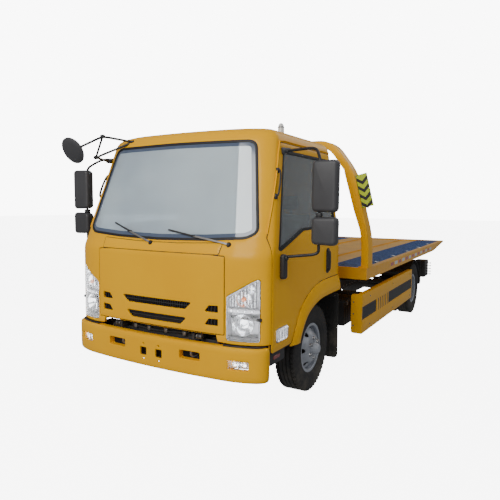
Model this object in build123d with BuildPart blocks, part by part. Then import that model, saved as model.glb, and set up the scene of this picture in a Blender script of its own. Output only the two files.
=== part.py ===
from build123d import *
from math import atan2, cos, degrees, hypot, radians, sin
import os

os.makedirs("parts", exist_ok=True)

# Frame of the model, millimetres: ground at z = 0, the truck faces -Y, its left side is +X.

# Overall layout
wheelbase = 3815
front_axle_y = -2375
rear_axle_y = front_axle_y + wheelbase
seat_gap = 0.3
move_gap = 6
overrun = 40

# Wheels and tyres
tyre_radius = 390
tyre_width = 205
tread_width = 168
tyre_bead_width = 146
tyre_wall = 16
bead_radius = 206
rim_width = tyre_bead_width + 2 * seat_gap
rim_wall = 8
rim_flange_radius = 224
rim_flange_thickness = 9
rim_disc_thickness = 12
hub_flange_radius = 112
hub_bore_radius = 60
wheel_offset = 108
disc_shoulder_radius = 150
hand_hole_radius = 23
hand_hole_circle = 158
hand_hole_count = 6
stud_radius = 10
stud_circle = 88
stud_count = 6
stud_length = 26
dual_spacing = 240
front_tyre_x = 840
rear_mean_x = 825
axle_z = tyre_radius
shoulder_drop_share = 0.045
belly_height_share = 0.52

# Chassis rails
rail_outer_x = 400
rail_flange = 65
rail_wall = 8
rail_height = 216
rail_top_z = 756
rail_bottom_z = rail_top_z - rail_height
rail_front_y = front_axle_y - 955
rail_rear_y = front_axle_y + 5050
crossmember_radius = 38
crossmember_reaches = (-900, -560, 1750, 3300, 4150, 4600)

# Fixed subframe on the rails
subframe_height = 60
subframe_front_y = front_axle_y + 950
subframe_rear_y = front_axle_y + 4875
subframe_top_z = rail_top_z + subframe_height
subframe_cross_width = 60
subframe_cross_reaches = (1000, 1700, 3700)

# Front axle, kingpins and hubs
kingpin_x = 715
kingpin_radius = 18
kingpin_boss_radius = 36
beam_height = 70
beam_width = 60
beam_drop = 70
beam_flat_half = 420
knuckle_ear_height = 34
knuckle_ear_gap = 118
stub_radius = 30
brake_drum_radius = 155
brake_drum_width = 70
knuckle_plate = 12
hub_nose = 70

# Springs
spring_x = 350
rear_spring_x = 460
spring_width = 70
leaf_thickness = 12
leaf_count = 5
front_spring_half = 560
rear_spring_half = 620
leaf_step = 90

# Rear axle
axle_tube_radius = 56
diff_radius = 165
diff_half_width = 120

# Engine, gearbox and shaft
engine_half_width = 300
engine_front_y = front_axle_y - 280
engine_length = 760
engine_bottom_z = 470
engine_top_z = 1010
gearbox_half_width = 150
gearbox_length = 560
gearbox_bottom_z = 480
gearbox_top_z = 720
shaft_radius = 42
shaft_flange = 50

# Cab: plan outline at a few heights
cab_back_y = front_axle_y + 550
cab_wall = 42
cab_half_width = 985
cab_front_reach = 1060
cab_front_y = front_axle_y - cab_front_reach
cab_skirt_z = 560
cab_nose_z = 645
cab_belt_z = 1395
cab_eave_z = 2200
cab_roof_z = 2320
corner_width = 290
corner_depth = 165
corner_bulge_share = 0.33
front_sagitta = 28
screen_rake = 295
screen_foot_back = 50
eave_inset = 118
roof_inset = 300
roof_set_back = 490
roof_back_inset = 90
skirt_inset = 8
skirt_set_back = 12
cowl_height = 75
belt_inset = 2
eave_back_inset = 14
brow_z = 2280
brow_inset = 179
brow_set_back = 326
brow_back_inset = 40
# columns: height, inset of the side, set-back of the front, inset of the back
cab_levels = (
    (cab_skirt_z, skirt_inset, skirt_set_back, 0),
    (cab_belt_z - cowl_height, 0, 0, 0),
    (cab_belt_z, belt_inset, screen_foot_back, 0),
    (cab_eave_z, eave_inset, screen_rake, eave_back_inset),
    (brow_z, brow_inset, brow_set_back, brow_back_inset),
    (cab_roof_z, roof_inset, roof_set_back, roof_back_inset),
)

# Cab floors and wheel arches, reaches from the front axle
floor_thickness = 26
footwell_z = 850
footwell_front_reach = -1000
riser_reach = -380
seat_riser_z = 1110
bay_half_width = 480
bay_back_reach = 500
liner_inset = 50
# columns: reach behind the axle, height
arch_points = (
    (-905, cab_nose_z),
    (-900, cab_skirt_z),
    (-590, cab_skirt_z),
    (-422, 560),
    (-386, 640),
    (-298, 738),
    (-136, 820),
    (60, 850),
    (560, 856),
)
# columns: reach behind the axle, height
flare_points = (
    (-560, 560),
    (-480, 660),
    (-395, 800),
    (-215, 932),
    (30, 1000),
    (480, 1000),
)
flare_proud = 14

# Windscreen and rear window
screen_bottom_z = 1400
screen_side_z = 1480
screen_top_z = 2190
screen_bottom_half = 876
screen_top_half = 742
screen_corner_radius = 70
glass_inset = 6
glass_thickness = 8
rear_window_half = 560
rear_window_bottom_z = 1480
rear_window_top_z = 2020
window_corner_radius = 60

# Doors, reaches from the front axle
door_gap = 7
door_rear_gap = 14
door_front_reach = -888
door_rear_reach = 506
door_bottom_z = 566
door_belt_z = 1440
door_top_z = 2186
door_pillar_run = 320
door_handle_reach = 225
door_thickness = cab_wall
# columns: reach behind the axle, height
door_window_points = (
    (-790, 1352),
    (-752, 1340),
    (-310, 1482),
    (440, 1492),
    (440, 2120),
    (-520, 2120),
)

# Mirrors on the doors
mirror_arm_radius = 11
mirror_head_depth = 90
mirror_arm_top_z = 2120
mirror_arm_bend_z = 2130
mirror_arm_foot_reach = -470
mirror_bend_x = 1165
mirror_bend_reach = -520
mirror_head_x = 1295
mirror_head_reach = -640
mirror_head_half = 102
mirror_head_bottom_z = 1632
mirror_head_top_z = 2020
mirror_low_bottom_z = 1385
mirror_low_top_z = 1600
mirror_foot_z = 1290
mirror_foot_reach = -740
mirror_mount_length = 70
mirror_mount_height = 190
mirror_mount_depth = 40

# Near-view mirror on the cab's right front corner
truss_tube_radius = 11
near_mirror_radius = 122
near_mirror_thickness = 40
# columns: x, reach behind the axle, height
truss_roof_foot = (-560, -700, 2248)
truss_peak = (-735, -900, 2285)
truss_low_bend = (-845, -880, 2105)
truss_pillar_foot = (-858, -700, 2080)
near_mirror_centre = (-905, -1085, 2150)
near_mirror_tilt = 28

# Front panel and grille
lid_half_width = 655
lid_bottom_z = 705
lid_top_z = 1318
lid_thickness = 20
lid_gap = 6
slot_top_z = 927
slot_bottom_z = 868
slot_top_half = 365
slot_bottom_half = 300
low_slot_top_z = 803
low_slot_bottom_z = 745
low_slot_top_half = 317
low_slot_bottom_half = 258
vent_inner_x = 480
vent_outer_x = 602
vent_height = 54
vent_bottoms = (870, 768)
grille_thickness = 9

# Headlamps
lamp_inner_x = 672
lamp_outer_x = 925
lamp_bottom_z = 668
lamp_inner_top_z = 1000
lamp_outer_top_z = 1150
lamp_depth = 30
lamp_back_reach = -897

# Bumper
bumper_front_reach = 1112
bumper_front_y = front_axle_y - bumper_front_reach
bumper_half_width = 983
bumper_bottom_z = 365
bumper_top_z = 628
bumper_thickness = 24
bumper_corner_width = 300
bumper_corner_depth = 150
bumper_end_reach = -915
bumper_sagitta = 34
hook_hole_x = 380
hook_hole_width = 190
hook_hole_height = 70
hook_hole_z = 525
square_hole_x = 80
square_hole_size = 70
square_hole_z = 493
fog_x = 790
fog_width = 165
fog_height = 74
fog_z = 500
fog_depth = 60

# Steps under the doors
step_outer_x = 955
step_inner_x = 700
step_front_reach = -855
step_rear_reach = -605
step_z = 462
step_height = 96

# Roof lamp and wipers
roof_lamp_x = 745
roof_lamp_reach = -300
roof_lamp_radius = 30
roof_lamp_height = 62
wiper_thickness = 12
wiper_width = 22
# columns: x of the pivot, x of the tip, height of the pivot, height of the tip
wipers_table = (
    (-70, -524, 1372, 1520),
    (669, 93, 1385, 1478),
)

# Cab inside
dash_half_width = 862
dash_depth = 300
dash_front_reach = -945
dash_bottom_z = 1080
dash_top_z = 1360
seat_back_reach = 430
seat_length = 520
seat_height = 170
seat_back_thickness = 150
seat_back_top_z = 1800
seat_half_width = 260
driver_seat_x = 480
bench_half_width = 430
bench_x = -330
wheel_ring_radius = 215
wheel_ring_tube = 15
wheel_ring_reach = -560
wheel_ring_z = 1420
wheel_ring_tilt = 30

# Cab tilt pivot under the front panel
cab_pivot_reach = -1030
cab_pivot_z = 665
cab_pin_radius = 10
cab_pin_length = 56
cab_bracket_thickness = 20
cab_ear_thickness = 30
cab_ear_half = 20
cab_ear_step = 20
cab_ear_back = 60
cab_ear_top_z = 790

# Hinge barrels of the doors and the front panel
hinge_radius = 6
hinge_length = 100
door_hinge_reach = -878
door_hinge_x = 977
door_hinge_heights = (760, 1200)
lid_hinge_radius = 5
lid_hinge_xs = (-160, 60)

# Side guards, reaches from the front axle
guard_outer_x = 1120
guard_front_reach = 880
guard_rear_reach = 3300
guard_bottom_z = 335
guard_top_z = 755
guard_wall = 22
guard_return = 120
guard_band_bottom_z = 480
guard_band_top_z = 620
guard_band_depth = 5
guard_band_margin = 10
# columns: reach of the band's front end, reach of its rear end
guard_bands = (
    (guard_front_reach + guard_band_margin, 1440),
    (1970, guard_rear_reach - guard_band_margin),
)
guard_bracket_reaches = (1150, 2150, 3150)
guard_bracket_width = 50
guard_bar_reaches = (1505, 1585, 1665, 1745, 1825, 1905)
guard_bar_width = 26

# Mudguards
mudguard_thickness = 14
front_flap_reach = 530
front_flap_bottom_z = 150
front_flap_outer_x = 985
front_flap_inner_x = 700
front_arch_top_z = 812
rear_guard_radius = 445
rear_guard_outer_x = 1050
rear_guard_inner_x = 595
rear_flap_reach = 4340
rear_flap_bottom_z = 375
rear_flap_top_z = 790

# Deck
deck_half_width = 1155
deck_front_reach = 900
deck_length = 5010
deck_front_y = front_axle_y + deck_front_reach
deck_rear_y = deck_front_y + deck_length
deck_bottom_z = 911
deck_top_z = 1030
deck_rail_width = 60
deck_plate_thickness = 14
deck_plate_z = 1000
deck_wedge_length = 1050
deck_wedge_tip = 26
deck_cross_width = 60
deck_cross_count = 9
deck_beam_x = 365
deck_beam_width = 70
lane_width = 425
lane_inner_x = deck_half_width - deck_rail_width - lane_width
lane_thickness = 6

# Tilting frame under the deck
tilt_gap = 5
tilt_bottom_z = subframe_top_z + tilt_gap
tilt_top_z = deck_bottom_z - seat_gap
tilt_rail_x = 365
tilt_rail_width = 76
tilt_rail_play = 3.6
tilt_front_y = front_axle_y + 960
tilt_rear_y = front_axle_y + 5020
tilt_pivot_reach = 4960
tilt_pivot_z = 800
pivot_radius = 26
pivot_ear_thickness = 30
tilt_cross_width = 50
tilt_cross_reaches = (1300, 4450)

# Slide cylinder between the tilting frame and the deck
slide_barrel_radius = 38
slide_bore_radius = 30
slide_rod_radius = 20
slide_barrel_reach = 1250
slide_barrel_length = 3400
slide_axis_z = 866
slide_rod_reach = 1330
slide_eye_reach = 4690
slide_eye_width = 60

# Tilt cylinders
tilt_cylinder_x = 250
tilt_bracket_length = 100
tilt_cylinder_foot_reach = 2000
tilt_cylinder_foot_z = 590
tilt_cylinder_eye_reach = 3050
tilt_cylinder_eye_z = 860
tilt_barrel_radius = 42
tilt_bore_radius = 32
tilt_rod_radius = 24
tilt_barrel_length = 900
tilt_eye_radius = 34
tilt_eye_width = 50

# Gantry over the deck's front
gantry_reach = 940
gantry_depth = 170
gantry_width = 78
gantry_foot_x = deck_half_width
gantry_knee_z = 1345
gantry_lean = 170
gantry_shoulder_x = gantry_foot_x - gantry_lean
gantry_shoulder_z = 2040
gantry_top_run = 265
gantry_top_x = gantry_shoulder_x - gantry_top_run
gantry_top_z = 2390
gantry_outer_bend = 150
gantry_inner_bend = 80
board_thickness = 10
board_height = 350
board_width = 125
board_gap = seat_gap

# Winch
winch_reach = 1260
winch_half_width = 330
winch_plate_thickness = 16
winch_plate_height = 240
winch_plate_length = 240
winch_drum_radius = 62
winch_flange_radius = 96
winch_drum_half = 210
winch_axis_height = 135
winch_shaft_radius = 20
winch_motor_radius = 60
winch_motor_length = 120

# Tanks and boxes on the rails
tank_x = 710
tank_half_width = 180
tank_reach = 1000
tank_length = 900
tank_bottom_z = 360
tank_top_z = 680
tank_round = 60
tank_strap_width = 40
tank_strap_shares = (0.25, 0.75)
battery_length = 420
battery_top_z = 660

# Control box and tail
control_reach = 4700
control_length = 320
control_inner_x = 860
control_outer_x = 1050
control_bottom_z = 450
control_height = 290
lever_count = 5
lever_length = 60
lever_radius = 6
knob_radius = 12
tail_bar_reach = 5080
tail_bar_half_width = 900
tail_bar_bottom_z = 600
tail_bar_top_z = 700
tail_bar_depth = 60
tail_lamp_width = 260
tail_lamp_height = 80
tail_lamp_x = 740
tail_lamp_depth = 24

# Underlift
lift_pivot_reach = 4780
lift_pivot_z = 460
lift_arm_width = 120
lift_arm_wall = 10
lift_arm_length = 900
lift_inner_width = 98
lift_inner_reach = 4960
lift_fork_reach = 5780
lift_fork_half = 520
lift_fork_size = 90
lift_prong_length = 100
lift_hanger_reach = 4700

# Radiator
radiator_reach = -700
radiator_depth = 60
radiator_half_width = rail_outer_x - rail_flange
radiator_bottom_z = 470
radiator_top_z = 800


def at(reach):
    """Place along the truck of a reach measured behind the front axle."""
    return front_axle_y + reach


def block(x_pair, y_pair, z_pair, mode=Mode.ADD):
    """Rectangular block between two corners."""
    middle = ((x_pair[0] + x_pair[1]) / 2, (y_pair[0] + y_pair[1]) / 2, (z_pair[0] + z_pair[1]) / 2)
    with Locations(middle):
        Box(abs(x_pair[1] - x_pair[0]), abs(y_pair[1] - y_pair[0]), abs(z_pair[1] - z_pair[0]), mode=mode)


def rod(start, end, radius, mode=Mode.ADD):
    """Round bar between two points."""
    run = Vector(*end) - Vector(*start)
    with BuildSketch(Plane(origin=start, z_dir=run)) as section:
        Circle(radius)
    extrude(section.sketch, amount=run.length, mode=mode)


def side_profile(points, x_pair, mode=Mode.ADD):
    """Outline in the Y-Z plane carried across from one x to another."""
    with BuildSketch(Plane.YZ.offset(min(x_pair))) as outline:
        with BuildLine():
            Polyline(*points, close=True)
        make_face()
    extrude(outline.sketch, amount=abs(x_pair[1] - x_pair[0]), mode=mode)


def front_profile(points, y_pair, mode=Mode.ADD):
    """Outline in the X-Z plane carried back from one y to another."""
    with BuildSketch(Plane.XZ.offset(-y_pair[1])) as outline:
        with BuildLine():
            Polyline(*points, close=True)
        make_face()
    extrude(outline.sketch, amount=y_pair[1] - y_pair[0], mode=mode)


def finish(piece, label):
    """Name a finished piece and write it."""
    piece.part.label = label
    export_step(piece.part, f"parts/{label}.step")


def both_sides(build, name):
    """Build a left piece, mirror it for the right and write both."""
    with BuildPart() as left:
        build()
    finish(left, f"{name}_left")
    with BuildPart() as right:
        add(left.part.mirror(Plane.YZ))
    finish(right, f"{name}_right")


def mirrored(piece):
    """Add the mirror image of everything built so far."""
    add(piece.part.mirror(Plane.YZ))


def plan_outline(half_width, front_y, back_y, inset):
    """Plan line of the cab: straight sides, rounded corners and a slightly bowed front."""
    side_x = half_width - inset
    nose_y = front_y + inset
    shoulder_x = half_width - corner_width
    shoulder_y = nose_y + front_sagitta
    corner_y = shoulder_y + corner_depth
    bulge_x = side_x - (side_x - shoulder_x) * corner_bulge_share
    bulge_y = shoulder_y + corner_depth * corner_bulge_share
    rear_y = back_y - inset
    Polyline((-side_x, corner_y), (-side_x, rear_y), (side_x, rear_y), (side_x, corner_y))
    ThreePointArc((side_x, corner_y), (bulge_x, bulge_y), (shoulder_x, shoulder_y))
    ThreePointArc((shoulder_x, shoulder_y), (0, nose_y), (-shoulder_x, shoulder_y))
    ThreePointArc((-shoulder_x, shoulder_y), (-bulge_x, bulge_y), (-side_x, corner_y))


def cab_body(inset):
    """Solid of the cab's outer form, or of the same form drawn in by an inset."""
    with BuildPart() as body:
        for level, side_in, front_in, back_in in cab_levels:
            height = level - inset if level == cab_roof_z else level
            with BuildSketch(Plane.XY.offset(height)):
                with BuildLine():
                    plan_outline(
                        cab_half_width - side_in,
                        cab_front_y + front_in,
                        cab_back_y - back_in,
                        inset,
                    )
                make_face()
        loft(ruled=True)
    return body.part


cab_outer = cab_body(0)
cab_clear = cab_body(-seat_gap)
cab_inner = cab_body(cab_wall)


# Tyres and rims
def tyre_at(x_middle, y_middle):
    """Hollow tyre standing on the ground with its middle plane at x_middle."""
    half = tyre_width / 2
    belly = bead_radius + (tyre_radius - bead_radius) * belly_height_share
    shoulder = tyre_radius - tyre_radius * shoulder_drop_share
    # columns: distance from the middle plane, radius
    outer_half = (
        (tyre_bead_width / 2, bead_radius),
        (tyre_bead_width / 2, rim_flange_radius),
        (tyre_bead_width / 2 + rim_flange_thickness, rim_flange_radius + seat_gap),
        (half, belly),
        (tread_width / 2 + tyre_wall / 2, shoulder),
        (tread_width / 2, tyre_radius),
    )
    inner_half = (
        (tyre_bead_width / 2 - tyre_wall, bead_radius),
        (half - tyre_wall, belly),
        (tread_width / 2 - tyre_wall, tyre_radius - tyre_wall),
    )
    section_points = [
        *((-1, x, radius) for x, radius in outer_half),
        *((1, x, radius) for x, radius in reversed(outer_half)),
        *((1, x, radius) for x, radius in inner_half),
        *((-1, x, radius) for x, radius in reversed(inner_half)),
    ]
    with BuildSketch(Plane.XY.offset(axle_z)) as section:
        with BuildLine():
            Polyline(
                *((x_middle + side * x, y_middle + radius) for side, x, radius in section_points),
                close=True,
            )
        make_face()
    revolve(section.sketch, axis=Axis((0, y_middle, axle_z), (1, 0, 0)))


def rim_at(x_middle, y_middle, outward):
    """Wheel of one tyre: barrel, flanges and a disc dished towards outward."""
    seat = bead_radius - seat_gap
    barrel_in = seat - rim_wall
    half = rim_width / 2
    hub_x = x_middle + outward * wheel_offset
    shoulder_x = x_middle + outward * (half - rim_disc_thickness)
    with BuildSketch(Plane.XY.offset(axle_z)) as section:
        with BuildLine():
            Polyline(
                (x_middle - half, y_middle + barrel_in),
                (x_middle + half, y_middle + barrel_in),
                (x_middle + half + rim_flange_thickness, y_middle + barrel_in),
                (x_middle + half + rim_flange_thickness, y_middle + rim_flange_radius),
                (x_middle + half, y_middle + rim_flange_radius),
                (x_middle + half, y_middle + seat),
                (x_middle - half, y_middle + seat),
                (x_middle - half, y_middle + rim_flange_radius),
                (x_middle - half - rim_flange_thickness, y_middle + rim_flange_radius),
                (x_middle - half - rim_flange_thickness, y_middle + barrel_in),
                close=True,
            )
        make_face()
        with BuildLine():
            Polyline(
                (hub_x, y_middle + hub_bore_radius),
                (hub_x, y_middle + hub_flange_radius),
                (shoulder_x, y_middle + disc_shoulder_radius + rim_disc_thickness),
                (shoulder_x - outward * rim_width / 4, y_middle + barrel_in + rim_wall / 2),
                (
                    shoulder_x - outward * (rim_width / 4 + rim_disc_thickness),
                    y_middle + barrel_in + rim_wall / 2,
                ),
                (shoulder_x - outward * rim_disc_thickness, y_middle + disc_shoulder_radius),
                (hub_x - outward * rim_disc_thickness, y_middle + hub_flange_radius - rim_disc_thickness),
                (hub_x - outward * rim_disc_thickness, y_middle + hub_bore_radius),
                close=True,
            )
        make_face()
    revolve(section.sketch, axis=Axis((0, y_middle, axle_z), (1, 0, 0)))
    hole_plane = Plane(origin=(x_middle - outward * rim_width, y_middle, axle_z), z_dir=(outward, 0, 0))
    with BuildSketch(hole_plane) as holes:
        with PolarLocations(hand_hole_circle, hand_hole_count):
            Circle(hand_hole_radius)
    extrude(holes.sketch, amount=2 * rim_width, mode=Mode.SUBTRACT)
    stud_plane = Plane(
        origin=(hub_x - outward * rim_disc_thickness, y_middle, axle_z),
        z_dir=(outward, 0, 0),
    )
    with BuildSketch(stud_plane) as studs:
        with PolarLocations(stud_circle, stud_count):
            Circle(stud_radius)
    extrude(studs.sketch, amount=rim_disc_thickness + stud_length)


def front_tyre():
    """Left front tyre."""
    tyre_at(front_tyre_x, front_axle_y)


def front_rim():
    """Front wheel with its hub and brake drum, turning on the stub."""
    rim_at(front_tyre_x, front_axle_y, 1)
    inner = kingpin_x + kingpin_boss_radius + knuckle_plate + 2 * move_gap
    disc_x = front_tyre_x + wheel_offset - rim_disc_thickness
    rod((inner, front_axle_y, axle_z), (inner + brake_drum_width, front_axle_y, axle_z), brake_drum_radius)
    rod(
        (inner, front_axle_y, axle_z),
        (disc_x, front_axle_y, axle_z),
        hub_flange_radius - rim_disc_thickness,
    )
    rod((inner, front_axle_y, axle_z), (disc_x + hub_nose, front_axle_y, axle_z), hub_bore_radius)
    rod(
        (inner - overrun, front_axle_y, axle_z),
        (front_tyre_x + wheel_offset + seat_gap, front_axle_y, axle_z),
        stub_radius + seat_gap,
        mode=Mode.SUBTRACT,
    )


def rear_tyres():
    """Left pair of rear tyres."""
    tyre_at(rear_mean_x - dual_spacing / 2, rear_axle_y)
    tyre_at(rear_mean_x + dual_spacing / 2, rear_axle_y)


dual_disc_gap = dual_spacing - 2 * wheel_offset


def drum_inner_x():
    """Inner face of the rear brake drum."""
    return rear_mean_x - dual_disc_gap / 2 - rim_disc_thickness - brake_drum_width - 2 * move_gap


def rear_rims():
    """Left pair of rear wheels with their drum and hub."""
    rim_at(rear_mean_x - dual_spacing / 2, rear_axle_y, 1)
    rim_at(rear_mean_x + dual_spacing / 2, rear_axle_y, -1)
    # ring between the two discs
    with BuildSketch(Plane.YZ.offset(rear_mean_x - dual_disc_gap / 2)) as ring:
        with Locations((rear_axle_y, axle_z)):
            Circle(hub_flange_radius)
            Circle(hub_bore_radius, mode=Mode.SUBTRACT)
    extrude(ring.sketch, amount=dual_disc_gap)
    # brake drum and hub
    drum_in = drum_inner_x()
    rod(
        (drum_in, rear_axle_y, axle_z),
        (drum_in + brake_drum_width, rear_axle_y, axle_z),
        brake_drum_radius - overrun,
    )
    rod((drum_in, rear_axle_y, axle_z), (rear_mean_x + hub_nose, rear_axle_y, axle_z), hub_bore_radius)
    rod(
        (drum_in - overrun, rear_axle_y, axle_z),
        (rear_mean_x + seat_gap, rear_axle_y, axle_z),
        stub_radius + seat_gap,
        mode=Mode.SUBTRACT,
    )


both_sides(front_tyre, "tyre_front")
both_sides(front_rim, "rim_front")
both_sides(rear_tyres, "tyres_rear")
both_sides(rear_rims, "rims_rear")


# Chassis rails with their cross tubes
with BuildPart() as frame_rails:
    web_x = rail_outer_x - rail_wall
    front_profile(
        (
            (rail_outer_x, rail_bottom_z),
            (rail_outer_x, rail_top_z),
            (rail_outer_x - rail_flange, rail_top_z),
            (rail_outer_x - rail_flange, rail_top_z - rail_wall),
            (web_x, rail_top_z - rail_wall),
            (web_x, rail_bottom_z + rail_wall),
            (rail_outer_x - rail_flange, rail_bottom_z + rail_wall),
            (rail_outer_x - rail_flange, rail_bottom_z),
        ),
        (rail_front_y, rail_rear_y),
    )
    mirrored(frame_rails)
    for reach in crossmember_reaches:
        tube_z = (rail_top_z + rail_bottom_z) / 2
        rod((-web_x, at(reach), tube_z), (web_x, at(reach), tube_z), crossmember_radius)
    # pin of the tilt cylinders
    foot = (at(tilt_cylinder_foot_reach), tilt_cylinder_foot_z)
    rod((-web_x, *foot), (web_x, *foot), pivot_radius / 2)
    # hanger of the underlift
    lug_x = lift_arm_width / 2 + move_gap
    for side in (-1, 1):
        block(
            (side * lug_x, side * (lug_x + pivot_ear_thickness)),
            (at(lift_hanger_reach), at(lift_pivot_reach) + lift_arm_width / 2),
            (lift_pivot_z - lift_arm_width / 2, rail_bottom_z + rail_height / 2),
        )
    block(
        (-web_x, web_x),
        (at(lift_hanger_reach) - pivot_ear_thickness, at(lift_hanger_reach)),
        (rail_bottom_z + rail_wall, rail_bottom_z + rail_height / 2),
    )
    pivot = (at(lift_pivot_reach), lift_pivot_z)
    rod((-lug_x - pivot_ear_thickness, *pivot), (lug_x + pivot_ear_thickness, *pivot), pivot_radius)
finish(frame_rails, "frame_rails")

# Brackets and pins that carry the cab, inside the rails' webs
with BuildPart() as cab_brackets:
    bracket_x = rail_outer_x - rail_wall - seat_gap
    pin = (at(cab_pivot_reach), cab_pivot_z)
    block(
        (bracket_x - cab_bracket_thickness, bracket_x),
        (pin[0] - cab_ear_half, at(crossmember_reaches[0]) - crossmember_radius - seat_gap),
        (cab_pivot_z - cab_ear_half, cab_pivot_z + cab_ear_half),
    )
    rod((bracket_x, *pin), (rail_outer_x + cab_pin_length, *pin), cab_pin_radius)
    mirrored(cab_brackets)
finish(cab_brackets, "cab_brackets")

with BuildPart() as subframe:
    block(
        (rail_outer_x - rail_flange, rail_outer_x),
        (subframe_front_y, subframe_rear_y),
        (rail_top_z, subframe_top_z),
    )
    # ear that carries the deck's tilt pivot
    block(
        (rail_outer_x + seat_gap, rail_outer_x + pivot_ear_thickness),
        (at(tilt_pivot_reach) - 2 * pivot_radius, at(tilt_pivot_reach) + 2 * pivot_radius),
        (rail_bottom_z + rail_wall, tilt_pivot_z + 2 * pivot_radius),
    )
    block(
        (rail_outer_x, rail_outer_x + pivot_ear_thickness),
        (subframe_rear_y - 3 * pivot_radius, at(tilt_pivot_reach)),
        (rail_top_z, subframe_top_z),
    )
    mirrored(subframe)
    for reach in subframe_cross_reaches:
        block(
            (rail_flange - rail_outer_x, rail_outer_x - rail_flange),
            (at(reach), at(reach) + subframe_cross_width),
            (rail_top_z, subframe_top_z),
        )
    rod(
        (-rail_outer_x - pivot_ear_thickness, at(tilt_pivot_reach), tilt_pivot_z),
        (rail_outer_x + pivot_ear_thickness, at(tilt_pivot_reach), tilt_pivot_z),
        pivot_radius,
    )
finish(subframe, "subframe")

# Front axle beam with the kingpins
with BuildPart() as front_axle:
    low_z = axle_z - beam_drop
    half_h = beam_height / 2
    eye_x = kingpin_x - kingpin_boss_radius / 2
    front_profile(
        (
            (0, low_z - half_h),
            (beam_flat_half, low_z - half_h),
            (eye_x, axle_z - half_h),
            (eye_x, axle_z + half_h),
            (beam_flat_half, low_z + half_h),
            (0, low_z + half_h),
        ),
        (front_axle_y - beam_width / 2, front_axle_y + beam_width / 2),
    )
    ear_low = axle_z - knuckle_ear_gap / 2
    ear_high = axle_z + knuckle_ear_gap / 2
    rod(
        (kingpin_x, front_axle_y, ear_low + move_gap),
        (kingpin_x, front_axle_y, ear_high - move_gap),
        kingpin_boss_radius,
    )
    rod(
        (kingpin_x, front_axle_y, ear_low - knuckle_ear_height),
        (kingpin_x, front_axle_y, ear_high + knuckle_ear_height),
        kingpin_radius,
    )
    mirrored(front_axle)
finish(front_axle, "front_axle")


def knuckle():
    """Left steering knuckle: forked ears, plate and stub."""
    ear_low = axle_z - knuckle_ear_gap / 2
    ear_high = axle_z + knuckle_ear_gap / 2
    for low, high in ((ear_low - knuckle_ear_height, ear_low), (ear_high, ear_high + knuckle_ear_height)):
        rod((kingpin_x, front_axle_y, low), (kingpin_x, front_axle_y, high), kingpin_boss_radius)
    plate_in = kingpin_x + kingpin_boss_radius + move_gap
    plate_out = plate_in + knuckle_plate
    for low, high in ((ear_low - knuckle_ear_height, ear_low), (ear_high, ear_high + knuckle_ear_height)):
        block(
            (kingpin_x, plate_out),
            (front_axle_y - kingpin_boss_radius, front_axle_y + kingpin_boss_radius),
            (low, high),
        )
    rod(
        (plate_in, front_axle_y, axle_z),
        (plate_out, front_axle_y, axle_z),
        ear_high + knuckle_ear_height - axle_z,
    )
    rod((plate_in, front_axle_y, axle_z), (front_tyre_x + wheel_offset, front_axle_y, axle_z), stub_radius)
    rod(
        (kingpin_x, front_axle_y, ear_low - knuckle_ear_height - overrun),
        (kingpin_x, front_axle_y, ear_high + knuckle_ear_height + overrun),
        kingpin_radius + seat_gap,
        mode=Mode.SUBTRACT,
    )


both_sides(knuckle, "knuckle")


# Leaf springs
with BuildPart() as leaf_springs:
    # columns: x, y of the axle, half length, height of the lowest leaf
    spring_table = (
        (spring_x, front_axle_y, front_spring_half, axle_z - beam_drop + beam_height / 2),
        (rear_spring_x, rear_axle_y, rear_spring_half, axle_z + axle_tube_radius),
    )
    for middle_x, middle_y, half_length, foot_z in spring_table:
        for leaf in range(leaf_count):
            reach = half_length - (leaf_count - 1 - leaf) * leaf_step
            block(
                (middle_x - spring_width / 2, middle_x + spring_width / 2),
                (middle_y - reach, middle_y + reach),
                (foot_z + leaf * leaf_thickness, foot_z + (leaf + 1) * leaf_thickness),
            )
        top_z = foot_z + leaf_count * leaf_thickness
        for end in (-1, 1):
            inner_x = min(middle_x - spring_width / 2, rail_outer_x - rail_flange)
            block(
                (inner_x, middle_x + spring_width / 2),
                (middle_y + end * half_length, middle_y + end * (half_length - leaf_step / 2)),
                (top_z, max(top_z, rail_bottom_z)),
            )
    mirrored(leaf_springs)
finish(leaf_springs, "leaf_springs")

# Rear axle
with BuildPart() as rear_axle:
    tube_end = drum_inner_x() - move_gap
    with BuildSketch(Plane.XY.offset(axle_z)):
        with BuildLine():
            Polyline(
                (0, rear_axle_y),
                (0, rear_axle_y + diff_radius),
                (diff_half_width / 2, rear_axle_y + diff_radius),
                (2 * diff_half_width, rear_axle_y + axle_tube_radius),
                (tube_end, rear_axle_y + axle_tube_radius),
                (tube_end, rear_axle_y),
                close=True,
            )
        make_face()
    revolve(axis=Axis((0, rear_axle_y, axle_z), (1, 0, 0)))
    rod((0, rear_axle_y, axle_z), (rear_mean_x, rear_axle_y, axle_z), stub_radius)
    mirrored(rear_axle)
finish(rear_axle, "rear_axle")


# Engine, gearbox and propeller shaft
with BuildPart() as engine:
    engine_back_y = engine_front_y + engine_length
    block(
        (-engine_half_width, engine_half_width),
        (engine_front_y, engine_back_y),
        (engine_bottom_z, engine_top_z),
    )
    block(
        (-gearbox_half_width, gearbox_half_width),
        (engine_back_y, engine_back_y + gearbox_length),
        (gearbox_bottom_z, gearbox_top_z),
    )
finish(engine, "engine_block")

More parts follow.
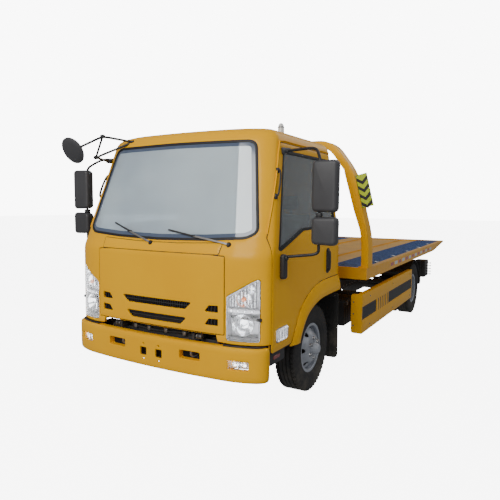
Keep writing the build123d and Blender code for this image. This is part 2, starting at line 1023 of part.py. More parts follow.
with BuildPart() as propeller_shaft:
    gearbox_end_y = engine_front_y + engine_length + gearbox_length
    gearbox_z = (gearbox_bottom_z + gearbox_top_z) / 2
    shaft_front = (0, gearbox_end_y + seat_gap + shaft_flange, gearbox_z)
    shaft_rear = (0, rear_axle_y - diff_radius - seat_gap - shaft_flange, axle_z)
    rod(shaft_front, shaft_rear, shaft_radius)
    rod((0, gearbox_end_y + seat_gap, gearbox_z), shaft_front, shaft_radius + rim_disc_thickness)
    rod((0, rear_axle_y - diff_radius - seat_gap, axle_z), shaft_rear, shaft_radius + rim_disc_thickness)
finish(propeller_shaft, "propeller_shaft")

with BuildPart() as radiator:
    block(
        (-radiator_half_width, radiator_half_width),
        (at(radiator_reach), at(radiator_reach) + radiator_depth),
        (radiator_bottom_z, radiator_top_z),
    )
finish(radiator, "radiator")

# Bumper: bowed plate with rounded ends
with BuildPart() as bumper:
    with BuildSketch(Plane.XY.offset(bumper_bottom_z)):
        for inset, mode in ((0, Mode.ADD), (bumper_thickness, Mode.SUBTRACT)):
            side_x = bumper_half_width - inset
            shoulder_x = bumper_half_width - bumper_corner_width
            nose_y = bumper_front_y + inset
            shoulder_y = nose_y + bumper_sagitta
            corner_y = shoulder_y + bumper_corner_depth
            end_y = at(bumper_end_reach) + (overrun if inset else 0)
            bulge_x = side_x - (side_x - shoulder_x) * corner_bulge_share
            bulge_y = shoulder_y + bumper_corner_depth * corner_bulge_share
            with BuildLine():
                Polyline((-side_x, corner_y), (-side_x, end_y), (side_x, end_y), (side_x, corner_y))
                ThreePointArc((side_x, corner_y), (bulge_x, bulge_y), (shoulder_x, shoulder_y))
                ThreePointArc((shoulder_x, shoulder_y), (0, nose_y), (-shoulder_x, shoulder_y))
                ThreePointArc((-shoulder_x, shoulder_y), (-bulge_x, bulge_y), (-side_x, corner_y))
            make_face(mode=mode)
    extrude(amount=bumper_top_z - bumper_bottom_z)
    with BuildSketch(Plane.XZ.offset(-at(bumper_end_reach))):
        with Locations((hook_hole_x, hook_hole_z), (-hook_hole_x, hook_hole_z)):
            Rectangle(hook_hole_width, hook_hole_height)
        with Locations((square_hole_x, square_hole_z), (-square_hole_x, square_hole_z)):
            Rectangle(square_hole_size, square_hole_size)
        with Locations((fog_x, fog_z), (-fog_x, fog_z)):
            Rectangle(fog_width, fog_height)
    extrude(amount=bumper_front_reach, mode=Mode.SUBTRACT)
    # brackets back to the rails
    for side in (-1, 1):
        bracket_x = side * (rail_outer_x - rail_flange / 2)
        block(
            (bracket_x - rail_flange / 2, bracket_x + rail_flange / 2),
            (bumper_front_y + bumper_thickness, rail_front_y),
            (hook_hole_z + hook_hole_height / 2 + rail_wall, bumper_top_z - rail_wall),
        )
finish(bumper, "bumper")

with BuildPart() as fog_lamps:
    for side in (-1, 1):
        block(
            (side * (fog_x - fog_width / 2 + seat_gap), side * (fog_x + fog_width / 2 - seat_gap)),
            (
                at(-bumper_front_reach) + bumper_sagitta + 2 * bumper_thickness,
                at(bumper_end_reach) - overrun,
            ),
            (fog_z - fog_height / 2 + seat_gap, fog_z + fog_height / 2 - seat_gap),
        )
finish(fog_lamps, "fog_lamps")


# Cab shell
def window_outline():
    """Windscreen opening seen from the front."""
    Polyline(
        (-screen_bottom_half, screen_side_z),
        (-screen_top_half, screen_top_z),
        (screen_top_half, screen_top_z),
        (screen_bottom_half, screen_side_z),
    )
    ThreePointArc(
        (screen_bottom_half, screen_side_z),
        (0, screen_bottom_z),
        (-screen_bottom_half, screen_side_z),
    )


def door_outline(gap):
    """Corner points of a door seen from the side, drawn in by a gap."""
    flare = [(at(reach) - gap / 2, height + gap) for reach, height in flare_points]
    flare[-1] = (at(door_rear_reach) - gap, flare[-2][1])
    return (
        (at(door_front_reach) + gap, door_bottom_z + gap),
        (at(door_front_reach) + gap, door_belt_z),
        (at(door_front_reach) + door_pillar_run + gap, door_top_z - gap),
        (at(door_rear_reach) - gap, door_top_z - gap),
        *reversed(flare[1:]),
        (flare[0][0], door_bottom_z + gap),
    )


lid_y_pair = (cab_front_y - overrun, cab_front_y + corner_depth)
door_x_pair = (cab_half_width - 4 * cab_wall, cab_half_width + overrun)


def slot_points(top_half, bottom_half, top_z, bottom_z):
    """Outline of a slot in the front panel, wider at its top."""
    return ((-top_half, top_z), (top_half, top_z), (bottom_half, bottom_z), (-bottom_half, bottom_z))


def panel_slots(gap, mode=Mode.ADD):
    """The front panel's slots and vents, cut through or filled, drawn in by a gap."""
    # columns: half width at the top, half width at the bottom, top, bottom
    for top_half, bottom_half, top_z, bottom_z in (
        (slot_top_half, slot_bottom_half, slot_top_z, slot_bottom_z),
        (low_slot_top_half, low_slot_bottom_half, low_slot_top_z, low_slot_bottom_z),
    ):
        points = slot_points(top_half - 2 * gap, bottom_half - 2 * gap, top_z - gap, bottom_z + gap)
        front_profile(points, lid_y_pair, mode=mode)
    for bottom_z in vent_bottoms:
        for side in (-1, 1):
            block(
                (side * (vent_inner_x + gap), side * (vent_outer_x - gap)),
                lid_y_pair,
                (bottom_z + gap, bottom_z + vent_height - gap),
                mode=mode,
            )


def lamp_points(gap):
    """Headlamp outline from the front, left side."""
    return (
        (lamp_inner_x + gap, lamp_bottom_z + gap),
        (lamp_inner_x + gap, lamp_inner_top_z - gap),
        (lamp_outer_x - gap, lamp_outer_top_z - gap),
        (lamp_outer_x - gap, lamp_bottom_z + gap),
    )


cab_lid_layer = cab_body(lid_thickness)
cab_lid_pocket = cab_body(lid_thickness + seat_gap)
cab_lamp_pocket = cab_body(lamp_depth + seat_gap)
cab_lamp_layer = cab_body(lamp_depth)

# hollow of the cabin above its two floors
with BuildPart() as cabin:
    add(cab_inner)
    block(
        (-cab_half_width, cab_half_width),
        (cab_front_y, cab_back_y),
        (cab_skirt_z - overrun, footwell_z),
        mode=Mode.SUBTRACT,
    )
    block(
        (-cab_half_width, cab_half_width),
        (at(riser_reach), cab_back_y),
        (cab_skirt_z - overrun, seat_riser_z),
        mode=Mode.SUBTRACT,
    )

# pockets for the front panel and the left headlamp
with BuildPart() as lid_pocket:
    add(cab_outer)
    add(cab_lid_pocket, mode=Mode.SUBTRACT)
    block((-lid_half_width, lid_half_width), lid_y_pair, (lid_bottom_z, lid_top_z), mode=Mode.INTERSECT)

with BuildPart() as lamp_pocket:
    add(cab_outer)
    add(cab_lamp_pocket, mode=Mode.SUBTRACT)
    front_profile(lamp_points(0), (cab_front_y - overrun, at(lamp_back_reach)), mode=Mode.INTERSECT)

with BuildPart() as cab_shell:
    add(cab_outer)
    add(cabin.part, mode=Mode.SUBTRACT)
    # outside line of the skirt and the wheel arches
    side_profile(
        (
            (cab_front_y - overrun, cab_skirt_z - 3 * overrun),
            (cab_front_y - overrun, cab_nose_z),
            *((at(reach), height) for reach, height in arch_points),
            (cab_back_y + overrun, arch_points[-1][1]),
            (cab_back_y + overrun, cab_skirt_z - 3 * overrun),
        ),
        (-cab_half_width - overrun, cab_half_width + overrun),
        mode=Mode.SUBTRACT,
    )
    # space between the skin and the floors, above the arches
    liner_half = cab_half_width - liner_inset
    liner = [(at(reach), height + floor_thickness) for reach, height in arch_points[2:-1]]
    bay_z = cab_skirt_z - overrun
    bay = [(at(riser_reach), bay_z), (at(bay_back_reach), bay_z)]
    # columns: half width, height at the front, line along the bottom
    for half_width, front_z, low_line in (
        (liner_half, cab_nose_z + floor_thickness, liner),
        (bay_half_width, bay_z, bay),
    ):
        side_profile(
            (
                (cab_front_y + 2 * cab_wall, front_z),
                (at(door_front_reach), front_z),
                *low_line,
                (cab_back_y - cab_wall, low_line[-1][1]),
                (cab_back_y - cab_wall, seat_riser_z - floor_thickness),
                (at(riser_reach) + floor_thickness, seat_riser_z - floor_thickness),
                (at(riser_reach) + floor_thickness, footwell_z - floor_thickness),
                (cab_front_y + 2 * cab_wall, footwell_z - floor_thickness),
            ),
            (-half_width, half_width),
            mode=Mode.SUBTRACT,
        )
    # openings for the windscreen, the rear window and the doors
    with BuildSketch(Plane.XZ.offset(-at(riser_reach))):
        with BuildLine():
            window_outline()
        make_face()
    extrude(amount=cab_front_reach, mode=Mode.SUBTRACT)
    block(
        (-rear_window_half, rear_window_half),
        (cab_back_y - 3 * cab_wall, cab_back_y + overrun),
        (rear_window_bottom_z, rear_window_top_z),
        mode=Mode.SUBTRACT,
    )
    for side in (-1, 1):
        side_profile(door_outline(0), (side * door_x_pair[0], side * door_x_pair[1]), mode=Mode.SUBTRACT)
    # lower front opening behind the lid
    front_profile(
        slot_points(
            lid_half_width - 2 * cab_wall,
            lid_half_width - 3 * cab_wall,
            lid_bottom_z + cab_wall,
            cab_nose_z - overrun,
        ),
        (cab_front_y - overrun, cab_front_y + 3 * cab_wall),
        mode=Mode.SUBTRACT,
    )
    add(lid_pocket.part, mode=Mode.SUBTRACT)
    add(lamp_pocket.part, mode=Mode.SUBTRACT)
    add(lamp_pocket.part.mirror(Plane.YZ), mode=Mode.SUBTRACT)
    # ears that ride on the tilt pins
    pin = (at(cab_pivot_reach), cab_pivot_z)
    for side in (-1, 1):
        ear_x = side * (rail_outer_x + cab_pin_length / 2)
        side_profile(
            (
                (pin[0] - cab_ear_half, cab_pivot_z - cab_ear_half),
                (pin[0] + cab_ear_back, cab_pivot_z - cab_ear_half),
                (pin[0] + cab_ear_back, cab_ear_top_z),
                (pin[0] + cab_ear_step, cab_ear_top_z),
                (pin[0] + cab_ear_step, cab_pivot_z + cab_ear_half),
                (pin[0] - cab_ear_half, cab_pivot_z + cab_ear_half),
            ),
            (ear_x - cab_ear_thickness / 2, ear_x + cab_ear_thickness / 2),
        )
    rod(
        (-cab_half_width / 2, *pin),
        (cab_half_width / 2, *pin),
        cab_pin_radius + seat_gap,
        mode=Mode.SUBTRACT,
    )
finish(cab_shell, "cab_shell")

with BuildPart() as headlamps:
    add(cab_outer)
    add(cab_lamp_layer, mode=Mode.SUBTRACT)
    front_profile(lamp_points(seat_gap), (cab_front_y - overrun, at(lamp_back_reach)), mode=Mode.INTERSECT)
    mirrored(headlamps)
finish(headlamps, "headlamps")

with BuildPart() as front_lid:
    add(cab_outer)
    add(cab_lid_layer, mode=Mode.SUBTRACT)
    block(
        (lid_gap - lid_half_width, lid_half_width - lid_gap),
        lid_y_pair,
        (lid_bottom_z + lid_gap, lid_top_z - lid_gap),
        mode=Mode.INTERSECT,
    )
    panel_slots(0, mode=Mode.SUBTRACT)
    for start_x in lid_hinge_xs:
        axis = (cab_front_y, lid_top_z - lid_gap)
        rod((start_x, *axis), (start_x + hinge_length, *axis), lid_hinge_radius)
finish(front_lid, "front_lid")

grille_front = cab_body(lid_thickness - grille_thickness)
# blocks that fill the panel's slots
with BuildPart() as slots:
    panel_slots(seat_gap)

with BuildPart() as grille:
    add(grille_front)
    add(cab_lid_layer, mode=Mode.SUBTRACT)
    add(slots.part, mode=Mode.INTERSECT)
finish(grille, "grille")

# Glass of the cab
glass_outer = cab_body(glass_inset)
glass_inner = cab_body(glass_inset + glass_thickness)
with BuildPart() as screen_shape:
    with BuildSketch(Plane.XZ.offset(-at(riser_reach))):
        with BuildLine():
            window_outline()
        make_face()
        offset(amount=-seat_gap)
    extrude(amount=cab_front_reach)

with BuildPart() as windscreen:
    add(glass_outer)
    add(glass_inner, mode=Mode.SUBTRACT)
    add(screen_shape.part, mode=Mode.INTERSECT)
finish(windscreen, "windscreen")

with BuildPart() as rear_window:
    add(glass_outer)
    add(glass_inner, mode=Mode.SUBTRACT)
    block(
        (seat_gap - rear_window_half, rear_window_half - seat_gap),
        (cab_back_y - 3 * cab_wall, cab_back_y + overrun),
        (rear_window_bottom_z + seat_gap, rear_window_top_z - seat_gap),
        mode=Mode.INTERSECT,
    )
finish(rear_window, "rear_window")


# Doors
door_window = [(at(reach), height) for reach, height in door_window_points]


def door():
    """Left door with its window opening and its hinge barrels."""
    add(cab_outer)
    add(cab_inner, mode=Mode.SUBTRACT)
    side_profile(door_outline(door_gap), door_x_pair, mode=Mode.INTERSECT)
    block(
        door_x_pair,
        (at(door_rear_reach) - door_rear_gap, at(door_rear_reach) + overrun),
        (door_bottom_z - overrun, door_top_z + overrun),
        mode=Mode.SUBTRACT,
    )
    side_profile(door_window, door_x_pair, mode=Mode.SUBTRACT)
    for low_z in door_hinge_heights:
        axis = (door_hinge_x, at(door_hinge_reach))
        rod((*axis, low_z), (*axis, low_z + hinge_length), hinge_radius)


def door_glass():
    """Pane of the left door."""
    add(glass_outer)
    add(glass_inner, mode=Mode.SUBTRACT)
    with BuildSketch(Plane.YZ.offset(door_x_pair[0])) as pane:
        with BuildLine():
            Polyline(*door_window, close=True)
        make_face()
        offset(amount=-seat_gap)
    extrude(pane.sketch, amount=door_x_pair[1] - door_x_pair[0], mode=Mode.INTERSECT)


both_sides(door, "door")
both_sides(door_glass, "door_glass")


# Mirrors on the doors
def mirror_set():
    """Left mirrors on their two arms, with the foot on the door."""
    arm_x = cab_half_width - eave_inset
    arm_foot = (arm_x, at(mirror_arm_foot_reach), mirror_arm_top_z)
    bend = (mirror_bend_x, at(mirror_bend_reach), mirror_arm_bend_z)
    head_top = (mirror_head_x - mirror_head_half / 2, at(mirror_head_reach), mirror_head_top_z)
    rod(arm_foot, bend, mirror_arm_radius)
    rod(bend, head_top, mirror_arm_radius)
    for low, high in ((mirror_head_bottom_z, mirror_head_top_z), (mirror_low_bottom_z, mirror_low_top_z)):
        block(
            (mirror_head_x - mirror_head_half, mirror_head_x + mirror_head_half),
            (at(mirror_head_reach) - mirror_head_depth / 2, at(mirror_head_reach) + mirror_head_depth / 2),
            (low, high),
        )
    stem_x = head_top[0]
    stem_y = at(mirror_head_reach)
    rod(
        (stem_x, stem_y, mirror_foot_z + mirror_arm_radius),
        (stem_x, stem_y, mirror_head_top_z),
        mirror_arm_radius,
    )
    foot = (cab_half_width, at(mirror_foot_reach), mirror_foot_z)
    rod(foot, (stem_x, stem_y, mirror_foot_z + mirror_arm_radius), mirror_arm_radius)
    block(
        (cab_half_width, cab_half_width + mirror_mount_depth),
        (at(mirror_foot_reach) - mirror_mount_length / 2, at(mirror_foot_reach) + mirror_mount_length / 2),
        (mirror_foot_z - mirror_mount_height + 2 * mirror_arm_radius, mirror_foot_z + 2 * mirror_arm_radius),
    )
    add(cab_clear, mode=Mode.SUBTRACT)


both_sides(mirror_set, "mirrors")


def place(point):
    """Point of the truss in the model's frame."""
    return (point[0], at(point[1]), point[2])


with BuildPart() as near_mirror:
    for start, end in (
        (truss_roof_foot, truss_peak),
        (truss_roof_foot, truss_low_bend),
        (truss_peak, truss_low_bend),
        (truss_low_bend, truss_pillar_foot),
        (truss_peak, near_mirror_centre),
    ):
        rod(place(start), place(end), truss_tube_radius)
    tilt = radians(near_mirror_tilt)
    mirror_plane = Plane(origin=place(near_mirror_centre), x_dir=(1, 0, 0), z_dir=(0, cos(tilt), -sin(tilt)))
    with BuildSketch(mirror_plane):
        Circle(near_mirror_radius)
    extrude(amount=near_mirror_thickness / 2, both=True)
    add(cab_clear, mode=Mode.SUBTRACT)
finish(near_mirror, "near_mirror")

with BuildPart() as roof_lamp:
    roof_point = (roof_lamp_x, at(roof_lamp_reach))
    rod((*roof_point, cab_eave_z), (*roof_point, cab_roof_z + roof_lamp_height), roof_lamp_radius)
    add(cab_outer, mode=Mode.SUBTRACT)
finish(roof_lamp, "roof_lamp")

# Wipers
wiper_layer = cab_body(-wiper_thickness)
with BuildPart() as wipers:
    for pivot_x, tip_x, pivot_z, tip_z in wipers_table:
        length = hypot(tip_x - pivot_x, tip_z - pivot_z)
        lean = degrees(atan2(tip_z - pivot_z, tip_x - pivot_x))
        with BuildSketch(Plane.XZ.offset(-at(riser_reach))):
            with Locations(Location(((pivot_x + tip_x) / 2, (pivot_z + tip_z) / 2), lean)):
                Rectangle(length, wiper_width)
        extrude(amount=cab_front_reach)
    add(cab_outer, mode=Mode.SUBTRACT)
    add(wiper_layer, mode=Mode.INTERSECT)
finish(wipers, "wipers")

# Inside of the cab
with BuildPart() as dashboard:
    add(cab_inner)
    block(
        (-dash_half_width, dash_half_width),
        (cab_front_y, at(dash_front_reach) + dash_depth),
        (dash_bottom_z, dash_top_z),
        mode=Mode.INTERSECT,
    )
finish(dashboard, "dashboard")

with BuildPart() as seats:
    # columns: x of the middle, half width
    for middle_x, half_width in ((driver_seat_x, seat_half_width), (bench_x, bench_half_width)):
        x_pair = (middle_x - half_width, middle_x + half_width)
        rear_y = at(seat_back_reach)
        block(x_pair, (rear_y - seat_length, rear_y), (seat_riser_z, seat_riser_z + seat_height))
        block(x_pair, (rear_y - seat_back_thickness, rear_y), (seat_riser_z, seat_back_top_z))
finish(seats, "seats")

with BuildPart() as steering_wheel:
    lean = radians(wheel_ring_tilt)
    ring_plane = Plane(
        origin=(driver_seat_x, at(wheel_ring_reach), wheel_ring_z),
        x_dir=(1, 0, 0),
        z_dir=(0, sin(lean), cos(lean)),
    )
    with BuildSketch(ring_plane):
        Circle(wheel_ring_radius)
        Circle(wheel_ring_radius - 2 * wheel_ring_tube, mode=Mode.SUBTRACT)
        Rectangle(2 * wheel_ring_radius - wheel_ring_tube, 3 * wheel_ring_tube)
        Circle(4 * wheel_ring_tube)
    extrude(amount=wheel_ring_tube, both=True)
    column_run = (wheel_ring_reach - dash_front_reach - dash_depth + overrun) / sin(lean)
    column_foot = (
        driver_seat_x,
        at(wheel_ring_reach) - column_run * sin(lean),
        wheel_ring_z - column_run * cos(lean),
    )
    rod((driver_seat_x, at(wheel_ring_reach), wheel_ring_z), column_foot, 2 * wheel_ring_tube)
    add(dashboard.part, mode=Mode.SUBTRACT)
finish(steering_wheel, "steering_wheel")

with BuildPart() as steps:
    block(
        (step_inner_x, step_outer_x),
        (at(step_front_reach), at(step_rear_reach)),
        (step_z, cab_skirt_z),
    )
    block(
        (step_inner_x, step_outer_x - cab_wall),
        (at(step_front_reach) - overrun, at(step_rear_reach) + overrun),
        (step_z + 2 * floor_thickness, cab_skirt_z - floor_thickness / 2),
        mode=Mode.SUBTRACT,
    )
    mirrored(steps)
finish(steps, "cab_steps")


# Side guards
with BuildPart() as side_guards:
    inner_x = guard_outer_x - guard_return
    front_y = at(guard_front_reach)
    rear_y = at(guard_rear_reach)
    block((guard_outer_x - guard_wall, guard_outer_x), (front_y, rear_y), (guard_bottom_z, guard_top_z))
    block((inner_x, guard_outer_x), (front_y, front_y + guard_wall), (guard_bottom_z, guard_top_z))
    block(
        (inner_x + guard_return / 2, guard_outer_x),
        (front_y, rear_y),
        (guard_top_z - guard_wall, guard_top_z),
    )
    for first, last in guard_bands:
        block(
            (guard_outer_x - guard_band_depth, guard_outer_x + overrun),
            (at(first), at(last)),
            (guard_band_bottom_z, guard_band_top_z),
            mode=Mode.SUBTRACT,
        )
    for reach in guard_bar_reaches:
        block(
            (guard_outer_x - guard_band_depth, guard_outer_x + overrun),
            (at(reach), at(reach) + guard_bar_width),
            (guard_band_bottom_z, guard_band_top_z),
            mode=Mode.SUBTRACT,
        )
    for reach in guard_bracket_reaches:
        block(
            (rail_outer_x, guard_outer_x - guard_wall),
            (at(reach), at(reach) + guard_bracket_width),
            (guard_top_z - 3 * guard_wall, guard_top_z - guard_wall),
        )
    mirrored(side_guards)
finish(side_guards, "side_guards")

# Mudguards
with BuildPart() as front_mudguards:
    block(
        (front_flap_inner_x, front_flap_outer_x),
        (at(front_flap_reach), at(front_flap_reach) + mudguard_thickness),
        (front_flap_bottom_z, front_arch_top_z),
    )
    block(
        (rail_outer_x, front_flap_inner_x),
        (at(front_flap_reach), at(front_flap_reach) + 3 * mudguard_thickness),
        (rail_top_z - 6 * mudguard_thickness, rail_top_z - 3 * mudguard_thickness),
    )
    mirrored(front_mudguards)
finish(front_mudguards, "front_mudguards")

with BuildPart() as rear_mudguards:
    with BuildSketch(Plane.YZ.offset(rear_guard_inner_x)):
        with Locations((rear_axle_y, axle_z)):
            Circle(rear_guard_radius)
            Circle(rear_guard_radius - mudguard_thickness, mode=Mode.SUBTRACT)
        with Locations((rear_axle_y, axle_z - rear_guard_radius / 2 + rear_guard_radius / 4)):
            Rectangle(4 * rear_guard_radius, 1.5 * rear_guard_radius, mode=Mode.SUBTRACT)
    extrude(amount=rear_guard_outer_x - rear_guard_inner_x)
    block(
        (rear_guard_inner_x, rear_guard_outer_x),
        (at(rear_flap_reach), at(rear_flap_reach) + mudguard_thickness),
        (rear_flap_bottom_z, rear_flap_top_z),
    )
    block(
        (rail_outer_x, rear_guard_inner_x + overrun),
        (at(rear_flap_reach), at(rear_flap_reach) + 2 * mudguard_thickness),
        (rear_flap_top_z - 12 * mudguard_thickness, rear_flap_top_z - 6 * mudguard_thickness),
    )
    block(
        (rail_outer_x, rear_guard_inner_x),
        (rear_axle_y - mudguard_thickness, rear_axle_y + mudguard_thickness),
        (rail_top_z - 6 * mudguard_thickness, rail_top_z),
    )
    block(
        (rear_guard_inner_x - overrun, rear_guard_inner_x),
        (rear_axle_y - mudguard_thickness, rear_axle_y + mudguard_thickness),
        (rail_top_z - 6 * mudguard_thickness, axle_z + rear_guard_radius - mudguard_thickness / 8),
    )
    mirrored(rear_mudguards)
finish(rear_mudguards, "rear_mudguards")

# Deck
with BuildPart() as deck:
    wedge_y = deck_rear_y - deck_wedge_length
    rail_line = (
        (deck_front_y, deck_bottom_z),
        (deck_front_y, deck_top_z),
        (deck_rear_y, deck_top_z),
        (deck_rear_y, deck_top_z - deck_wedge_tip),
        (wedge_y, deck_bottom_z),
    )
    side_profile(rail_line, (deck_half_width - deck_rail_width, deck_half_width))
    side_profile(rail_line, (deck_beam_x - deck_beam_width / 2, deck_beam_x + deck_beam_width / 2))
    mirrored(deck)
    inner = deck_half_width - deck_rail_width
    block(
        (-inner, inner),
        (deck_front_y, deck_rear_y),
        (deck_plate_z, deck_plate_z + deck_plate_thickness),
    )
    block((-inner, inner), (deck_front_y, deck_front_y + deck_cross_width), (deck_bottom_z, deck_top_z))
    block(
        (-inner, inner),
        (deck_rear_y - deck_cross_width, deck_rear_y),
        (deck_top_z - deck_wedge_tip, deck_top_z),
    )
    for index in range(1, deck_cross_count):
        cross_y = deck_front_y + index * deck_length / deck_cross_count
        drop = max(0, (cross_y - wedge_y) / deck_wedge_length) * (deck_plate_z - deck_bottom_z)
        for side in (-1, 1):
            block(
                (side * (deck_beam_x + deck_beam_width / 2), side * inner),
                (cross_y, cross_y + deck_cross_width),
                (deck_bottom_z + drop + (deck_plate_z - deck_bottom_z) / 3, deck_plate_z),
            )
finish(deck, "deck")

with BuildPart() as deck_lanes:
    block(
        (lane_inner_x, deck_half_width - deck_rail_width - seat_gap),
        (deck_front_y + deck_cross_width + seat_gap, deck_rear_y - deck_cross_width - seat_gap),
        (deck_plate_z + deck_plate_thickness, deck_plate_z + deck_plate_thickness + lane_thickness),
    )
    mirrored(deck_lanes)
finish(deck_lanes, "deck_lanes")

# Gantry hoop with its warning boards
with BuildPart() as gantry:
    outer_line = (
        (gantry_foot_x, deck_top_z),
        (gantry_foot_x, gantry_knee_z),
        (gantry_shoulder_x, gantry_shoulder_z),
        (gantry_top_x, gantry_top_z),
        (0, gantry_top_z),
    )
    inner_line = (
        (0, gantry_top_z - gantry_width),
        (gantry_top_x - gantry_width / 2, gantry_top_z - gantry_width),
        (gantry_shoulder_x - gantry_width, gantry_shoulder_z - gantry_width / 4),
        (gantry_foot_x - gantry_width, gantry_knee_z - gantry_width / 8),
        (gantry_foot_x - gantry_width, deck_top_z),
    )
    with BuildSketch(Plane.XZ.offset(-at(gantry_reach) - gantry_depth)):
        with BuildLine():
            FilletPolyline(*outer_line, radius=gantry_outer_bend)
            Line(outer_line[-1], inner_line[0])
            FilletPolyline(*inner_line, radius=gantry_inner_bend)
            Line(inner_line[-1], outer_line[0])
        make_face()
    extrude(amount=gantry_depth)
    mirrored(gantry)
finish(gantry, "gantry")

with BuildPart() as chevron_boards:
    run_x = gantry_shoulder_x - gantry_foot_x
    run_z = gantry_shoulder_z - gantry_knee_z
    run = hypot(run_x, run_z)
    along = (run_x / run, run_z / run)
    across = (along[1], -along[0])
    top = (
        gantry_shoulder_x + across[0] * board_gap - along[0] * overrun,
        gantry_shoulder_z + across[1] * board_gap - along[1] * overrun,
    )
    low = (top[0] - along[0] * board_height, top[1] - along[1] * board_height)
    front_profile(
        (
            top,
            (top[0] + across[0] * board_width, top[1] + across[1] * board_width),
            (low[0] + across[0] * board_width, low[1] + across[1] * board_width),
            low,
        ),
        (at(gantry_reach), at(gantry_reach) + board_thickness),
    )
    mirrored(chevron_boards)
finish(chevron_boards, "chevron_boards")

# Winch
with BuildPart() as winch_frame:
    floor_z = deck_plate_z + deck_plate_thickness
    for side in (-1, 1):
        block(
            (side * (winch_half_width - winch_plate_thickness), side * winch_half_width),
            (at(winch_reach) - winch_plate_length / 2, at(winch_reach) + winch_plate_length / 2),
            (floor_z, floor_z + winch_plate_height),
        )
    block(
        (-winch_half_width, winch_half_width),
        (at(winch_reach) - winch_plate_length / 2, at(winch_reach) + winch_plate_length / 2),
        (floor_z, floor_z + winch_plate_thickness),
    )
    axis_z = floor_z + winch_axis_height
    rod(
        (winch_half_width, at(winch_reach), axis_z),
        (winch_half_width + winch_motor_length, at(winch_reach), axis_z),
        winch_motor_radius,
    )
    rod(
        (-winch_half_width - overrun, at(winch_reach), axis_z),
        (winch_half_width, at(winch_reach), axis_z),
        winch_shaft_radius + seat_gap,
        mode=Mode.SUBTRACT,
    )
finish(winch_frame, "winch_frame")

with BuildPart() as winch_drum:
    axis_z = deck_plate_z + deck_plate_thickness + winch_axis_height
    rod(
        (-winch_drum_half, at(winch_reach), axis_z),
        (winch_drum_half, at(winch_reach), axis_z),
        winch_drum_radius,
    )
    for side in (-1, 1):
        rod(
            (side * winch_drum_half, at(winch_reach), axis_z),
            (side * (winch_drum_half + winch_plate_thickness), at(winch_reach), axis_z),
            winch_flange_radius,
        )
    rod(
        (-winch_half_width - overrun / 2, at(winch_reach), axis_z),
        (winch_half_width - seat_gap, at(winch_reach), axis_z),
        winch_shaft_radius,
    )
finish(winch_drum, "winch_drum")

# Tilting frame and the slide cylinder
with BuildPart() as tilt_frame:
    for side in (-1, 1):
        block(
            (
                side * (tilt_rail_x - tilt_rail_width / 2),
                side * (tilt_rail_x + tilt_rail_width / 2 - tilt_rail_play),
            ),
            (tilt_front_y, tilt_rear_y),
            (tilt_bottom_z, tilt_top_z),
        )
    for reach in tilt_cross_reaches:
        block(
            (tilt_rail_width / 2 - tilt_rail_x, tilt_rail_x - tilt_rail_width / 2),
            (at(reach), at(reach) + tilt_cross_width),
            (tilt_bottom_z, tilt_top_z - tilt_gap),
        )
    rod(
        (0, at(tilt_cross_reaches[0]) - overrun, slide_axis_z),
        (0, at(tilt_cross_reaches[1]) + 3 * overrun, slide_axis_z),
        slide_barrel_radius + seat_gap,
        mode=Mode.SUBTRACT,
    )
    block(
        (-slide_barrel_radius - seat_gap, slide_barrel_radius + seat_gap),
        (at(tilt_cross_reaches[0]) - overrun, at(tilt_cross_reaches[1]) + 3 * overrun),
        (slide_axis_z, tilt_top_z),
        mode=Mode.SUBTRACT,
    )
    # brackets beside the eyes of the tilt cylinders
    bracket_y = at(tilt_cylinder_eye_reach)
    for side in (-1, 1):
        block(
            (
                side * (tilt_cylinder_x + tilt_eye_width / 2 + move_gap),
                side * (tilt_rail_x - tilt_rail_width / 2),
            ),
            (bracket_y - tilt_bracket_length / 2, bracket_y + tilt_bracket_length / 2),
            (tilt_bottom_z, tilt_top_z - tilt_gap),
        )
    # ears that ride on the tilt pivot, round below so that they clear the rails as they turn
    ear_in = tilt_rail_x - tilt_rail_width / 2
    ear_out = rail_outer_x - seat_gap
    ear_radius = tilt_pivot_z - rail_top_z - move_gap
    for side in (-1, 1):
        rod(
            (side * ear_in, at(tilt_pivot_reach), tilt_pivot_z),
            (side * ear_out, at(tilt_pivot_reach), tilt_pivot_z),
            ear_radius,
        )
        block(
            (side * ear_in, side * ear_out),
            (at(tilt_pivot_reach) - ear_radius, at(tilt_pivot_reach) + ear_radius),
            (tilt_pivot_z, tilt_bottom_z),
        )
    rod(
        (-rail_outer_x, at(tilt_pivot_reach), tilt_pivot_z),
        (rail_outer_x, at(tilt_pivot_reach), tilt_pivot_z),
        pivot_radius + seat_gap,
        mode=Mode.SUBTRACT,
    )
finish(tilt_frame, "tilt_frame")

with BuildPart() as slide_barrel:
    barrel_y = at(slide_barrel_reach)
    rod((0, barrel_y, slide_axis_z), (0, barrel_y + slide_barrel_length, slide_axis_z), slide_barrel_radius)
    rod(
        (0, barrel_y + tilt_cross_width, slide_axis_z),
        (0, barrel_y + slide_barrel_length - tilt_cross_width, slide_axis_z),
        slide_bore_radius,
        mode=Mode.SUBTRACT,
    )
    rod(
        (0, barrel_y + tilt_cross_width, slide_axis_z),
        (0, barrel_y + slide_barrel_length + overrun, slide_axis_z),
        slide_rod_radius + seat_gap,
        mode=Mode.SUBTRACT,
    )
finish(slide_barrel, "slide_barrel")

with BuildPart() as slide_rod:
    eye_y = at(slide_eye_reach)
    rod((0, at(slide_rod_reach), slide_axis_z), (0, eye_y, slide_axis_z), slide_rod_radius)
    rod(
        (0, at(slide_rod_reach), slide_axis_z),
        (0, at(slide_rod_reach) + slide_eye_width, slide_axis_z),
        slide_bore_radius - seat_gap,
    )
    block(
        (-slide_eye_width / 2, slide_eye_width / 2),
        (eye_y, eye_y + slide_eye_width),
        (slide_axis_z - slide_rod_radius, deck_plate_z),
    )
finish(slide_rod, "slide_rod")

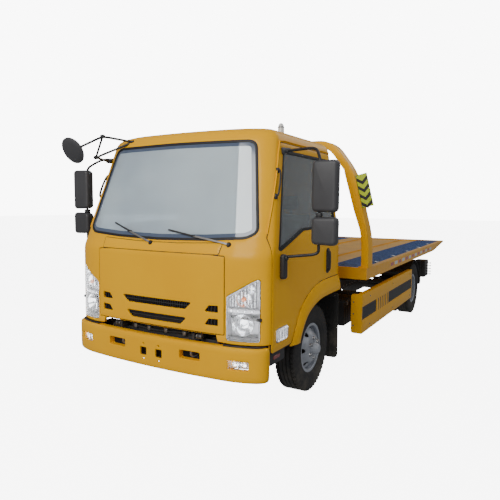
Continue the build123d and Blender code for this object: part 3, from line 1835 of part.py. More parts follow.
# Tilt cylinders
tilt_run_y = tilt_cylinder_eye_reach - tilt_cylinder_foot_reach
tilt_run_z = tilt_cylinder_eye_z - tilt_cylinder_foot_z
tilt_cylinder_length = hypot(tilt_run_y, tilt_run_z)


def on_cylinder(x, distance):
    """Point on the axis of a tilt cylinder at a distance from its foot."""
    share = distance / tilt_cylinder_length
    return (x, at(tilt_cylinder_foot_reach) + tilt_run_y * share, tilt_cylinder_foot_z + tilt_run_z * share)


with BuildPart() as tilt_barrels:
    for side in (-1, 1):
        x = side * tilt_cylinder_x
        rod(on_cylinder(x, tilt_eye_radius / 2), on_cylinder(x, tilt_barrel_length), tilt_barrel_radius)
        rod(
            on_cylinder(x, 3 * tilt_eye_radius),
            on_cylinder(x, tilt_barrel_length - tilt_eye_radius),
            tilt_bore_radius,
            mode=Mode.SUBTRACT,
        )
        rod(
            on_cylinder(x, 3 * tilt_eye_radius),
            on_cylinder(x, tilt_barrel_length + overrun),
            tilt_rod_radius + seat_gap,
            mode=Mode.SUBTRACT,
        )
    foot = (at(tilt_cylinder_foot_reach), tilt_cylinder_foot_z)
    for side in (-1, 1):
        x = side * tilt_cylinder_x
        rod((x - tilt_eye_width / 2, *foot), (x + tilt_eye_width / 2, *foot), tilt_eye_radius)
        rod(
            (x - tilt_eye_width, *foot),
            (x + tilt_eye_width, *foot),
            pivot_radius / 2 + seat_gap,
            mode=Mode.SUBTRACT,
        )
finish(tilt_barrels, "tilt_barrels")

with BuildPart() as tilt_rods:
    for side in (-1, 1):
        x = side * tilt_cylinder_x
        rod(on_cylinder(x, 4 * tilt_eye_radius), on_cylinder(x, tilt_cylinder_length), tilt_rod_radius)
        rod(
            on_cylinder(x, 4 * tilt_eye_radius),
            on_cylinder(x, 5 * tilt_eye_radius),
            tilt_bore_radius - seat_gap,
        )
        eye = (at(tilt_cylinder_eye_reach), tilt_cylinder_eye_z)
        rod((x - tilt_eye_width / 2, *eye), (x + tilt_eye_width / 2, *eye), tilt_eye_radius)
finish(tilt_rods, "tilt_rods")

# Tank and battery box on the rails
with BuildPart() as fuel_tank:
    block(
        (-tank_x - tank_half_width, -tank_x + tank_half_width),
        (at(tank_reach), at(tank_reach) + tank_length),
        (tank_bottom_z, tank_top_z),
    )
    fillet(fuel_tank.edges().filter_by(Axis.Y), radius=tank_round)
    for share in tank_strap_shares:
        strap_y = at(tank_reach) + tank_length * share
        block(
            (-tank_x + tank_half_width, -rail_outer_x),
            (strap_y, strap_y + tank_strap_width),
            (tank_bottom_z + 4 * tank_strap_width, tank_top_z - tank_strap_width),
        )
finish(fuel_tank, "fuel_tank")

with BuildPart() as battery_box:
    block(
        (rail_outer_x, tank_x + tank_half_width),
        (at(tank_reach), at(tank_reach) + battery_length),
        (tank_bottom_z, battery_top_z),
    )
finish(battery_box, "battery_box")

# Control box with levers near the left rear corner
with BuildPart() as control_box:
    top_z = control_bottom_z + control_height
    block(
        (control_inner_x, control_outer_x),
        (at(control_reach), at(control_reach) + control_length),
        (control_bottom_z, top_z),
    )
    block(
        (rail_outer_x, control_inner_x),
        (at(control_reach) + control_length / 10, at(control_reach) + control_length / 3),
        (top_z - 2 * lever_length, top_z - lever_length),
    )
    for index in range(lever_count):
        lever_z = control_bottom_z + control_height * (index + 1) / (lever_count + 1)
        lever_y = at(control_reach) + control_length / 2
        rod(
            (control_outer_x, lever_y, lever_z),
            (control_outer_x + lever_length, lever_y, lever_z),
            lever_radius,
        )
        rod(
            (control_outer_x + lever_length, lever_y, lever_z),
            (control_outer_x + lever_length + knob_radius, lever_y, lever_z),
            knob_radius,
        )
finish(control_box, "control_box")

with BuildPart() as tail_bar:
    bar_y = at(tail_bar_reach)
    block(
        (-tail_bar_half_width, tail_bar_half_width),
        (bar_y, bar_y + tail_bar_depth),
        (tail_bar_bottom_z, tail_bar_top_z),
    )
    for side in (-1, 1):
        block(
            (side * (rail_outer_x - rail_wall - seat_gap), side * (rail_outer_x - rail_flange)),
            (rail_rear_y - 2 * tail_bar_depth, bar_y),
            (tail_bar_bottom_z, tail_bar_top_z),
        )
finish(tail_bar, "tail_bar")

with BuildPart() as tail_lamps:
    lamp_y = at(tail_bar_reach) + tail_bar_depth
    for side in (-1, 1):
        block(
            (side * tail_lamp_x - tail_lamp_width / 2, side * tail_lamp_x + tail_lamp_width / 2),
            (lamp_y, lamp_y + tail_lamp_depth),
            (tail_bar_bottom_z + rail_wall, tail_bar_bottom_z + rail_wall + tail_lamp_height),
        )
finish(tail_lamps, "tail_lamps")

# Underlift: hinged arm, sliding inner tube with the cross bar
with BuildPart() as lift_arm:
    half = lift_arm_width / 2
    arm_y = at(lift_pivot_reach)
    block((-half, half), (arm_y - half, arm_y + lift_arm_length), (lift_pivot_z - half, lift_pivot_z + half))
    hole = lift_inner_width / 2 + seat_gap
    block(
        (-hole, hole),
        (arm_y + half, arm_y + lift_arm_length + overrun),
        (lift_pivot_z - hole, lift_pivot_z + hole),
        mode=Mode.SUBTRACT,
    )
    rod(
        (-half - overrun, arm_y, lift_pivot_z),
        (half + overrun, arm_y, lift_pivot_z),
        pivot_radius + seat_gap,
        mode=Mode.SUBTRACT,
    )
finish(lift_arm, "lift_arm")

with BuildPart() as lift_fork:
    half = lift_inner_width / 2
    fork_y = at(lift_fork_reach)
    block((-half, half), (at(lift_inner_reach), fork_y), (lift_pivot_z - half, lift_pivot_z + half))
    block(
        (-lift_fork_half, lift_fork_half),
        (fork_y, fork_y + lift_fork_size),
        (lift_pivot_z - lift_fork_size / 2, lift_pivot_z + lift_fork_size / 2),
    )
finish(lift_fork, "lift_fork")
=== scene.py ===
from math import atan2, cos, pi, radians, sin, sqrt

import bmesh
import bpy
import numpy as np
from bpy.props import BoolProperty, FloatProperty, FloatVectorProperty, IntProperty, PointerProperty
from mathutils import Matrix, Vector
from mathutils.geometry import delaunay_2d_cdt


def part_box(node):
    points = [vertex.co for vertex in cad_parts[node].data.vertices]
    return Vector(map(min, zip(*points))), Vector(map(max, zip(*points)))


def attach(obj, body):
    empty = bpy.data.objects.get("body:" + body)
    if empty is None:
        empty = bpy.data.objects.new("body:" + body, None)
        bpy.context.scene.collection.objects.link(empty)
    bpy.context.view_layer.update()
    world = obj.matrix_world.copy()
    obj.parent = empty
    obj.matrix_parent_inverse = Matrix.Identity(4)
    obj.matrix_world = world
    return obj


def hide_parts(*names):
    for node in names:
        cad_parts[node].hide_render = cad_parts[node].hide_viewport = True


bl_info = {
    "name": "Flatbed tow truck",
    "version": (1, 0, 0),
    "blender": (4, 5, 0),
    "location": "View3D > Sidebar > Tow truck",
    "description": "Dresses the flatbed tow truck in its paint, glass, tyres and trim",
    "category": "Object",
}

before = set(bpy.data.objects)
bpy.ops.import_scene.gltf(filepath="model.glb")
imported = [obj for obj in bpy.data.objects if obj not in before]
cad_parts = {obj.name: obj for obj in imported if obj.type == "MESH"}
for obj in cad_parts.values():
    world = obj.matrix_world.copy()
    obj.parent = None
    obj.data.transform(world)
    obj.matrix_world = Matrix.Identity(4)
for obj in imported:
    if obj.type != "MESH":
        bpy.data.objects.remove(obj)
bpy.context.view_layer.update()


def middle(node):
    """Middle of a CAD node's box."""
    low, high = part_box(node)
    return (low + high) / 2


FRONT_AXLE = middle("tyre_front_left").y
REAR_AXLE = middle("tyres_rear_left").y
AXLE_HEIGHT = middle("tyre_front_left").z
SIDES = (("left", 1), ("right", -1))


def along(reach):
    """Place along the truck of a reach measured behind the front axle."""
    return FRONT_AXLE + reach


# Settings that a user would change


class TowPaint(bpy.types.PropertyGroup):
    """Colours of the truck"""

    body: FloatVectorProperty(
        name="Body paint", description="Yellow of the cab, deck and guards", subtype="COLOR", size=3,
        default=(1.0, 0.50, 0.0), min=0, max=1,
    )
    chassis: FloatVectorProperty(
        name="Chassis paint", description="Black of the rails and brackets", subtype="COLOR", size=3,
        default=(0.018, 0.018, 0.020), min=0, max=1,
    )
    lanes: FloatVectorProperty(
        name="Lane paint", description="Blue-grey of the chequered lanes", subtype="COLOR", size=3,
        default=(0.055, 0.105, 0.27), min=0, max=1,
    )
    boards: FloatVectorProperty(
        name="Board film", description="Fluorescent film of the warning boards", subtype="COLOR", size=3,
        default=(0.62, 0.80, 0.03), min=0, max=1,
    )
    # Pale blue of the windscreen: a painted sky reflection, used for the windscreen only
    glass: FloatVectorProperty(
        name="Screen tint and painted sky", description="Pale tint of the windows", subtype="COLOR", size=3,
        default=(0.62, 0.72, 0.80), min=0, max=1,
    )


class TowCab(bpy.types.PropertyGroup):
    """Sizes of the cab's skin"""

    mesh_step: FloatProperty(
        name="Panel step", description="Spacing of the points in a cab panel", unit="LENGTH", default=0.030, min=0.01,
        max=0.1,
    )
    edge_round: FloatProperty(
        name="Edge radius", description="Rounding of the folded panel edges", unit="LENGTH", default=0.004, min=0.001,
        max=0.02,
    )
    skin_wall: FloatProperty(
        name="Skin wall", description="Thickness of the cab's skin", unit="LENGTH", default=0.022, min=0.005, max=0.04
    )
    seal_width: FloatProperty(
        name="Seal width", description="Width of the rubber round the windscreen", unit="LENGTH", default=0.016,
        min=0.005, max=0.05,
    )


class TowWheel(bpy.types.PropertyGroup):
    """Sizes of the wheels"""

    turns: IntProperty(name="Steps round", description="Faces round a tyre", default=96, min=24, max=256)
    blocks: IntProperty(name="Tread blocks", description="Tread blocks round a tyre", default=54, min=12, max=120)
    groove: FloatProperty(
        name="Groove depth", description="Depth of the tread", unit="LENGTH", default=0.011, min=0.002, max=0.03
    )


class TowDeck(bpy.types.PropertyGroup):
    """Sizes of the deck's dressing"""

    lozenge_pitch: FloatProperty(
        name="Lozenge pitch", description="Spacing of the lane's raised lozenges", unit="LENGTH", default=0.045,
        min=0.02, max=0.2,
    )
    lozenge_height: FloatProperty(
        name="Lozenge height", description="Height of the raised lozenges", unit="LENGTH", default=0.004, min=0.001,
        max=0.01,
    )
    bolt_pitch: FloatProperty(
        name="Bolt pitch", description="Spacing of the bolts along the rails", unit="LENGTH", default=0.12, min=0.05,
        max=0.5,
    )


class TowStage(bpy.types.PropertyGroup):
    """Camera and light"""

    lens: FloatProperty(name="Lens", description="Focal length in millimetres", default=34.743, min=10, max=200)
    light: FloatProperty(name="Light", description="Strength of the large lamps", default=1.0, min=0.1, max=5)
    floor_shown: BoolProperty(name="Floor", description="Lay the pale floor", default=True)


# Mesh helpers


def signed_area(loop):
    """Twice the area of a closed loop, negative where it runs clockwise."""
    return sum(a[0] * b[1] - b[0] * a[1] for a, b in zip(loop, [*loop[1:], loop[0]]))


def arc_points(start, here, end, steps):
    """Points of a bend from a start to an end, drawn towards the corner between them."""
    shares = [step / steps for step in range(steps + 1)]
    return [start * (1 - share) ** 2 + here * (2 * share * (1 - share)) + end * share**2 for share in shares]


def rounded(corners, radius, steps=5):
    """Closed outline with each corner rounded by an arc; a corner may carry its own radius."""
    result = []
    count = len(corners)
    for index, corner in enumerate(corners):
        here = Vector(corner[:2])
        before = Vector(corners[index - 1][:2])
        after = Vector(corners[(index + 1) % count][:2])
        size = corner[2] if len(corner) > 2 else radius
        first = (before - here).normalized()
        second = (after - here).normalized()
        dot = max(-0.9999, min(0.9999, first.dot(second)))
        half_angle = atan2(sqrt(1 - dot * dot), dot) / 2
        reach = min(
            size / max(0.05, sin(half_angle) / cos(half_angle)), (before - here).length * 0.48,
            (after - here).length * 0.48,
        )
        if reach < 1e-4 or half_angle > 1.53:
            result.append(tuple(here))
            continue
        bend = arc_points(here + first * reach, here, here + second * reach, steps)
        result += [tuple(point) for point in bend]
    return result


def oblong(low, high, radius, steps):
    """Closed outline of a rectangle with rounded corners between two of its corners."""
    return rounded([low, (high[0], low[1]), high, (low[0], high[1])], radius, steps)


def resampled(loop, step, closed=True):
    """Loop with its long runs divided."""
    result = []
    last = len(loop) if closed else len(loop) - 1
    for index in range(last):
        start = loop[index]
        end = loop[(index + 1) % len(loop)]
        length = sqrt(sum((b - a) ** 2 for a, b in zip(start, end)))
        parts = max(1, int(length / step + 0.5))
        for part in range(parts):
            share = part / parts
            result.append(tuple(a + (b - a) * share for a, b in zip(start, end)))
    if not closed:
        result.append(tuple(loop[-1]))
    return result


def smooth_line(points, count, closed=False):
    """Catmull-Rom line through the points."""
    points = [Vector(point) for point in points]
    size = len(points)
    spans = size if closed else size - 1
    result = []
    total = count if closed else count - 1
    for index in range(count):
        place = index * spans / total
        span = min(int(place), spans - 1)
        share = place - span
        if closed:
            a, b, c, d = (points[(span + shift) % size] for shift in (-1, 0, 1, 2))
        else:
            a = points[max(span - 1, 0)]
            b = points[span]
            c = points[min(span + 1, size - 1)]
            d = points[min(span + 2, size - 1)]
        result.append(
            0.5 * (
                (2 * b) + (c - a) * share + (2 * a - 5 * b + 4 * c - d) * share**2 + (3 * b - a - 3 * c + d) * share**3
            )
        )
    return result


def inside(points, loop):
    """Which points lie inside a closed loop."""
    points = np.asarray(points, float)
    result = np.zeros(len(points), bool)
    x, y = points[:, 0], points[:, 1]
    size = len(loop)
    for index in range(size):
        x1, y1 = loop[index]
        x2, y2 = loop[(index + 1) % size]
        if y1 == y2:
            continue
        crosses = (y1 > y) != (y2 > y)
        result ^= crosses & (x < (x2 - x1) * (y - y1) / (y2 - y1) + x1)
    return result


def clear_of(points, loop, gap):
    """Which points lie further than a gap from a loop's runs."""
    points = np.asarray(points, float)
    keep = np.ones(len(points), bool)
    size = len(loop)
    for index in range(size):
        start = np.array(loop[index])
        run = np.array(loop[(index + 1) % size]) - start
        length = (run**2).sum()
        share = np.clip(((points - start) @ run) / max(length, 1e-12), 0, 1)
        near = start + share[:, None] * run
        keep &= ((points - near) ** 2).sum(1) > gap * gap
    return keep


def flat_panel(outer, holes, step):
    """Triangles that fill an outline with holes, with evenly spaced points inside."""
    outer = resampled(outer, step)
    holes = [resampled(hole, step) for hole in holes]
    lows = np.min(outer, 0)
    highs = np.max(outer, 0)
    rows = np.arange(lows[1] + step / 2, highs[1], step * 0.87)
    grid = []
    for index, height in enumerate(rows):
        shift = step / 2 if index % 2 else 0
        grid += [(across, height) for across in np.arange(lows[0] + shift, highs[0], step)]
    grid = np.array(grid).reshape(-1, 2)
    keep = inside(grid, outer) & clear_of(grid, outer, step * 0.55)
    for hole in holes:
        keep &= ~inside(grid, hole) & clear_of(grid, hole, step * 0.55)
    points = []
    edges = []
    for loop in (outer, *holes):
        first = len(points)
        points += [Vector(point) for point in loop]
        edges += [(first + index, first + (index + 1) % len(loop)) for index in range(len(loop))]
    points += [Vector(point) for point in grid[keep]]
    corners, _, faces = delaunay_2d_cdt(points, edges, [], 0, 1e-6)[:3]
    centres = [tuple((corners[a] + corners[b] + corners[c]) / 3) for a, b, c in faces]
    wanted = inside(centres, outer)
    for hole in holes:
        wanted &= ~inside(centres, hole)
    return [tuple(corner) for corner in corners], [face for face, good in zip(faces, wanted) if good]


def placed(flat, surface):
    """Flat panel laid on a surface, without the points no face uses."""
    corners, faces = flat
    used = sorted({index for face in faces for index in face})
    new_index = {old: new for new, old in enumerate(used)}
    return [surface(*corners[index]) for index in used], [tuple(new_index[index] for index in face) for face in faces]


def mesh_of(name, shape):
    """New mesh from a shape of (verts, faces)."""
    mesh = bpy.data.meshes.new(name)
    mesh.from_pydata([tuple(vert) for vert in shape[0]], [], shape[1])
    mesh.update()
    return mesh


def shape_of(mesh):
    """Shape of (verts, faces) from a mesh."""
    return [vert.co.copy() for vert in mesh.vertices], [tuple(face.vertices) for face in mesh.polygons]


def turned_out(shape, centre):
    """Open shape with its faces turned away from a point."""
    verts, faces = shape
    score = 0.0
    for face in faces:
        a, b, c = (Vector(verts[index]) for index in face[:3])
        score += (b - a).cross(c - a).dot((a + b + c) / 3 - Vector(centre))
    if score < 0:
        faces = [tuple(reversed(face)) for face in faces]
    return verts, faces


def walled(shape, wall, outward):
    """Open shape given a wall, with no point drawn out further than twice the wall."""
    made = modified(shape, lambda obj: add_wall(obj, wall, outward))
    count = len(shape[0])
    verts = []
    for index, vert in enumerate(made[0]):
        base = Vector(shape[0][index % count])
        run = vert - base
        verts.append(base + run.normalized() * wall if run.length > 2 * wall else vert)
    return verts, made[1]


def add_wall(obj, wall, outward):
    """Give an object a modifier that thickens it."""
    solid = obj.modifiers.new("Wall", "SOLIDIFY")
    solid.thickness = wall
    solid.offset = outward
    solid.use_even_offset = True


def modified(shape, add_modifiers):
    """Shape after the modifiers that a function adds to it."""
    mesh = mesh_of("work", shape)
    obj = bpy.data.objects.new("work", mesh)
    bpy.context.scene.collection.objects.link(obj)
    add_modifiers(obj)
    bpy.context.view_layer.update()
    made = bpy.data.meshes.new_from_object(obj.evaluated_get(bpy.context.evaluated_depsgraph_get()))
    result = shape_of(made)
    bpy.data.objects.remove(obj)
    bpy.data.meshes.remove(mesh)
    bpy.data.meshes.remove(made)
    return result


def worked(shape, wall=0.0, bevel=0.0, segments=2, limit=50, outward=-1.0):
    """Shape after a wall and rounded edges."""
    if wall:
        shape = walled(shape, wall, outward)
    if not bevel:
        return shape

    def round_off(obj):
        edge = obj.modifiers.new("Round", "BEVEL")
        edge.width = bevel
        edge.segments = segments
        edge.limit_method = "ANGLE"
        edge.angle_limit = radians(limit)

    return modified(shape, round_off)


def mirrored(shape):
    """Shape mirrored to the other side of the truck."""
    verts, faces = shape
    return [Vector((-vert[0], vert[1], vert[2])) for vert in verts], [tuple(reversed(face)) for face in faces]


def on_side(shape, side):
    """Shape as it is on the left, mirrored on the right."""
    return shape if side > 0 else mirrored(shape)


def sided(parts, side):
    """Parts of (shape, material) on one side of the truck."""
    return [(on_side(shape, side), material) for shape, material in parts]


def paired(parts):
    """Parts on the left, and the same parts mirrored on the right."""
    return [part for _, side in SIDES for part in sided(parts, side)]


def moved(shape, shift):
    """Shape shifted by a vector."""
    shift = Vector(shift)
    return [Vector(vert) + shift for vert in shape[0]], shape[1]


def joined(*shapes):
    """One shape from several."""
    verts, faces = [], []
    for shape in shapes:
        first = len(verts)
        verts += [Vector(vert) for vert in shape[0]]
        faces += [tuple(index + first for index in face) for face in shape[1]]
    return verts, faces


def block(low, high, bevel=0.0, segments=2):
    """Block with rounded edges."""
    x0, y0, z0 = (min(a, b) for a, b in zip(low, high))
    x1, y1, z1 = (max(a, b) for a, b in zip(low, high))
    verts = [(x, y, z) for x in (x0, x1) for y in (y0, y1) for z in (z0, z1)]
    faces = [(0, 1, 3, 2), (4, 6, 7, 5), (0, 4, 5, 1), (2, 3, 7, 6), (0, 2, 6, 4), (1, 5, 7, 3)]
    return worked((verts, faces), bevel=bevel, segments=segments)


def prism(outline, low, high, axis, bevel=0.0, segments=2):
    """Outline carried along an axis between two places."""
    points = list(outline) if signed_area(outline) > 0 else list(reversed(outline))

    def at_place(point, place):
        if axis == "X":
            return (place, point[0], point[1])
        if axis == "Y":
            return (point[0], place, point[1])
        return (point[0], point[1], place)

    size = len(points)
    verts = [at_place(point, low) for point in points] + [at_place(point, high) for point in points]
    flip = axis == "Y"
    faces = [tuple(range(size)) if flip else tuple(reversed(range(size)))]
    faces.append(tuple(reversed(range(size, 2 * size))) if flip else tuple(range(size, 2 * size)))
    for index in range(size):
        ring = (index, (index + 1) % size, (index + 1) % size + size, index + size)
        faces.append(tuple(reversed(ring)) if flip else ring)
    return worked((verts, faces), bevel=bevel, segments=segments)


def lathe(profile, centre, steps=48, axis="X"):
    """Closed profile of (along, radius) turned about an axis through a point."""
    points = list(profile) if signed_area(profile) < 0 else list(reversed(profile))
    cx, cy, cz = centre
    verts = []
    for step in range(steps):
        angle = 2 * pi * step / steps
        for place, radius in points:
            c, s = radius * cos(angle), radius * sin(angle)
            if axis == "X":
                verts.append(Vector((cx + place, cy + c, cz + s)))
            elif axis == "Y":
                verts.append(Vector((cx + s, cy + place, cz + c)))
            else:
                verts.append(Vector((cx + c, cy + s, cz + place)))
    size = len(points)
    faces = []
    for step in range(steps):
        here, there = step * size, (step + 1) % steps * size
        for index in range(size):
            after = (index + 1) % size
            faces.append((here + index, here + after, there + after, there + index))
    return merged((verts, faces))


def merged(shape, gap=1e-5):
    """Shape with its doubles merged and its faces turned out."""
    mesh = mesh_of("work", shape)
    edit = bmesh.new()
    edit.from_mesh(mesh)
    bmesh.ops.remove_doubles(edit, verts=edit.verts, dist=gap)
    bmesh.ops.dissolve_degenerate(edit, edges=edit.edges, dist=gap)
    bmesh.ops.recalc_face_normals(edit, faces=edit.faces)
    edit.to_mesh(mesh)
    edit.free()
    result = shape_of(mesh)
    bpy.data.meshes.remove(mesh)
    return result


def strip_faces(rows, size):
    """Faces of an open sheet of points, row after row."""
    return [
        (here, here + 1, here + size + 1, here + size)
        for row in range(rows - 1) for here in range(row * size, row * size + size - 1)
    ]


def sleeve(rows):
    """Open tube through closed rows of points."""
    size = len(rows[0])
    faces = []
    for row in range(len(rows) - 1):
        here, there = row * size, (row + 1) * size
        for index in range(size):
            after = (index + 1) % size
            faces.append((here + index, here + after, there + after, there + index))
    return [point for row in rows for point in row], faces


def bent_line(points, radius, steps=5):
    """Line through points with its corners rounded."""
    points = [Vector(point) for point in points]
    result = [points[0]]
    for before, here, after in zip(points, points[1:], points[2:]):
        first, second = before - here, after - here
        reach = min(radius, first.length * 0.45, second.length * 0.45)
        start = here + first.normalized() * reach
        end = here + second.normalized() * reach
        result += arc_points(start, here, end, steps)
    result.append(points[-1])
    return result


def swept(path, section, up=(0, 0, 1), closed=False, cap=True):
    """Section of (across, up) points carried along a path."""
    path = [Vector(point) for point in path]
    count, size = len(path), len(section)
    verts = []
    side = None
    for index, point in enumerate(path):
        if closed:
            run = path[(index + 1) % count] - path[index - 1]
        else:
            run = path[min(index + 1, count - 1)] - path[max(index - 1, 0)]
        run.normalize()
        if side is None:
            side = run.cross(Vector(up))
            if side.length < 1e-3:
                side = run.cross(Vector((1, 0, 0)))
        side = (side - run * side.dot(run)).normalized()
        top = side.cross(run)
        verts += [point + side * across + top * rise for across, rise in section]
    faces = []
    for index in range(count if closed else count - 1):
        here, there = index * size, (index + 1) % count * size
        for corner in range(size):
            after = (corner + 1) % size
            faces.append((here + corner, here + after, there + after, there + corner))
    if cap and not closed:
        faces.append(tuple(reversed(range(size))))
        faces.append(tuple(range((count - 1) * size, count * size)))
    return merged((verts, faces))


def ring_section(radius, steps=10):
    """Closed circle of points."""
    return [(radius * cos(2 * pi * step / steps), radius * sin(2 * pi * step / steps)) for step in range(steps)]


def box_section(width, height, radius, steps=3):
    """Closed rectangle about its middle, with rounded corners."""
    half_w, half_h = width / 2, height / 2
    return oblong((-half_w, -half_h), (half_w, half_h), radius, steps)


def tube(points, radius, bend=0.04, steps=10):
    """Round bar along points, with its bends rounded."""
    return swept(bent_line(points, bend), ring_section(radius, steps))


def dome(centre, radii, squareness=2.0, steps=24, half=False):
    """Rounded body: a ball whose form goes from round to boxy, or its upper half."""
    power = 2.0 / squareness

    def bow(value):
        return abs(value) ** power * (1 if value > 0 else -1)

    cx, cy, cz = centre
    rx, ry, rz = radii
    verts, faces = [], []
    rings = steps // 2
    start = 0 if half else -rings
    rows = range(start, rings + 1)
    for row in rows:
        lift = pi / 2 * row / rings
        for step in range(steps):
            turn = 2 * pi * step / steps
            level = bow(cos(lift))
            verts.append(
                Vector((cx + rx * level * bow(cos(turn)), cy + ry * level * bow(sin(turn)), cz + rz * bow(sin(lift))))
            )
    size = len(list(rows))
    for row in range(size - 1):
        for step in range(steps):
            after = (step + 1) % steps
            faces.append((row * steps + step, row * steps + after, (row + 1) * steps + after, (row + 1) * steps + step))
    if half:
        faces.append(tuple(reversed(range(steps))))
    return merged((verts, faces), 1e-4)


def build_piece(name, body, parts, stands_for=(), sharp=38):
    """One mesh from parts of (shape, material), riding on a body."""
    materials = []
    verts, faces, indices = [], [], []
    for shape, material in parts:
        if material not in materials:
            materials.append(material)
        first = len(verts)
        verts += [tuple(vert) for vert in shape[0]]
        faces += [tuple(index + first for index in face) for face in shape[1]]
        indices += [materials.index(material)] * len(shape[1])
    mesh = mesh_of(name, (verts, faces))
    for material in materials:
        mesh.materials.append(material)
    mesh.polygons.foreach_set("material_index", indices)
    mesh.polygons.foreach_set("use_smooth", [True] * len(faces))
    mesh.set_sharp_from_angle(angle=radians(sharp))
    mesh.update()
    obj = bpy.data.objects.new(name, mesh)
    bpy.context.scene.collection.objects.link(obj)
    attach(obj, body)
    if stands_for:
        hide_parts(*stands_for)
    return obj


# Geometry Nodes trees for what repeats


def repeat_tree(name, layout):
    """Tree that repeats its input mesh on a line, a ring or a grid."""
    found = bpy.data.node_groups.get(name)
    if found:
        return found
    tree = bpy.data.node_groups.new(name, "GeometryNodeTree")
    face = tree.interface
    for label, kind in (
        ("Item", "Geometry"), ("Count", "Int"), ("Rows", "Int"), ("Start", "Vector"), ("Step", "Vector"),
        ("Row step", "Vector"), ("Radius", "Float"), ("Material", "Material"),
    ):
        face.new_socket(label, in_out="INPUT", socket_type="NodeSocket" + kind)
    face.new_socket("Item", in_out="OUTPUT", socket_type="NodeSocketGeometry")
    nodes, links = tree.nodes, tree.links
    entry = nodes.new("NodeGroupInput")
    leave = nodes.new("NodeGroupOutput")
    on_points = nodes.new("GeometryNodeInstanceOnPoints")
    realize = nodes.new("GeometryNodeRealizeInstances")
    paint = nodes.new("GeometryNodeSetMaterial")
    if layout == "RING":
        points = nodes.new("GeometryNodeMeshCircle")
        stand = nodes.new("GeometryNodeTransform")
        stand.inputs["Rotation"].default_value = (0, pi / 2, 0)
        place = nodes.new("GeometryNodeSetPosition")
        spot = nodes.new("GeometryNodeInputPosition")
        turn = nodes.new("FunctionNodeAlignRotationToVector")
        turn.axis = "Z"
        turn.pivot_axis = "X"
        wires = (
            (entry, "Count", points, "Vertices"), (entry, "Radius", points, "Radius"),
            (points, "Mesh", stand, "Geometry"), (stand, "Geometry", on_points, "Points"),
            (spot, "Position", turn, "Vector"), (turn, "Rotation", on_points, "Rotation"),
            (realize, "Geometry", place, "Geometry"), (entry, "Start", place, "Offset"),
            (place, "Geometry", paint, "Geometry"),
        )
    else:
        line = nodes.new("GeometryNodeMeshLine")
        rows = nodes.new("GeometryNodeMeshLine")
        line.mode = rows.mode = "OFFSET"
        first = nodes.new("GeometryNodeInstanceOnPoints")
        all_points = nodes.new("GeometryNodeRealizeInstances")
        wires = (
            (entry, "Count", line, "Count"), (entry, "Start", line, "Start Location"), (entry, "Step", line, "Offset"),
            (entry, "Rows", rows, "Count"), (entry, "Row step", rows, "Offset"), (rows, "Mesh", first, "Points"),
            (line, "Mesh", first, "Instance"), (first, "Instances", all_points, "Geometry"),
            (all_points, "Geometry", on_points, "Points"), (realize, "Geometry", paint, "Geometry"),
        )
    wires += (
        (entry, "Item", on_points, "Instance"), (on_points, "Instances", realize, "Geometry"),
        (entry, "Material", paint, "Material"), (paint, "Geometry", leave, "Item"),
    )
    for source, output, target, socket in wires:
        links.new(source.outputs[output], target.inputs[socket])
    return tree


def repeated(item, layout, material, **values):
    """Shape made by repeating an item with Geometry Nodes."""
    tree = repeat_tree("Repeat on a " + layout.lower(), layout)
    seed = bpy.data.objects.new("seed", mesh_of("seed", item))
    bpy.context.scene.collection.objects.link(seed)
    step = seed.modifiers.new("Repeat", "NODES")
    step.node_group = tree
    values["Material"] = material
    for socket in tree.interface.items_tree:
        wanted = values.get(socket.name.replace(" ", "_"))
        if socket.item_type == "SOCKET" and socket.in_out == "INPUT" and wanted is not None:
            step[socket.identifier] = wanted
    bpy.context.view_layer.update()
    graph = bpy.context.evaluated_depsgraph_get()
    made = bpy.data.meshes.new_from_object(seed.evaluated_get(graph))
    seed.modifiers.remove(step)
    result = shape_of(made)
    bpy.data.objects.remove(seed)
    bpy.data.meshes.remove(made)
    return result


# Shader groups shared by the materials


def shader_group(name, inputs, outputs):
    """New shader node group with its sockets, its input node and its output node."""
    group = bpy.data.node_groups.new(name, "ShaderNodeTree")
    kinds = {"COLOR": "NodeSocketColor", "VALUE": "NodeSocketFloat", "VECTOR": "NodeSocketVector"}
    for label, kind, default in inputs:
        socket = group.interface.new_socket(label, in_out="INPUT", socket_type=kinds[kind])
        if default is not None:
            socket.default_value = default
    for label, kind in outputs:
        group.interface.new_socket(label, in_out="OUTPUT", socket_type=kinds[kind])
    return group, group.nodes.new("NodeGroupInput"), group.nodes.new("NodeGroupOutput")


def math_node(group, operation, first, second):
    """Output of a new math node."""
    node = group.nodes.new("ShaderNodeMath")
    node.operation = operation
    for socket, value in zip(node.inputs, (first, second)):
        if isinstance(value, (int, float)):
            socket.default_value = value
        else:
            group.links.new(value, socket)
    return node.outputs[0]


def mix_colours(group, share, first, second, blend="MIX"):
    """Output of a new node that mixes two colours."""
    node = group.nodes.new("ShaderNodeMix")
    node.data_type = "RGBA"
    node.blend_type = blend
    for index, value in ((0, share), (6, first), (7, second)):
        if isinstance(value, (int, float)):
            node.inputs[index].default_value = value
        elif isinstance(value, (tuple, list)):
            node.inputs[index].default_value = (*value[:3], 1)
        else:
            group.links.new(value, node.inputs[index])
    return node.outputs[2]


def ramp(group, value, low, high):
    """0 below low, 1 above high."""
    node = group.nodes.new("ShaderNodeMapRange")
    node.interpolation_type = "SMOOTHSTEP"
    node.inputs["From Min"].default_value = low
    node.inputs["From Max"].default_value = high
    group.links.new(value, node.inputs["Value"])
    return node.outputs["Result"]


def noise(group, place, scale, detail=3.0, roughness=0.55):
    """Output of a new noise texture."""
    node = group.nodes.new("ShaderNodeTexNoise")
    node.inputs["Detail"].default_value = detail
    node.inputs["Roughness"].default_value = roughness
    if isinstance(scale, (int, float)):
        node.inputs["Scale"].default_value = scale
    else:
        group.links.new(scale, node.inputs["Scale"])
    group.links.new(place, node.inputs["Vector"])
    return node.outputs["Fac"]


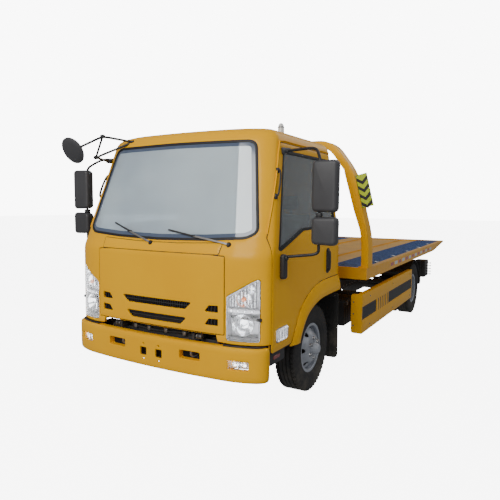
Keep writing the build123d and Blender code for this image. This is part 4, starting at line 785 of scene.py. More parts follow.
def mottle_group():
    """Slow colour change over a surface with a change of gloss."""
    group, entry, leave = shader_group(
        "Mottle",
        (("Colour", "COLOR", (1, 1, 1, 1)), ("Other colour", "COLOR", (1, 1, 1, 1)), ("Scale", "VALUE", 3.0),
         ("Amount", "VALUE", 0.5), ("Roughness", "VALUE", 0.4), ("Spread", "VALUE", 0.1)),
        (("Colour", "COLOR"), ("Roughness", "VALUE")),
    )
    place = group.nodes.new("ShaderNodeTexCoord").outputs["Object"]
    wide = noise(group, place, entry.outputs["Scale"])
    share = math_node(group, "MULTIPLY", ramp(group, wide, 0.35, 0.65), entry.outputs["Amount"])
    group.links.new(
        mix_colours(group, share, entry.outputs["Colour"], entry.outputs["Other colour"]), leave.inputs["Colour"]
    )
    fine = noise(group, place, 90.0, 4.0)
    swing = math_node(group, "MULTIPLY", math_node(group, "SUBTRACT", fine, 0.5), entry.outputs["Spread"])
    group.links.new(math_node(group, "ADD", entry.outputs["Roughness"], swing), leave.inputs["Roughness"])
    return group


def road_dust_group():
    """Pale film low on the truck."""
    group, entry, leave = shader_group(
        "Road dust",
        (("Colour", "COLOR", (1, 1, 1, 1)), ("Dust colour", "COLOR", (0.30, 0.26, 0.20, 1)), ("Top", "VALUE", 0.9),
         ("Amount", "VALUE", 0.3)),
        (("Colour", "COLOR"), ("Mask", "VALUE")),
    )
    place = group.nodes.new("ShaderNodeTexCoord").outputs["Object"]
    parts = group.nodes.new("ShaderNodeSeparateXYZ")
    group.links.new(place, parts.inputs[0])
    low = math_node(group, "SUBTRACT", 1.0, math_node(group, "DIVIDE", parts.outputs["Z"], entry.outputs["Top"]))
    low = math_node(group, "MAXIMUM", low, 0.0)
    blotch = ramp(group, noise(group, place, 9.0, 6.0, 0.7), 0.35, 0.75)
    mask = math_node(group, "MULTIPLY", math_node(group, "MULTIPLY", low, blotch), entry.outputs["Amount"])
    group.links.new(
        mix_colours(group, mask, entry.outputs["Colour"], entry.outputs["Dust colour"]), leave.inputs["Colour"]
    )
    group.links.new(mask, leave.inputs["Mask"])
    return group


def scuff_group():
    """Small worn spots and scratches."""
    group, entry, leave = shader_group(
        "Scuffs",
        (("Colour", "COLOR", (1, 1, 1, 1)), ("Bare colour", "COLOR", (0.4, 0.4, 0.4, 1)), ("Scale", "VALUE", 12.0),
         ("Amount", "VALUE", 0.3)),
        (("Colour", "COLOR"), ("Mask", "VALUE")),
    )
    place = group.nodes.new("ShaderNodeTexCoord").outputs["Object"]
    patches = ramp(group, noise(group, place, entry.outputs["Scale"], 8.0, 0.75), 0.60, 0.72)
    stretch = group.nodes.new("ShaderNodeMapping")
    stretch.inputs["Scale"].default_value = (60, 6, 60)
    group.links.new(place, stretch.inputs["Vector"])
    scratches = ramp(group, noise(group, stretch.outputs["Vector"], 2.0, 5.0, 0.6), 0.68, 0.74)
    both = math_node(group, "MAXIMUM", patches, scratches)
    mask = math_node(group, "MULTIPLY", both, entry.outputs["Amount"])
    group.links.new(
        mix_colours(group, mask, entry.outputs["Colour"], entry.outputs["Bare colour"]), leave.inputs["Colour"]
    )
    group.links.new(mask, leave.inputs["Mask"])
    return group


def grain_group():
    """Fine bump of orange peel, cast skin or moulded grain."""
    group, entry, leave = shader_group(
        "Grain", (("Scale", "VALUE", 200.0), ("Strength", "VALUE", 0.1), ("Depth", "VALUE", 0.001)),
        (("Normal", "VECTOR"),),
    )
    place = group.nodes.new("ShaderNodeTexCoord").outputs["Object"]
    height = noise(group, place, entry.outputs["Scale"], 3.0)
    bump = group.nodes.new("ShaderNodeBump")
    group.links.new(height, bump.inputs["Height"])
    group.links.new(entry.outputs["Strength"], bump.inputs["Strength"])
    group.links.new(entry.outputs["Depth"], bump.inputs["Distance"])
    group.links.new(bump.outputs["Normal"], leave.inputs["Normal"])
    return group


def weave_group():
    """Plain weave of a seat cover."""
    group, entry, leave = shader_group(
        "Weave",
        (
            ("Scale", "VALUE", 300.0), ("Colour", "COLOR", (0.2, 0.2, 0.2, 1)),
            ("Thread colour", "COLOR", (0.3, 0.3, 0.3, 1)),
        ),
        (("Colour", "COLOR"), ("Normal", "VECTOR")),
    )
    place = group.nodes.new("ShaderNodeTexCoord").outputs["Object"]
    waves = []
    for axis in ("X", "Y", "Z"):
        wave = group.nodes.new("ShaderNodeTexWave")
        wave.bands_direction = axis
        wave.inputs["Distortion"].default_value = 0.4
        group.links.new(entry.outputs["Scale"], wave.inputs["Scale"])
        group.links.new(place, wave.inputs["Vector"])
        waves.append(wave.outputs["Fac"])
    height = math_node(group, "MULTIPLY", math_node(group, "MAXIMUM", waves[0], waves[1]), waves[2])
    group.links.new(
        mix_colours(group, height, entry.outputs["Colour"], entry.outputs["Thread colour"]), leave.inputs["Colour"]
    )
    bump = group.nodes.new("ShaderNodeBump")
    bump.inputs["Strength"].default_value = 0.35
    bump.inputs["Distance"].default_value = 0.0012
    group.links.new(height, bump.inputs["Height"])
    group.links.new(bump.outputs["Normal"], leave.inputs["Normal"])
    return group


GROUP_MAKERS = {
    "Mottle": mottle_group, "Road dust": road_dust_group, "Scuffs": scuff_group, "Grain": grain_group,
    "Weave": weave_group,
}


def group_node(material, name, **values):
    """Shared group placed in a material with its own values."""
    group = bpy.data.node_groups.get(name) or GROUP_MAKERS[name]()
    node = material.node_tree.nodes.new("ShaderNodeGroup")
    node.node_tree = group
    for label, value in values.items():
        socket = node.inputs[label.replace("_", " ")]
        if isinstance(value, bpy.types.NodeSocket):
            material.node_tree.links.new(value, socket)
        elif isinstance(value, (tuple, list)) or hasattr(value, "__len__"):
            socket.default_value = (*value[:3], 1)
        else:
            socket.default_value = value
    return node


def finish_of(name, colour, other=None, rough=0.4, spread=0.08, mottle=3.0, amount=0.6, metal=0.0, coat=0.0, dust=0.0,
              dust_top=0.9, bare=None, scuff=0.0, scuff_scale=14.0, grain=200.0, depth=0.0004, bump=0.3, **plain):
    """Material of a painted, moulded, cast or bare metal surface."""
    found = bpy.data.materials.get(name)
    if found:
        return found
    material = bpy.data.materials.new(name)
    material.use_nodes = True
    tree = material.node_tree
    shader = tree.nodes["Principled BSDF"]
    colour = tuple(colour)
    other = tuple(other) if other else tuple(part * 0.82 for part in colour[:3])
    base = group_node(
        material, "Mottle", Colour=colour, Other_colour=other, Scale=mottle, Amount=amount, Roughness=rough,
        Spread=spread,
    )
    result, gloss = base.outputs["Colour"], base.outputs["Roughness"]
    if scuff:
        worn = group_node(
            material, "Scuffs", Colour=result, Bare_colour=bare or (0.45, 0.45, 0.45), Scale=scuff_scale, Amount=scuff
        )
        result = worn.outputs["Colour"]
    if dust:
        dusty = group_node(material, "Road dust", Colour=result, Top=dust_top, Amount=dust)
        result = dusty.outputs["Colour"]
        add = tree.nodes.new("ShaderNodeMath")
        add.operation = "MULTIPLY_ADD"
        add.inputs[1].default_value = 0.5
        tree.links.new(dusty.outputs["Mask"], add.inputs[0])
        tree.links.new(gloss, add.inputs[2])
        gloss = add.outputs[0]
    tree.links.new(result, shader.inputs["Base Color"])
    tree.links.new(gloss, shader.inputs["Roughness"])
    fine = group_node(material, "Grain", Scale=grain, Strength=bump, Depth=depth)
    tree.links.new(fine.outputs["Normal"], shader.inputs["Normal"])
    shader.inputs["Metallic"].default_value = metal
    shader.inputs["Coat Weight"].default_value = coat
    shader.inputs["Coat Roughness"].default_value = 0.06
    for label, value in plain.items():
        shader.inputs[label.replace("_", " ")].default_value = value
    return material


def clear_of_colour(name, colour, rough=0.02, transmission=0.9, other=None, ior=1.5, coat=0.0):
    """Glass or clear moulding with a slow change of tint."""
    found = bpy.data.materials.get(name)
    if found:
        return found
    material = bpy.data.materials.new(name)
    material.use_nodes = True
    shader = material.node_tree.nodes["Principled BSDF"]
    base = group_node(
        material, "Mottle", Colour=colour, Other_colour=other or colour, Scale=0.8, Amount=1.0, Roughness=rough,
        Spread=0.01,
    )
    material.node_tree.links.new(base.outputs["Colour"], shader.inputs["Base Color"])
    material.node_tree.links.new(base.outputs["Roughness"], shader.inputs["Roughness"])
    shader.inputs["Transmission Weight"].default_value = transmission
    shader.inputs["IOR"].default_value = ior
    shader.inputs["Coat Weight"].default_value = coat
    shader.inputs["Coat Roughness"].default_value = 0.02
    return material


def paints():
    return bpy.context.scene.tow_paint


def body_paint():
    colour = tuple(paints().body)
    return finish_of(
        "Body paint", colour, other=(colour[0] * 0.94, colour[1] * 0.90, colour[2]), rough=0.38, spread=0.05,
        mottle=1.4, amount=0.7, coat=0.12, dust=0.06, dust_top=0.85, grain=420.0, depth=0.0002, bump=0.12,
        Specular_IOR_Level=0.18,
    )


def deck_paint():
    colour = tuple(paints().body)
    return finish_of(
        "Deck paint", (colour[0] * 0.96, colour[1] * 0.92, colour[2]), rough=0.42, spread=0.10, mottle=2.2, amount=0.8,
        coat=0.2, dust=0.1, dust_top=2.0, bare=(0.42, 0.24, 0.05), scuff=0.22, scuff_scale=7.0, grain=320.0,
        depth=0.0003, bump=0.2,
    )


def black_paint():
    return finish_of(
        "Chassis black", tuple(paints().chassis), other=(0.035, 0.034, 0.033), rough=0.42, spread=0.16, mottle=5.0,
        dust=0.35, dust_top=1.0, bare=(0.10, 0.09, 0.08), scuff=0.25, grain=260.0, depth=0.0004, bump=0.3,
    )


def black_plastic():
    return finish_of(
        "Black moulding", (0.022, 0.022, 0.024), other=(0.034, 0.034, 0.036), rough=0.52, spread=0.12, grain=900.0,
        depth=0.0003, bump=0.35, dust=0.12,
    )


def grey_plastic():
    return finish_of(
        "Mirror grey", (0.050, 0.050, 0.054), other=(0.070, 0.070, 0.075), rough=0.45, spread=0.10, grain=1100.0,
        depth=0.0002, bump=0.3,
    )


def seal_rubber():
    return finish_of("Seal rubber", (0.012, 0.012, 0.013), rough=0.55, spread=0.1, grain=500.0, depth=0.0002)


def tyre_rubber():
    return finish_of(
        "Tyre rubber", (0.020, 0.020, 0.021), other=(0.034, 0.032, 0.030), rough=0.72, spread=0.12, mottle=8.0,
        dust=0.5, dust_top=0.5, grain=380.0, depth=0.0006, bump=0.45,
    )


def wheel_silver():
    return finish_of(
        "Wheel silver", (0.50, 0.53, 0.58), other=(0.42, 0.44, 0.48), rough=0.38, spread=0.1, metal=0.35, dust=0.3,
        dust_top=0.7, bare=(0.25, 0.22, 0.20), scuff=0.12, grain=380.0, depth=0.0003,
    )


def bright_metal():
    return finish_of(
        "Bright steel", (0.62, 0.62, 0.63), other=(0.52, 0.52, 0.53), rough=0.22, spread=0.10, metal=1.0, grain=600.0,
        depth=0.0001,
    )


def dull_metal():
    return finish_of(
        "Dull steel", (0.32, 0.31, 0.30), other=(0.24, 0.22, 0.20), rough=0.45, spread=0.2, metal=0.8, dust=0.2,
        bare=(0.20, 0.11, 0.06), scuff=0.2, grain=300.0, depth=0.0004,
    )


def cast_metal():
    return finish_of(
        "Cast iron", (0.075, 0.075, 0.078), other=(0.11, 0.10, 0.09), rough=0.6, spread=0.2, metal=0.4, dust=0.4,
        grain=160.0, depth=0.001, bump=0.5,
    )


def reflector():
    return finish_of(
        "Lamp reflector", (0.80, 0.81, 0.83), other=(0.72, 0.73, 0.75), rough=0.16, spread=0.05, metal=0.9, grain=120.0,
        depth=0.0004, bump=0.15,
    )


def lamp_housing():
    return finish_of("Lamp housing", (0.40, 0.40, 0.42), other=(0.30, 0.30, 0.32), rough=0.35, spread=0.06, metal=0.3)


def lane_paint():
    colour = tuple(paints().lanes)
    return finish_of(
        "Lane paint", colour, other=tuple(part * 1.5 for part in colour), rough=0.38, spread=0.2, mottle=14.0,
        metal=0.2, bare=(0.42, 0.44, 0.48), scuff=0.35, scuff_scale=22.0, dust=0.15, dust_top=3.0, grain=300.0,
    )


def sky_painted_screen_glass():
    # The windscreen's pale blue-grey, lighter in slow patches, with the glass only partly clear, is a painted sky
    # reflection
    tint = tuple(paints().glass)
    return clear_of_colour(
        "Screen glass with painted sky", tint, rough=0.03, transmission=0.42, other=(tint[0] * 1.3, tint[1] * 1.28, tint[2] * 1.22),
        ior=1.6, coat=1.0,
    )


def side_glass():
    return clear_of_colour(
        "Side glass", (0.30, 0.34, 0.35), rough=0.02, transmission=0.72, other=(0.24, 0.28, 0.29), ior=1.6, coat=1.0
    )


def clear_lens():
    return clear_of_colour("Clear lens", (0.95, 0.96, 0.97), rough=0.02, transmission=0.97, ior=1.30)


def colour_lens(name, colour):
    return clear_of_colour(name, colour, rough=0.08, transmission=0.35, ior=1.45, coat=0.6)


def pale_lens():
    return finish_of("Frosted lens", (0.80, 0.80, 0.78), rough=0.25, spread=0.05, coat=0.5, grain=500.0, depth=0.0001)


def trim_grey():
    return finish_of(
        "Cab trim", (0.20, 0.20, 0.205), other=(0.24, 0.24, 0.245), rough=0.6, spread=0.1, grain=700.0, depth=0.0004
    )


def flap_rubber():
    return finish_of(
        "Flap rubber", (0.016, 0.016, 0.017), other=(0.026, 0.025, 0.024), rough=0.7, spread=0.12, mottle=5.0, dust=0.6,
        dust_top=0.7, grain=260.0, depth=0.0005,
    )


def board_film():
    return finish_of("Board film", tuple(paints().boards), rough=0.32, spread=0.05, coat=0.5, grain=700.0, depth=0.0001)


def board_black():
    return finish_of("Board black", (0.012, 0.012, 0.013), rough=0.4, spread=0.08, grain=500.0, depth=0.0001)


def film(name, colour):
    return finish_of(name, colour, rough=0.3, spread=0.06, mottle=20.0, coat=0.6, grain=900.0, depth=0.0001)


def rope_steel():
    return finish_of(
        "Wire rope", (0.24, 0.24, 0.25), other=(0.14, 0.13, 0.12), rough=0.42, spread=0.2, metal=0.9, mottle=60.0,
        grain=1400.0, depth=0.0012, bump=0.9,
    )


def dash_skin():
    return finish_of(
        "Dash skin", (0.055, 0.057, 0.060), other=(0.070, 0.072, 0.075), rough=0.62, spread=0.1, grain=800.0,
        depth=0.0006,
    )


def seat_fabric():
    """Woven grey seat cover."""
    found = bpy.data.materials.get("Woven cover")
    if found:
        return found
    material = bpy.data.materials.new("Woven cover")
    material.use_nodes = True
    tree = material.node_tree
    shader = tree.nodes["Principled BSDF"]
    weave = group_node(material, "Weave", Scale=420.0, Colour=(0.055, 0.058, 0.065), Thread_colour=(0.13, 0.135, 0.145))
    worn = group_node(
        material, "Mottle", Colour=weave.outputs["Colour"], Other_colour=(0.10, 0.10, 0.11), Scale=6.0, Amount=0.3,
        Roughness=0.85, Spread=0.1,
    )
    tree.links.new(worn.outputs["Colour"], shader.inputs["Base Color"])
    tree.links.new(worn.outputs["Roughness"], shader.inputs["Roughness"])
    tree.links.new(weave.outputs["Normal"], shader.inputs["Normal"])
    return material


def mirror_face():
    return finish_of("Mirror face", (0.78, 0.80, 0.82), rough=0.03, spread=0.01, metal=1.0, grain=5.0, depth=0.00001)


# Form of the cab: plan lines at each height, walked by a coordinate from the middle of the front round to the back

CAB_HALF = 0.985
CAB_FRONT = -1.060
CAB_BACK = 0.550
CORNER_WIDTH = 0.290
CORNER_DEPTH = 0.165
FRONT_BOW = 0.028
BACK_ROUND = 0.045
EAVE = 2.200
# height, inset of the side, set-back of the front, inset of the back
CAB_LEVELS = (
    (0.50, 0.010, 0.016, 0.0), (0.56, 0.008, 0.012, 0.0), (0.64, 0.002, 0.002, 0.0), (1.31, 0.000, 0.004, 0.0),
    (1.395, 0.004, 0.048, 0.0), (EAVE, 0.118, 0.295, 0.014), (2.30, 0.133, 0.326, 0.018),
)
ROOF_LEVELS = (
    (2.232, 0.127, 0.306, 0.020), (2.262, 0.145, 0.322, 0.032), (2.284, 0.178, 0.346, 0.052),
    (2.300, 0.225, 0.385, 0.085), (2.310, 0.290, 0.440, 0.130), (2.316, 0.370, 0.510, 0.190),
    (2.320, 0.460, 0.600, 0.270), (2.322, 0.560, 0.700, 0.370),
)
STOPS = (0.0, 0.695, 1.060, 2.432, 2.503, 3.443)


def inset_table():
    """Insets every 5 mm of height, with the creases between levels softened."""
    levels = np.array(CAB_LEVELS)
    heights = np.arange(0.50, 2.2001, 0.005)
    window = np.linspace(-0.035, 0.035, 15)
    table = []
    for height in heights:
        reach = min(1.0, (EAVE - height) / 0.035 + 0.001)
        spots = height + window * reach
        table.append([np.interp(spots, levels[:, 0], levels[:, column]).mean() for column in (1, 2, 3)])
    return np.array(table)


INSETS = inset_table()


def cab_insets(height):
    """Insets of the cab's side, front and back at a height."""
    place = min(max((height - 0.50) / 0.005, 0), len(INSETS) - 1.001)
    low = int(place)
    share = place - low
    return INSETS[low] * (1 - share) + INSETS[low + 1] * share


def plan_point(walk, height, insets):
    """Point of a plan line with given insets."""
    side_in, front_in, back_in = insets
    side = -1 if walk < 0 else 1
    walk = min(abs(walk), STOPS[5])
    half = CAB_HALF - side_in
    nose = along(CAB_FRONT) + front_in
    back = along(CAB_BACK) - back_in
    shoulder = half - CORNER_WIDTH
    shoulder_y = nose + FRONT_BOW
    corner_y = shoulder_y + CORNER_DEPTH
    if walk <= STOPS[1]:
        share = walk / STOPS[1]
        x, y = shoulder * share, nose + FRONT_BOW * share**2
    elif walk <= STOPS[2]:
        turn = (walk - STOPS[1]) / (STOPS[2] - STOPS[1]) * pi / 2
        x = shoulder + CORNER_WIDTH * sin(turn)
        slope = 2 * FRONT_BOW / max(shoulder, 0.1)
        y = shoulder_y + CORNER_DEPTH * (1 - cos(turn)) + slope * CORNER_WIDTH * sin(turn) * cos(turn) ** 2
    elif walk <= STOPS[3]:
        x = half
        y = corner_y + (back - BACK_ROUND - corner_y) * (walk - STOPS[2]) / (STOPS[3] - STOPS[2])
    elif walk <= STOPS[4]:
        turn = (walk - STOPS[3]) / (STOPS[4] - STOPS[3]) * pi / 2
        x = half - BACK_ROUND * (1 - cos(turn))
        y = back - BACK_ROUND + BACK_ROUND * sin(turn)
    else:
        x = (half - BACK_ROUND) * (1 - (walk - STOPS[4]) / (STOPS[5] - STOPS[4]))
        y = back
    return Vector((side * x, y, height))


def cab_point(walk, height, out=0.0):
    """Point of the cab's outer skin, or of a line that stands out from it."""
    point = plan_point(walk, height, cab_insets(height))
    if not out:
        return point
    step = 0.004
    run = plan_point(walk + step, height, cab_insets(height)) - plan_point(walk - step, height, cab_insets(height))
    rise = plan_point(
        walk, height + step, cab_insets(height + step)
    ) - plan_point(walk, height - step, cab_insets(height - step))
    return point + run.cross(rise).normalized() * out


def cab_surface(out=0.0):
    """Surface of the cab's skin, or one that stands out from it."""
    return lambda walk, height: cab_point(walk, height, out)


def walk_of_x(x, height):
    """Coordinate round the front of the point with a given x."""
    half = CAB_HALF - cab_insets(height)[0]
    shoulder = half - CORNER_WIDTH
    side = -1 if x < 0 else 1
    x = abs(x)
    if x <= shoulder:
        return side * x / shoulder * STOPS[1]
    share = min(1.0, (x - shoulder) / CORNER_WIDTH)
    return side * (STOPS[1] + atan2(share, sqrt(max(0.0, 1 - share * share))) / (pi / 2) * (STOPS[2] - STOPS[1]))


def walk_of_reach(reach, height):
    """Coordinate round the left side of the point with a given reach."""
    low, high = 0.0, STOPS[3]
    wanted = along(reach)
    for _ in range(24):
        mid = (low + high) / 2
        if cab_point(mid, height).y < wanted:
            low = mid
        else:
            high = mid
    return (low + high) / 2


def front_outline(points, step=0.02):
    """Outline drawn from the front, laid round the cab."""
    return [(walk_of_x(x, height), height) for x, height in resampled(points, step)]


def side_outline(points, step=0.02):
    """Outline drawn from the left side, laid round the cab."""
    return [(walk_of_reach(reach, height), height) for reach, height in resampled(points, step)]


def drawn_in(loop, gap):
    """Closed outline moved inwards, or outwards for a negative gap."""
    size = len(loop)
    turn = 1 if signed_area(loop) > 0 else -1
    result = []
    for index, (x, y) in enumerate(loop):
        before, after = Vector(loop[index - 1]), Vector(loop[(index + 1) % size])
        here = Vector((x, y))
        first, second = (here - before), (after - here)
        if first.length < 1e-7 or second.length < 1e-7:
            first = second = after - before
        one = Vector((-first.y, first.x)).normalized() * turn
        two = Vector((-second.y, second.x)).normalized() * turn
        middle_way = one + two
        if middle_way.length < 1e-6:
            middle_way = one
        middle_way.normalize()
        stretch = 1 / max(0.5, middle_way.dot(one))
        result.append(tuple(here + middle_way * gap * stretch))
    return result


WINDOW_FRONT = rounded(
    [
        (-0.876, 1.480, 0.10), (-0.80, 1.432, 0.3), (-0.45, 1.410, 0.6), (0.0, 1.400, 0.8), (0.45, 1.410, 0.6),
        (0.80, 1.432, 0.3), (0.876, 1.480, 0.10), (0.742, 2.190, 0.085), (0.0, 2.196, 0.8), (-0.742, 2.190, 0.085),
    ],
    0.1, 8,
)
LID_OUTLINE = rounded(
    [(-0.655, 0.705), (0.655, 0.705), (0.655, 1.300), (0.3, 1.318, 0.5), (-0.3, 1.318, 0.5), (-0.655, 1.300)], 0.014, 3
)
COWL_OUTLINE = rounded(
    [(-0.600, 1.310), (0.600, 1.310), (0.612, 1.394), (0.2, 1.378, 0.4), (-0.2, 1.378, 0.4), (-0.612, 1.394)], 0.012, 3
)
LAMP_OUTLINE = rounded([(0.672, 0.668), (0.925, 0.668), (0.925, 1.150), (0.672, 1.000)], 0.022, 4)
FLARE_OUTER = (
    (-0.548, 0.548), (-0.508, 0.606), (-0.455, 0.700), (-0.375, 0.815), (-0.270, 0.893), (-0.120, 0.958),
    (0.050, 0.995), (0.280, 1.005), (0.506, 1.005),
)
FLARE_INNER = (
    (-0.402, 0.548), (-0.385, 0.610), (-0.340, 0.682), (-0.250, 0.757), (-0.120, 0.812), (0.050, 0.846), (0.280, 0.855),
    (0.400, 0.856), (0.506, 0.856),
)
DOOR_WINDOW = rounded(
    [(-0.790, 1.352, 0.02), (-0.752, 1.340, 0.03), (-0.310, 1.478, 0.12), (0.440, 1.492, 0.05), (0.440, 2.120, 0.06),
     (-0.520, 2.120, 0.05)], 0.05, 5,
)
BACK_WINDOW = oblong((-0.56, 1.48), (0.56, 2.02), 0.06, 5)


def door_line(gap):
    """Outline of a door from the side; the flare's outer line cuts its lower rear corner."""
    flare = [(reach - gap, height + gap) for reach, height in FLARE_OUTER[1:]]
    flare[-1] = (0.506 - 2 * gap, flare[-1][1])
    corners = [
        (-0.888 + gap, 0.566 + gap, 0.03), (-0.888 + gap, 1.440, 0.06), (-0.568 + gap, 2.186 - gap, 0.05),
        (0.506 - 2 * gap, 2.186 - gap, 0.05), (0.506 - 2 * gap, 1.005 + gap, 0.004),
        *[(reach, height, 0.002) for reach, height in reversed(flare[:-1])], (-0.540 - gap, 0.566 + gap, 0.01),
    ]
    return rounded(corners, 0.03, 4)


def settings():
    """Sizes of the cab's skin from its panel."""
    return bpy.context.scene.tow_cab


# Point inside the cab that its panels face away from
CAB_MIDDLE = (0, along(-0.2), 1.3)


def cab_sheet(outline, out, step=0.02, holes=(), **work):
    """Panel at a distance from the cab's skin, turned outwards and worked."""
    sheet = placed(flat_panel(outline, holes, step), cab_surface(out))
    return worked(turned_out(sheet, CAB_MIDDLE), **work)


class TOW_OT_cab_skin(bpy.types.Operator):
    """Smooth yellow skin of the cab with its roof and cowl"""

    bl_idname = "tow.cab_skin"
    bl_label = "Cab skin"

    def execute(self, context):
        step = settings().mesh_step
        wall = settings().skin_wall
        # half outline from the middle of the chin round to the middle of the back
        chin = [(0.0, 0.700), (0.585, 0.700), (0.600, 0.650), (0.700, 0.645)]
        half = [(walk_of_x(x, height), height) for x, height in resampled(chin, 0.02, closed=False)]
        front_corner = [(-0.888, 0.645), (-0.888, 1.400)]
        side_run = resampled(front_corner, 0.02, closed=False)
        top = rounded(
            [(-0.888, 1.300), (-0.888, 1.440, 0.06), (-0.568, 2.186, 0.05), (0.506, 2.186, 0.05), (0.506, 1.5)], 0.05, 4
        )
        keep = [
            point for point in top
            if not (point[1] < 1.40 and point[0] < -0.5) and not (point[1] < 1.6 and point[0] > 0.4)
        ]
        side_run += resampled([*keep, (0.506, 0.856)], 0.02, closed=False)
        half += [(walk_of_reach(reach, height), height) for reach, height in side_run]
        half += resampled([(STOPS[3], 0.856), (STOPS[4], 0.856), (STOPS[5], 0.856)], 0.03, closed=False)
        top_walks = [STOPS[5] * index / 116 for index in range(117)]
        half += resampled([(STOPS[5], 0.856), (STOPS[5], EAVE)], 0.03, closed=False)[1:-1]
        outer = half + [(walk, EAVE) for walk in reversed(top_walks)]
        outer += [(-walk, EAVE) for walk in top_walks[1:]]
        outer += [(-walk, height) for walk, height in reversed(half[1:])]
        holes = [
            front_outline(WINDOW_FRONT), front_outline(drawn_in(LID_OUTLINE, -0.004)),
            front_outline(drawn_in(LAMP_OUTLINE, -0.003)),
            [(-walk, height) for walk, height in front_outline(drawn_in(LAMP_OUTLINE, -0.003))],
        ]
        low_panel = placed(flat_panel(outer, holes, step), cab_surface())
        # roof rings shrink from the eave to the crown
        rings = [[cab_point(walk, EAVE) for walk in [*top_walks, *[-walk for walk in top_walks[1:]]]]]
        for height, *insets in ROOF_LEVELS:
            rings.append([
                plan_point(walk, height, insets) for walk in [*top_walks, *[-walk for walk in top_walks[1:]]]
            ])
        crown = Vector((0, sum(point.y for point in rings[-1]) / len(rings[-1]), 2.3225))
        rings.append([point.lerp(crown, 0.5) for point in rings[-1]])
        size = len(top_walks)
        order = list(range(size))
        verts = [point for ring in rings for point in ring] + [crown]
        count = len(rings[0])
        faces = []
        right = [0, *range(size, count)]
        for level in range(len(rings) - 1):
            low, high = level * count, (level + 1) * count
            for line in (order, right):
                for first, second in zip(line, line[1:]):
                    faces.append((low + first, low + second, high + second, high + first))
        last = (len(rings) - 1) * count
        for line in (order, right):
            for first, second in zip(line, line[1:]):
                faces.append((last + first, last + second, len(verts) - 1))
        skin = merged(joined(low_panel, (verts, faces)), 2e-4)
        skin = turned_out(skin, (0, along(-0.2), 1.4))
        skin = worked(skin, wall=wall, bevel=settings().edge_round, limit=60)
        parts = [(skin, body_paint())]
        cowl = cab_sheet(front_outline(COWL_OUTLINE), 0.0030, step, wall=0.0012, bevel=0.0005)
        seam = front_outline(drawn_in(COWL_OUTLINE, -0.005))
        seam_strip = placed(flat_panel(seam, [front_outline(COWL_OUTLINE)], 0.02), cab_surface(0.0016))
        parts.append((cowl, body_paint()))
        parts.append((turned_out(seam_strip, (0, along(-0.2), 1.2)), seal_rubber()))
        # rubber in the gaps round the doors and the front panel
        door_seal = cab_sheet(
            side_outline(door_line(-0.003)), -0.003, holes=[side_outline(door_line(0.0045))], wall=0.004
        )
        lid_seal = cab_sheet(
            front_outline(drawn_in(LID_OUTLINE, -0.006)), -0.004, holes=[front_outline(drawn_in(LID_OUTLINE, 0.001))],
            wall=0.003,
        )
        parts += paired([(door_seal, seal_rubber())])
        parts.append((lid_seal, seal_rubber()))
        build_piece("cab_skin", "cab", parts, ("cab_shell",))
        return {"FINISHED"}


class TOW_OT_wheel_arches(bpy.types.Operator):
    """Rounded flares over the front wheels, with their liners"""

    bl_idname = "tow.wheel_arches"
    bl_label = "Wheel arches"

    def execute(self, context):
        count = 60
        outer = smooth_line([(0, *point) for point in FLARE_OUTER], count)
        inner = smooth_line([(0, *point) for point in FLARE_INNER], count)
        # share of the way from the inner line to the outer one, distance outside the cab's side
        section = (
            (-0.14, -0.10), (-0.05, -0.05), (0.0, 0.004), (0.006, 0.016), (0.02, 0.024), (0.12, 0.030), (0.35, 0.028),
            (0.60, 0.021), (0.80, 0.013), (0.92, 0.007), (0.975, 0.002), (1.0, -0.012),
        )
        verts = []
        for low, high in zip(inner, outer):
            base = CAB_HALF - cab_insets(max(0.56, (low.z + high.z) / 2))[0]
            for share, proud in section:
                if share < 0:
                    verts.append(Vector((base + proud, along(low.y), low.z + 0.010 + share * 0.02)))
                else:
                    spot = low.lerp(high, share)
                    verts.append(Vector((base + proud, along(spot.y), spot.z)))
        flare = (verts, strip_faces(count, len(section)))
        flare = worked(turned_out(flare, (0.6, along(0), 0.8)), wall=0.004)
        # lip and roof of the liner inside the arch
        path = [(0.93, along(point.y), point.z + 0.012) for point in inner]
        lip = swept(path, box_section(0.10, 0.006, 0.002), up=(1, 0, 0))
        verts = [Vector((x, along(point.y), point.z + 0.014)) for point in inner for x in (0.50, 0.945)]
        roof = (verts, strip_faces(count, 2))
        roof = worked(turned_out(roof, (0.7, along(0), 0.4)), wall=0.004, outward=1.0)
        parts = paired([(flare, body_paint())]) + paired([(roof, black_plastic()), (lip, black_plastic())])
        build_piece("wheel_arches", "cab", parts, ("cab_shell",))
        return {"FINISHED"}


class TOW_OT_cab_floor(bpy.types.Operator):
    """Floor, engine tunnel walls and pivot ears under the cab"""

    bl_idname = "tow.cab_floor"
    bl_label = "Cab floor"

    def execute(self, context):
        inner = CAB_HALF - 0.05
        parts = [
            (block((-inner, along(-0.97), 0.826), (inner, along(-0.375), 0.850), 0.006), black_paint()),
            (block((-inner, along(-0.38), 0.850), (inner, along(-0.354), 1.110), 0.006), black_paint()),
            (block((-inner, along(-0.38), 1.084), (inner, along(0.50), 1.110), 0.006), black_paint()),
            (block((-0.56, along(-0.975), 0.720), (0.56, along(-0.965), 0.85), 0.002), black_plastic()),
        ]
        for side in (-1, 1):
            ear_line = [
                (-1.050, 0.645, 0.018), (-0.970, 0.645), (-0.970, 0.790), (-1.010, 0.790), (-1.010, 0.685),
                (-1.050, 0.685, 0.018),
            ]
            ear = prism(
                rounded([(along(corner[0]), *corner[1:]) for corner in ear_line], 0.004, 4), 0.413, 0.443, "X", 0.002
            )
            parts.append((on_side(ear, side), black_paint()))
            parts.append((
                on_side(
                    lathe([(0, 0.011), (0.046, 0.011), (0.046, 0.018), (0, 0.018)], (0.405, along(-1.030), 0.665), 32),
                    side,
                ),
                dull_metal(),
            ))
        build_piece("cab_floor", "cab", parts, ("cab_shell",))
        return {"FINISHED"}


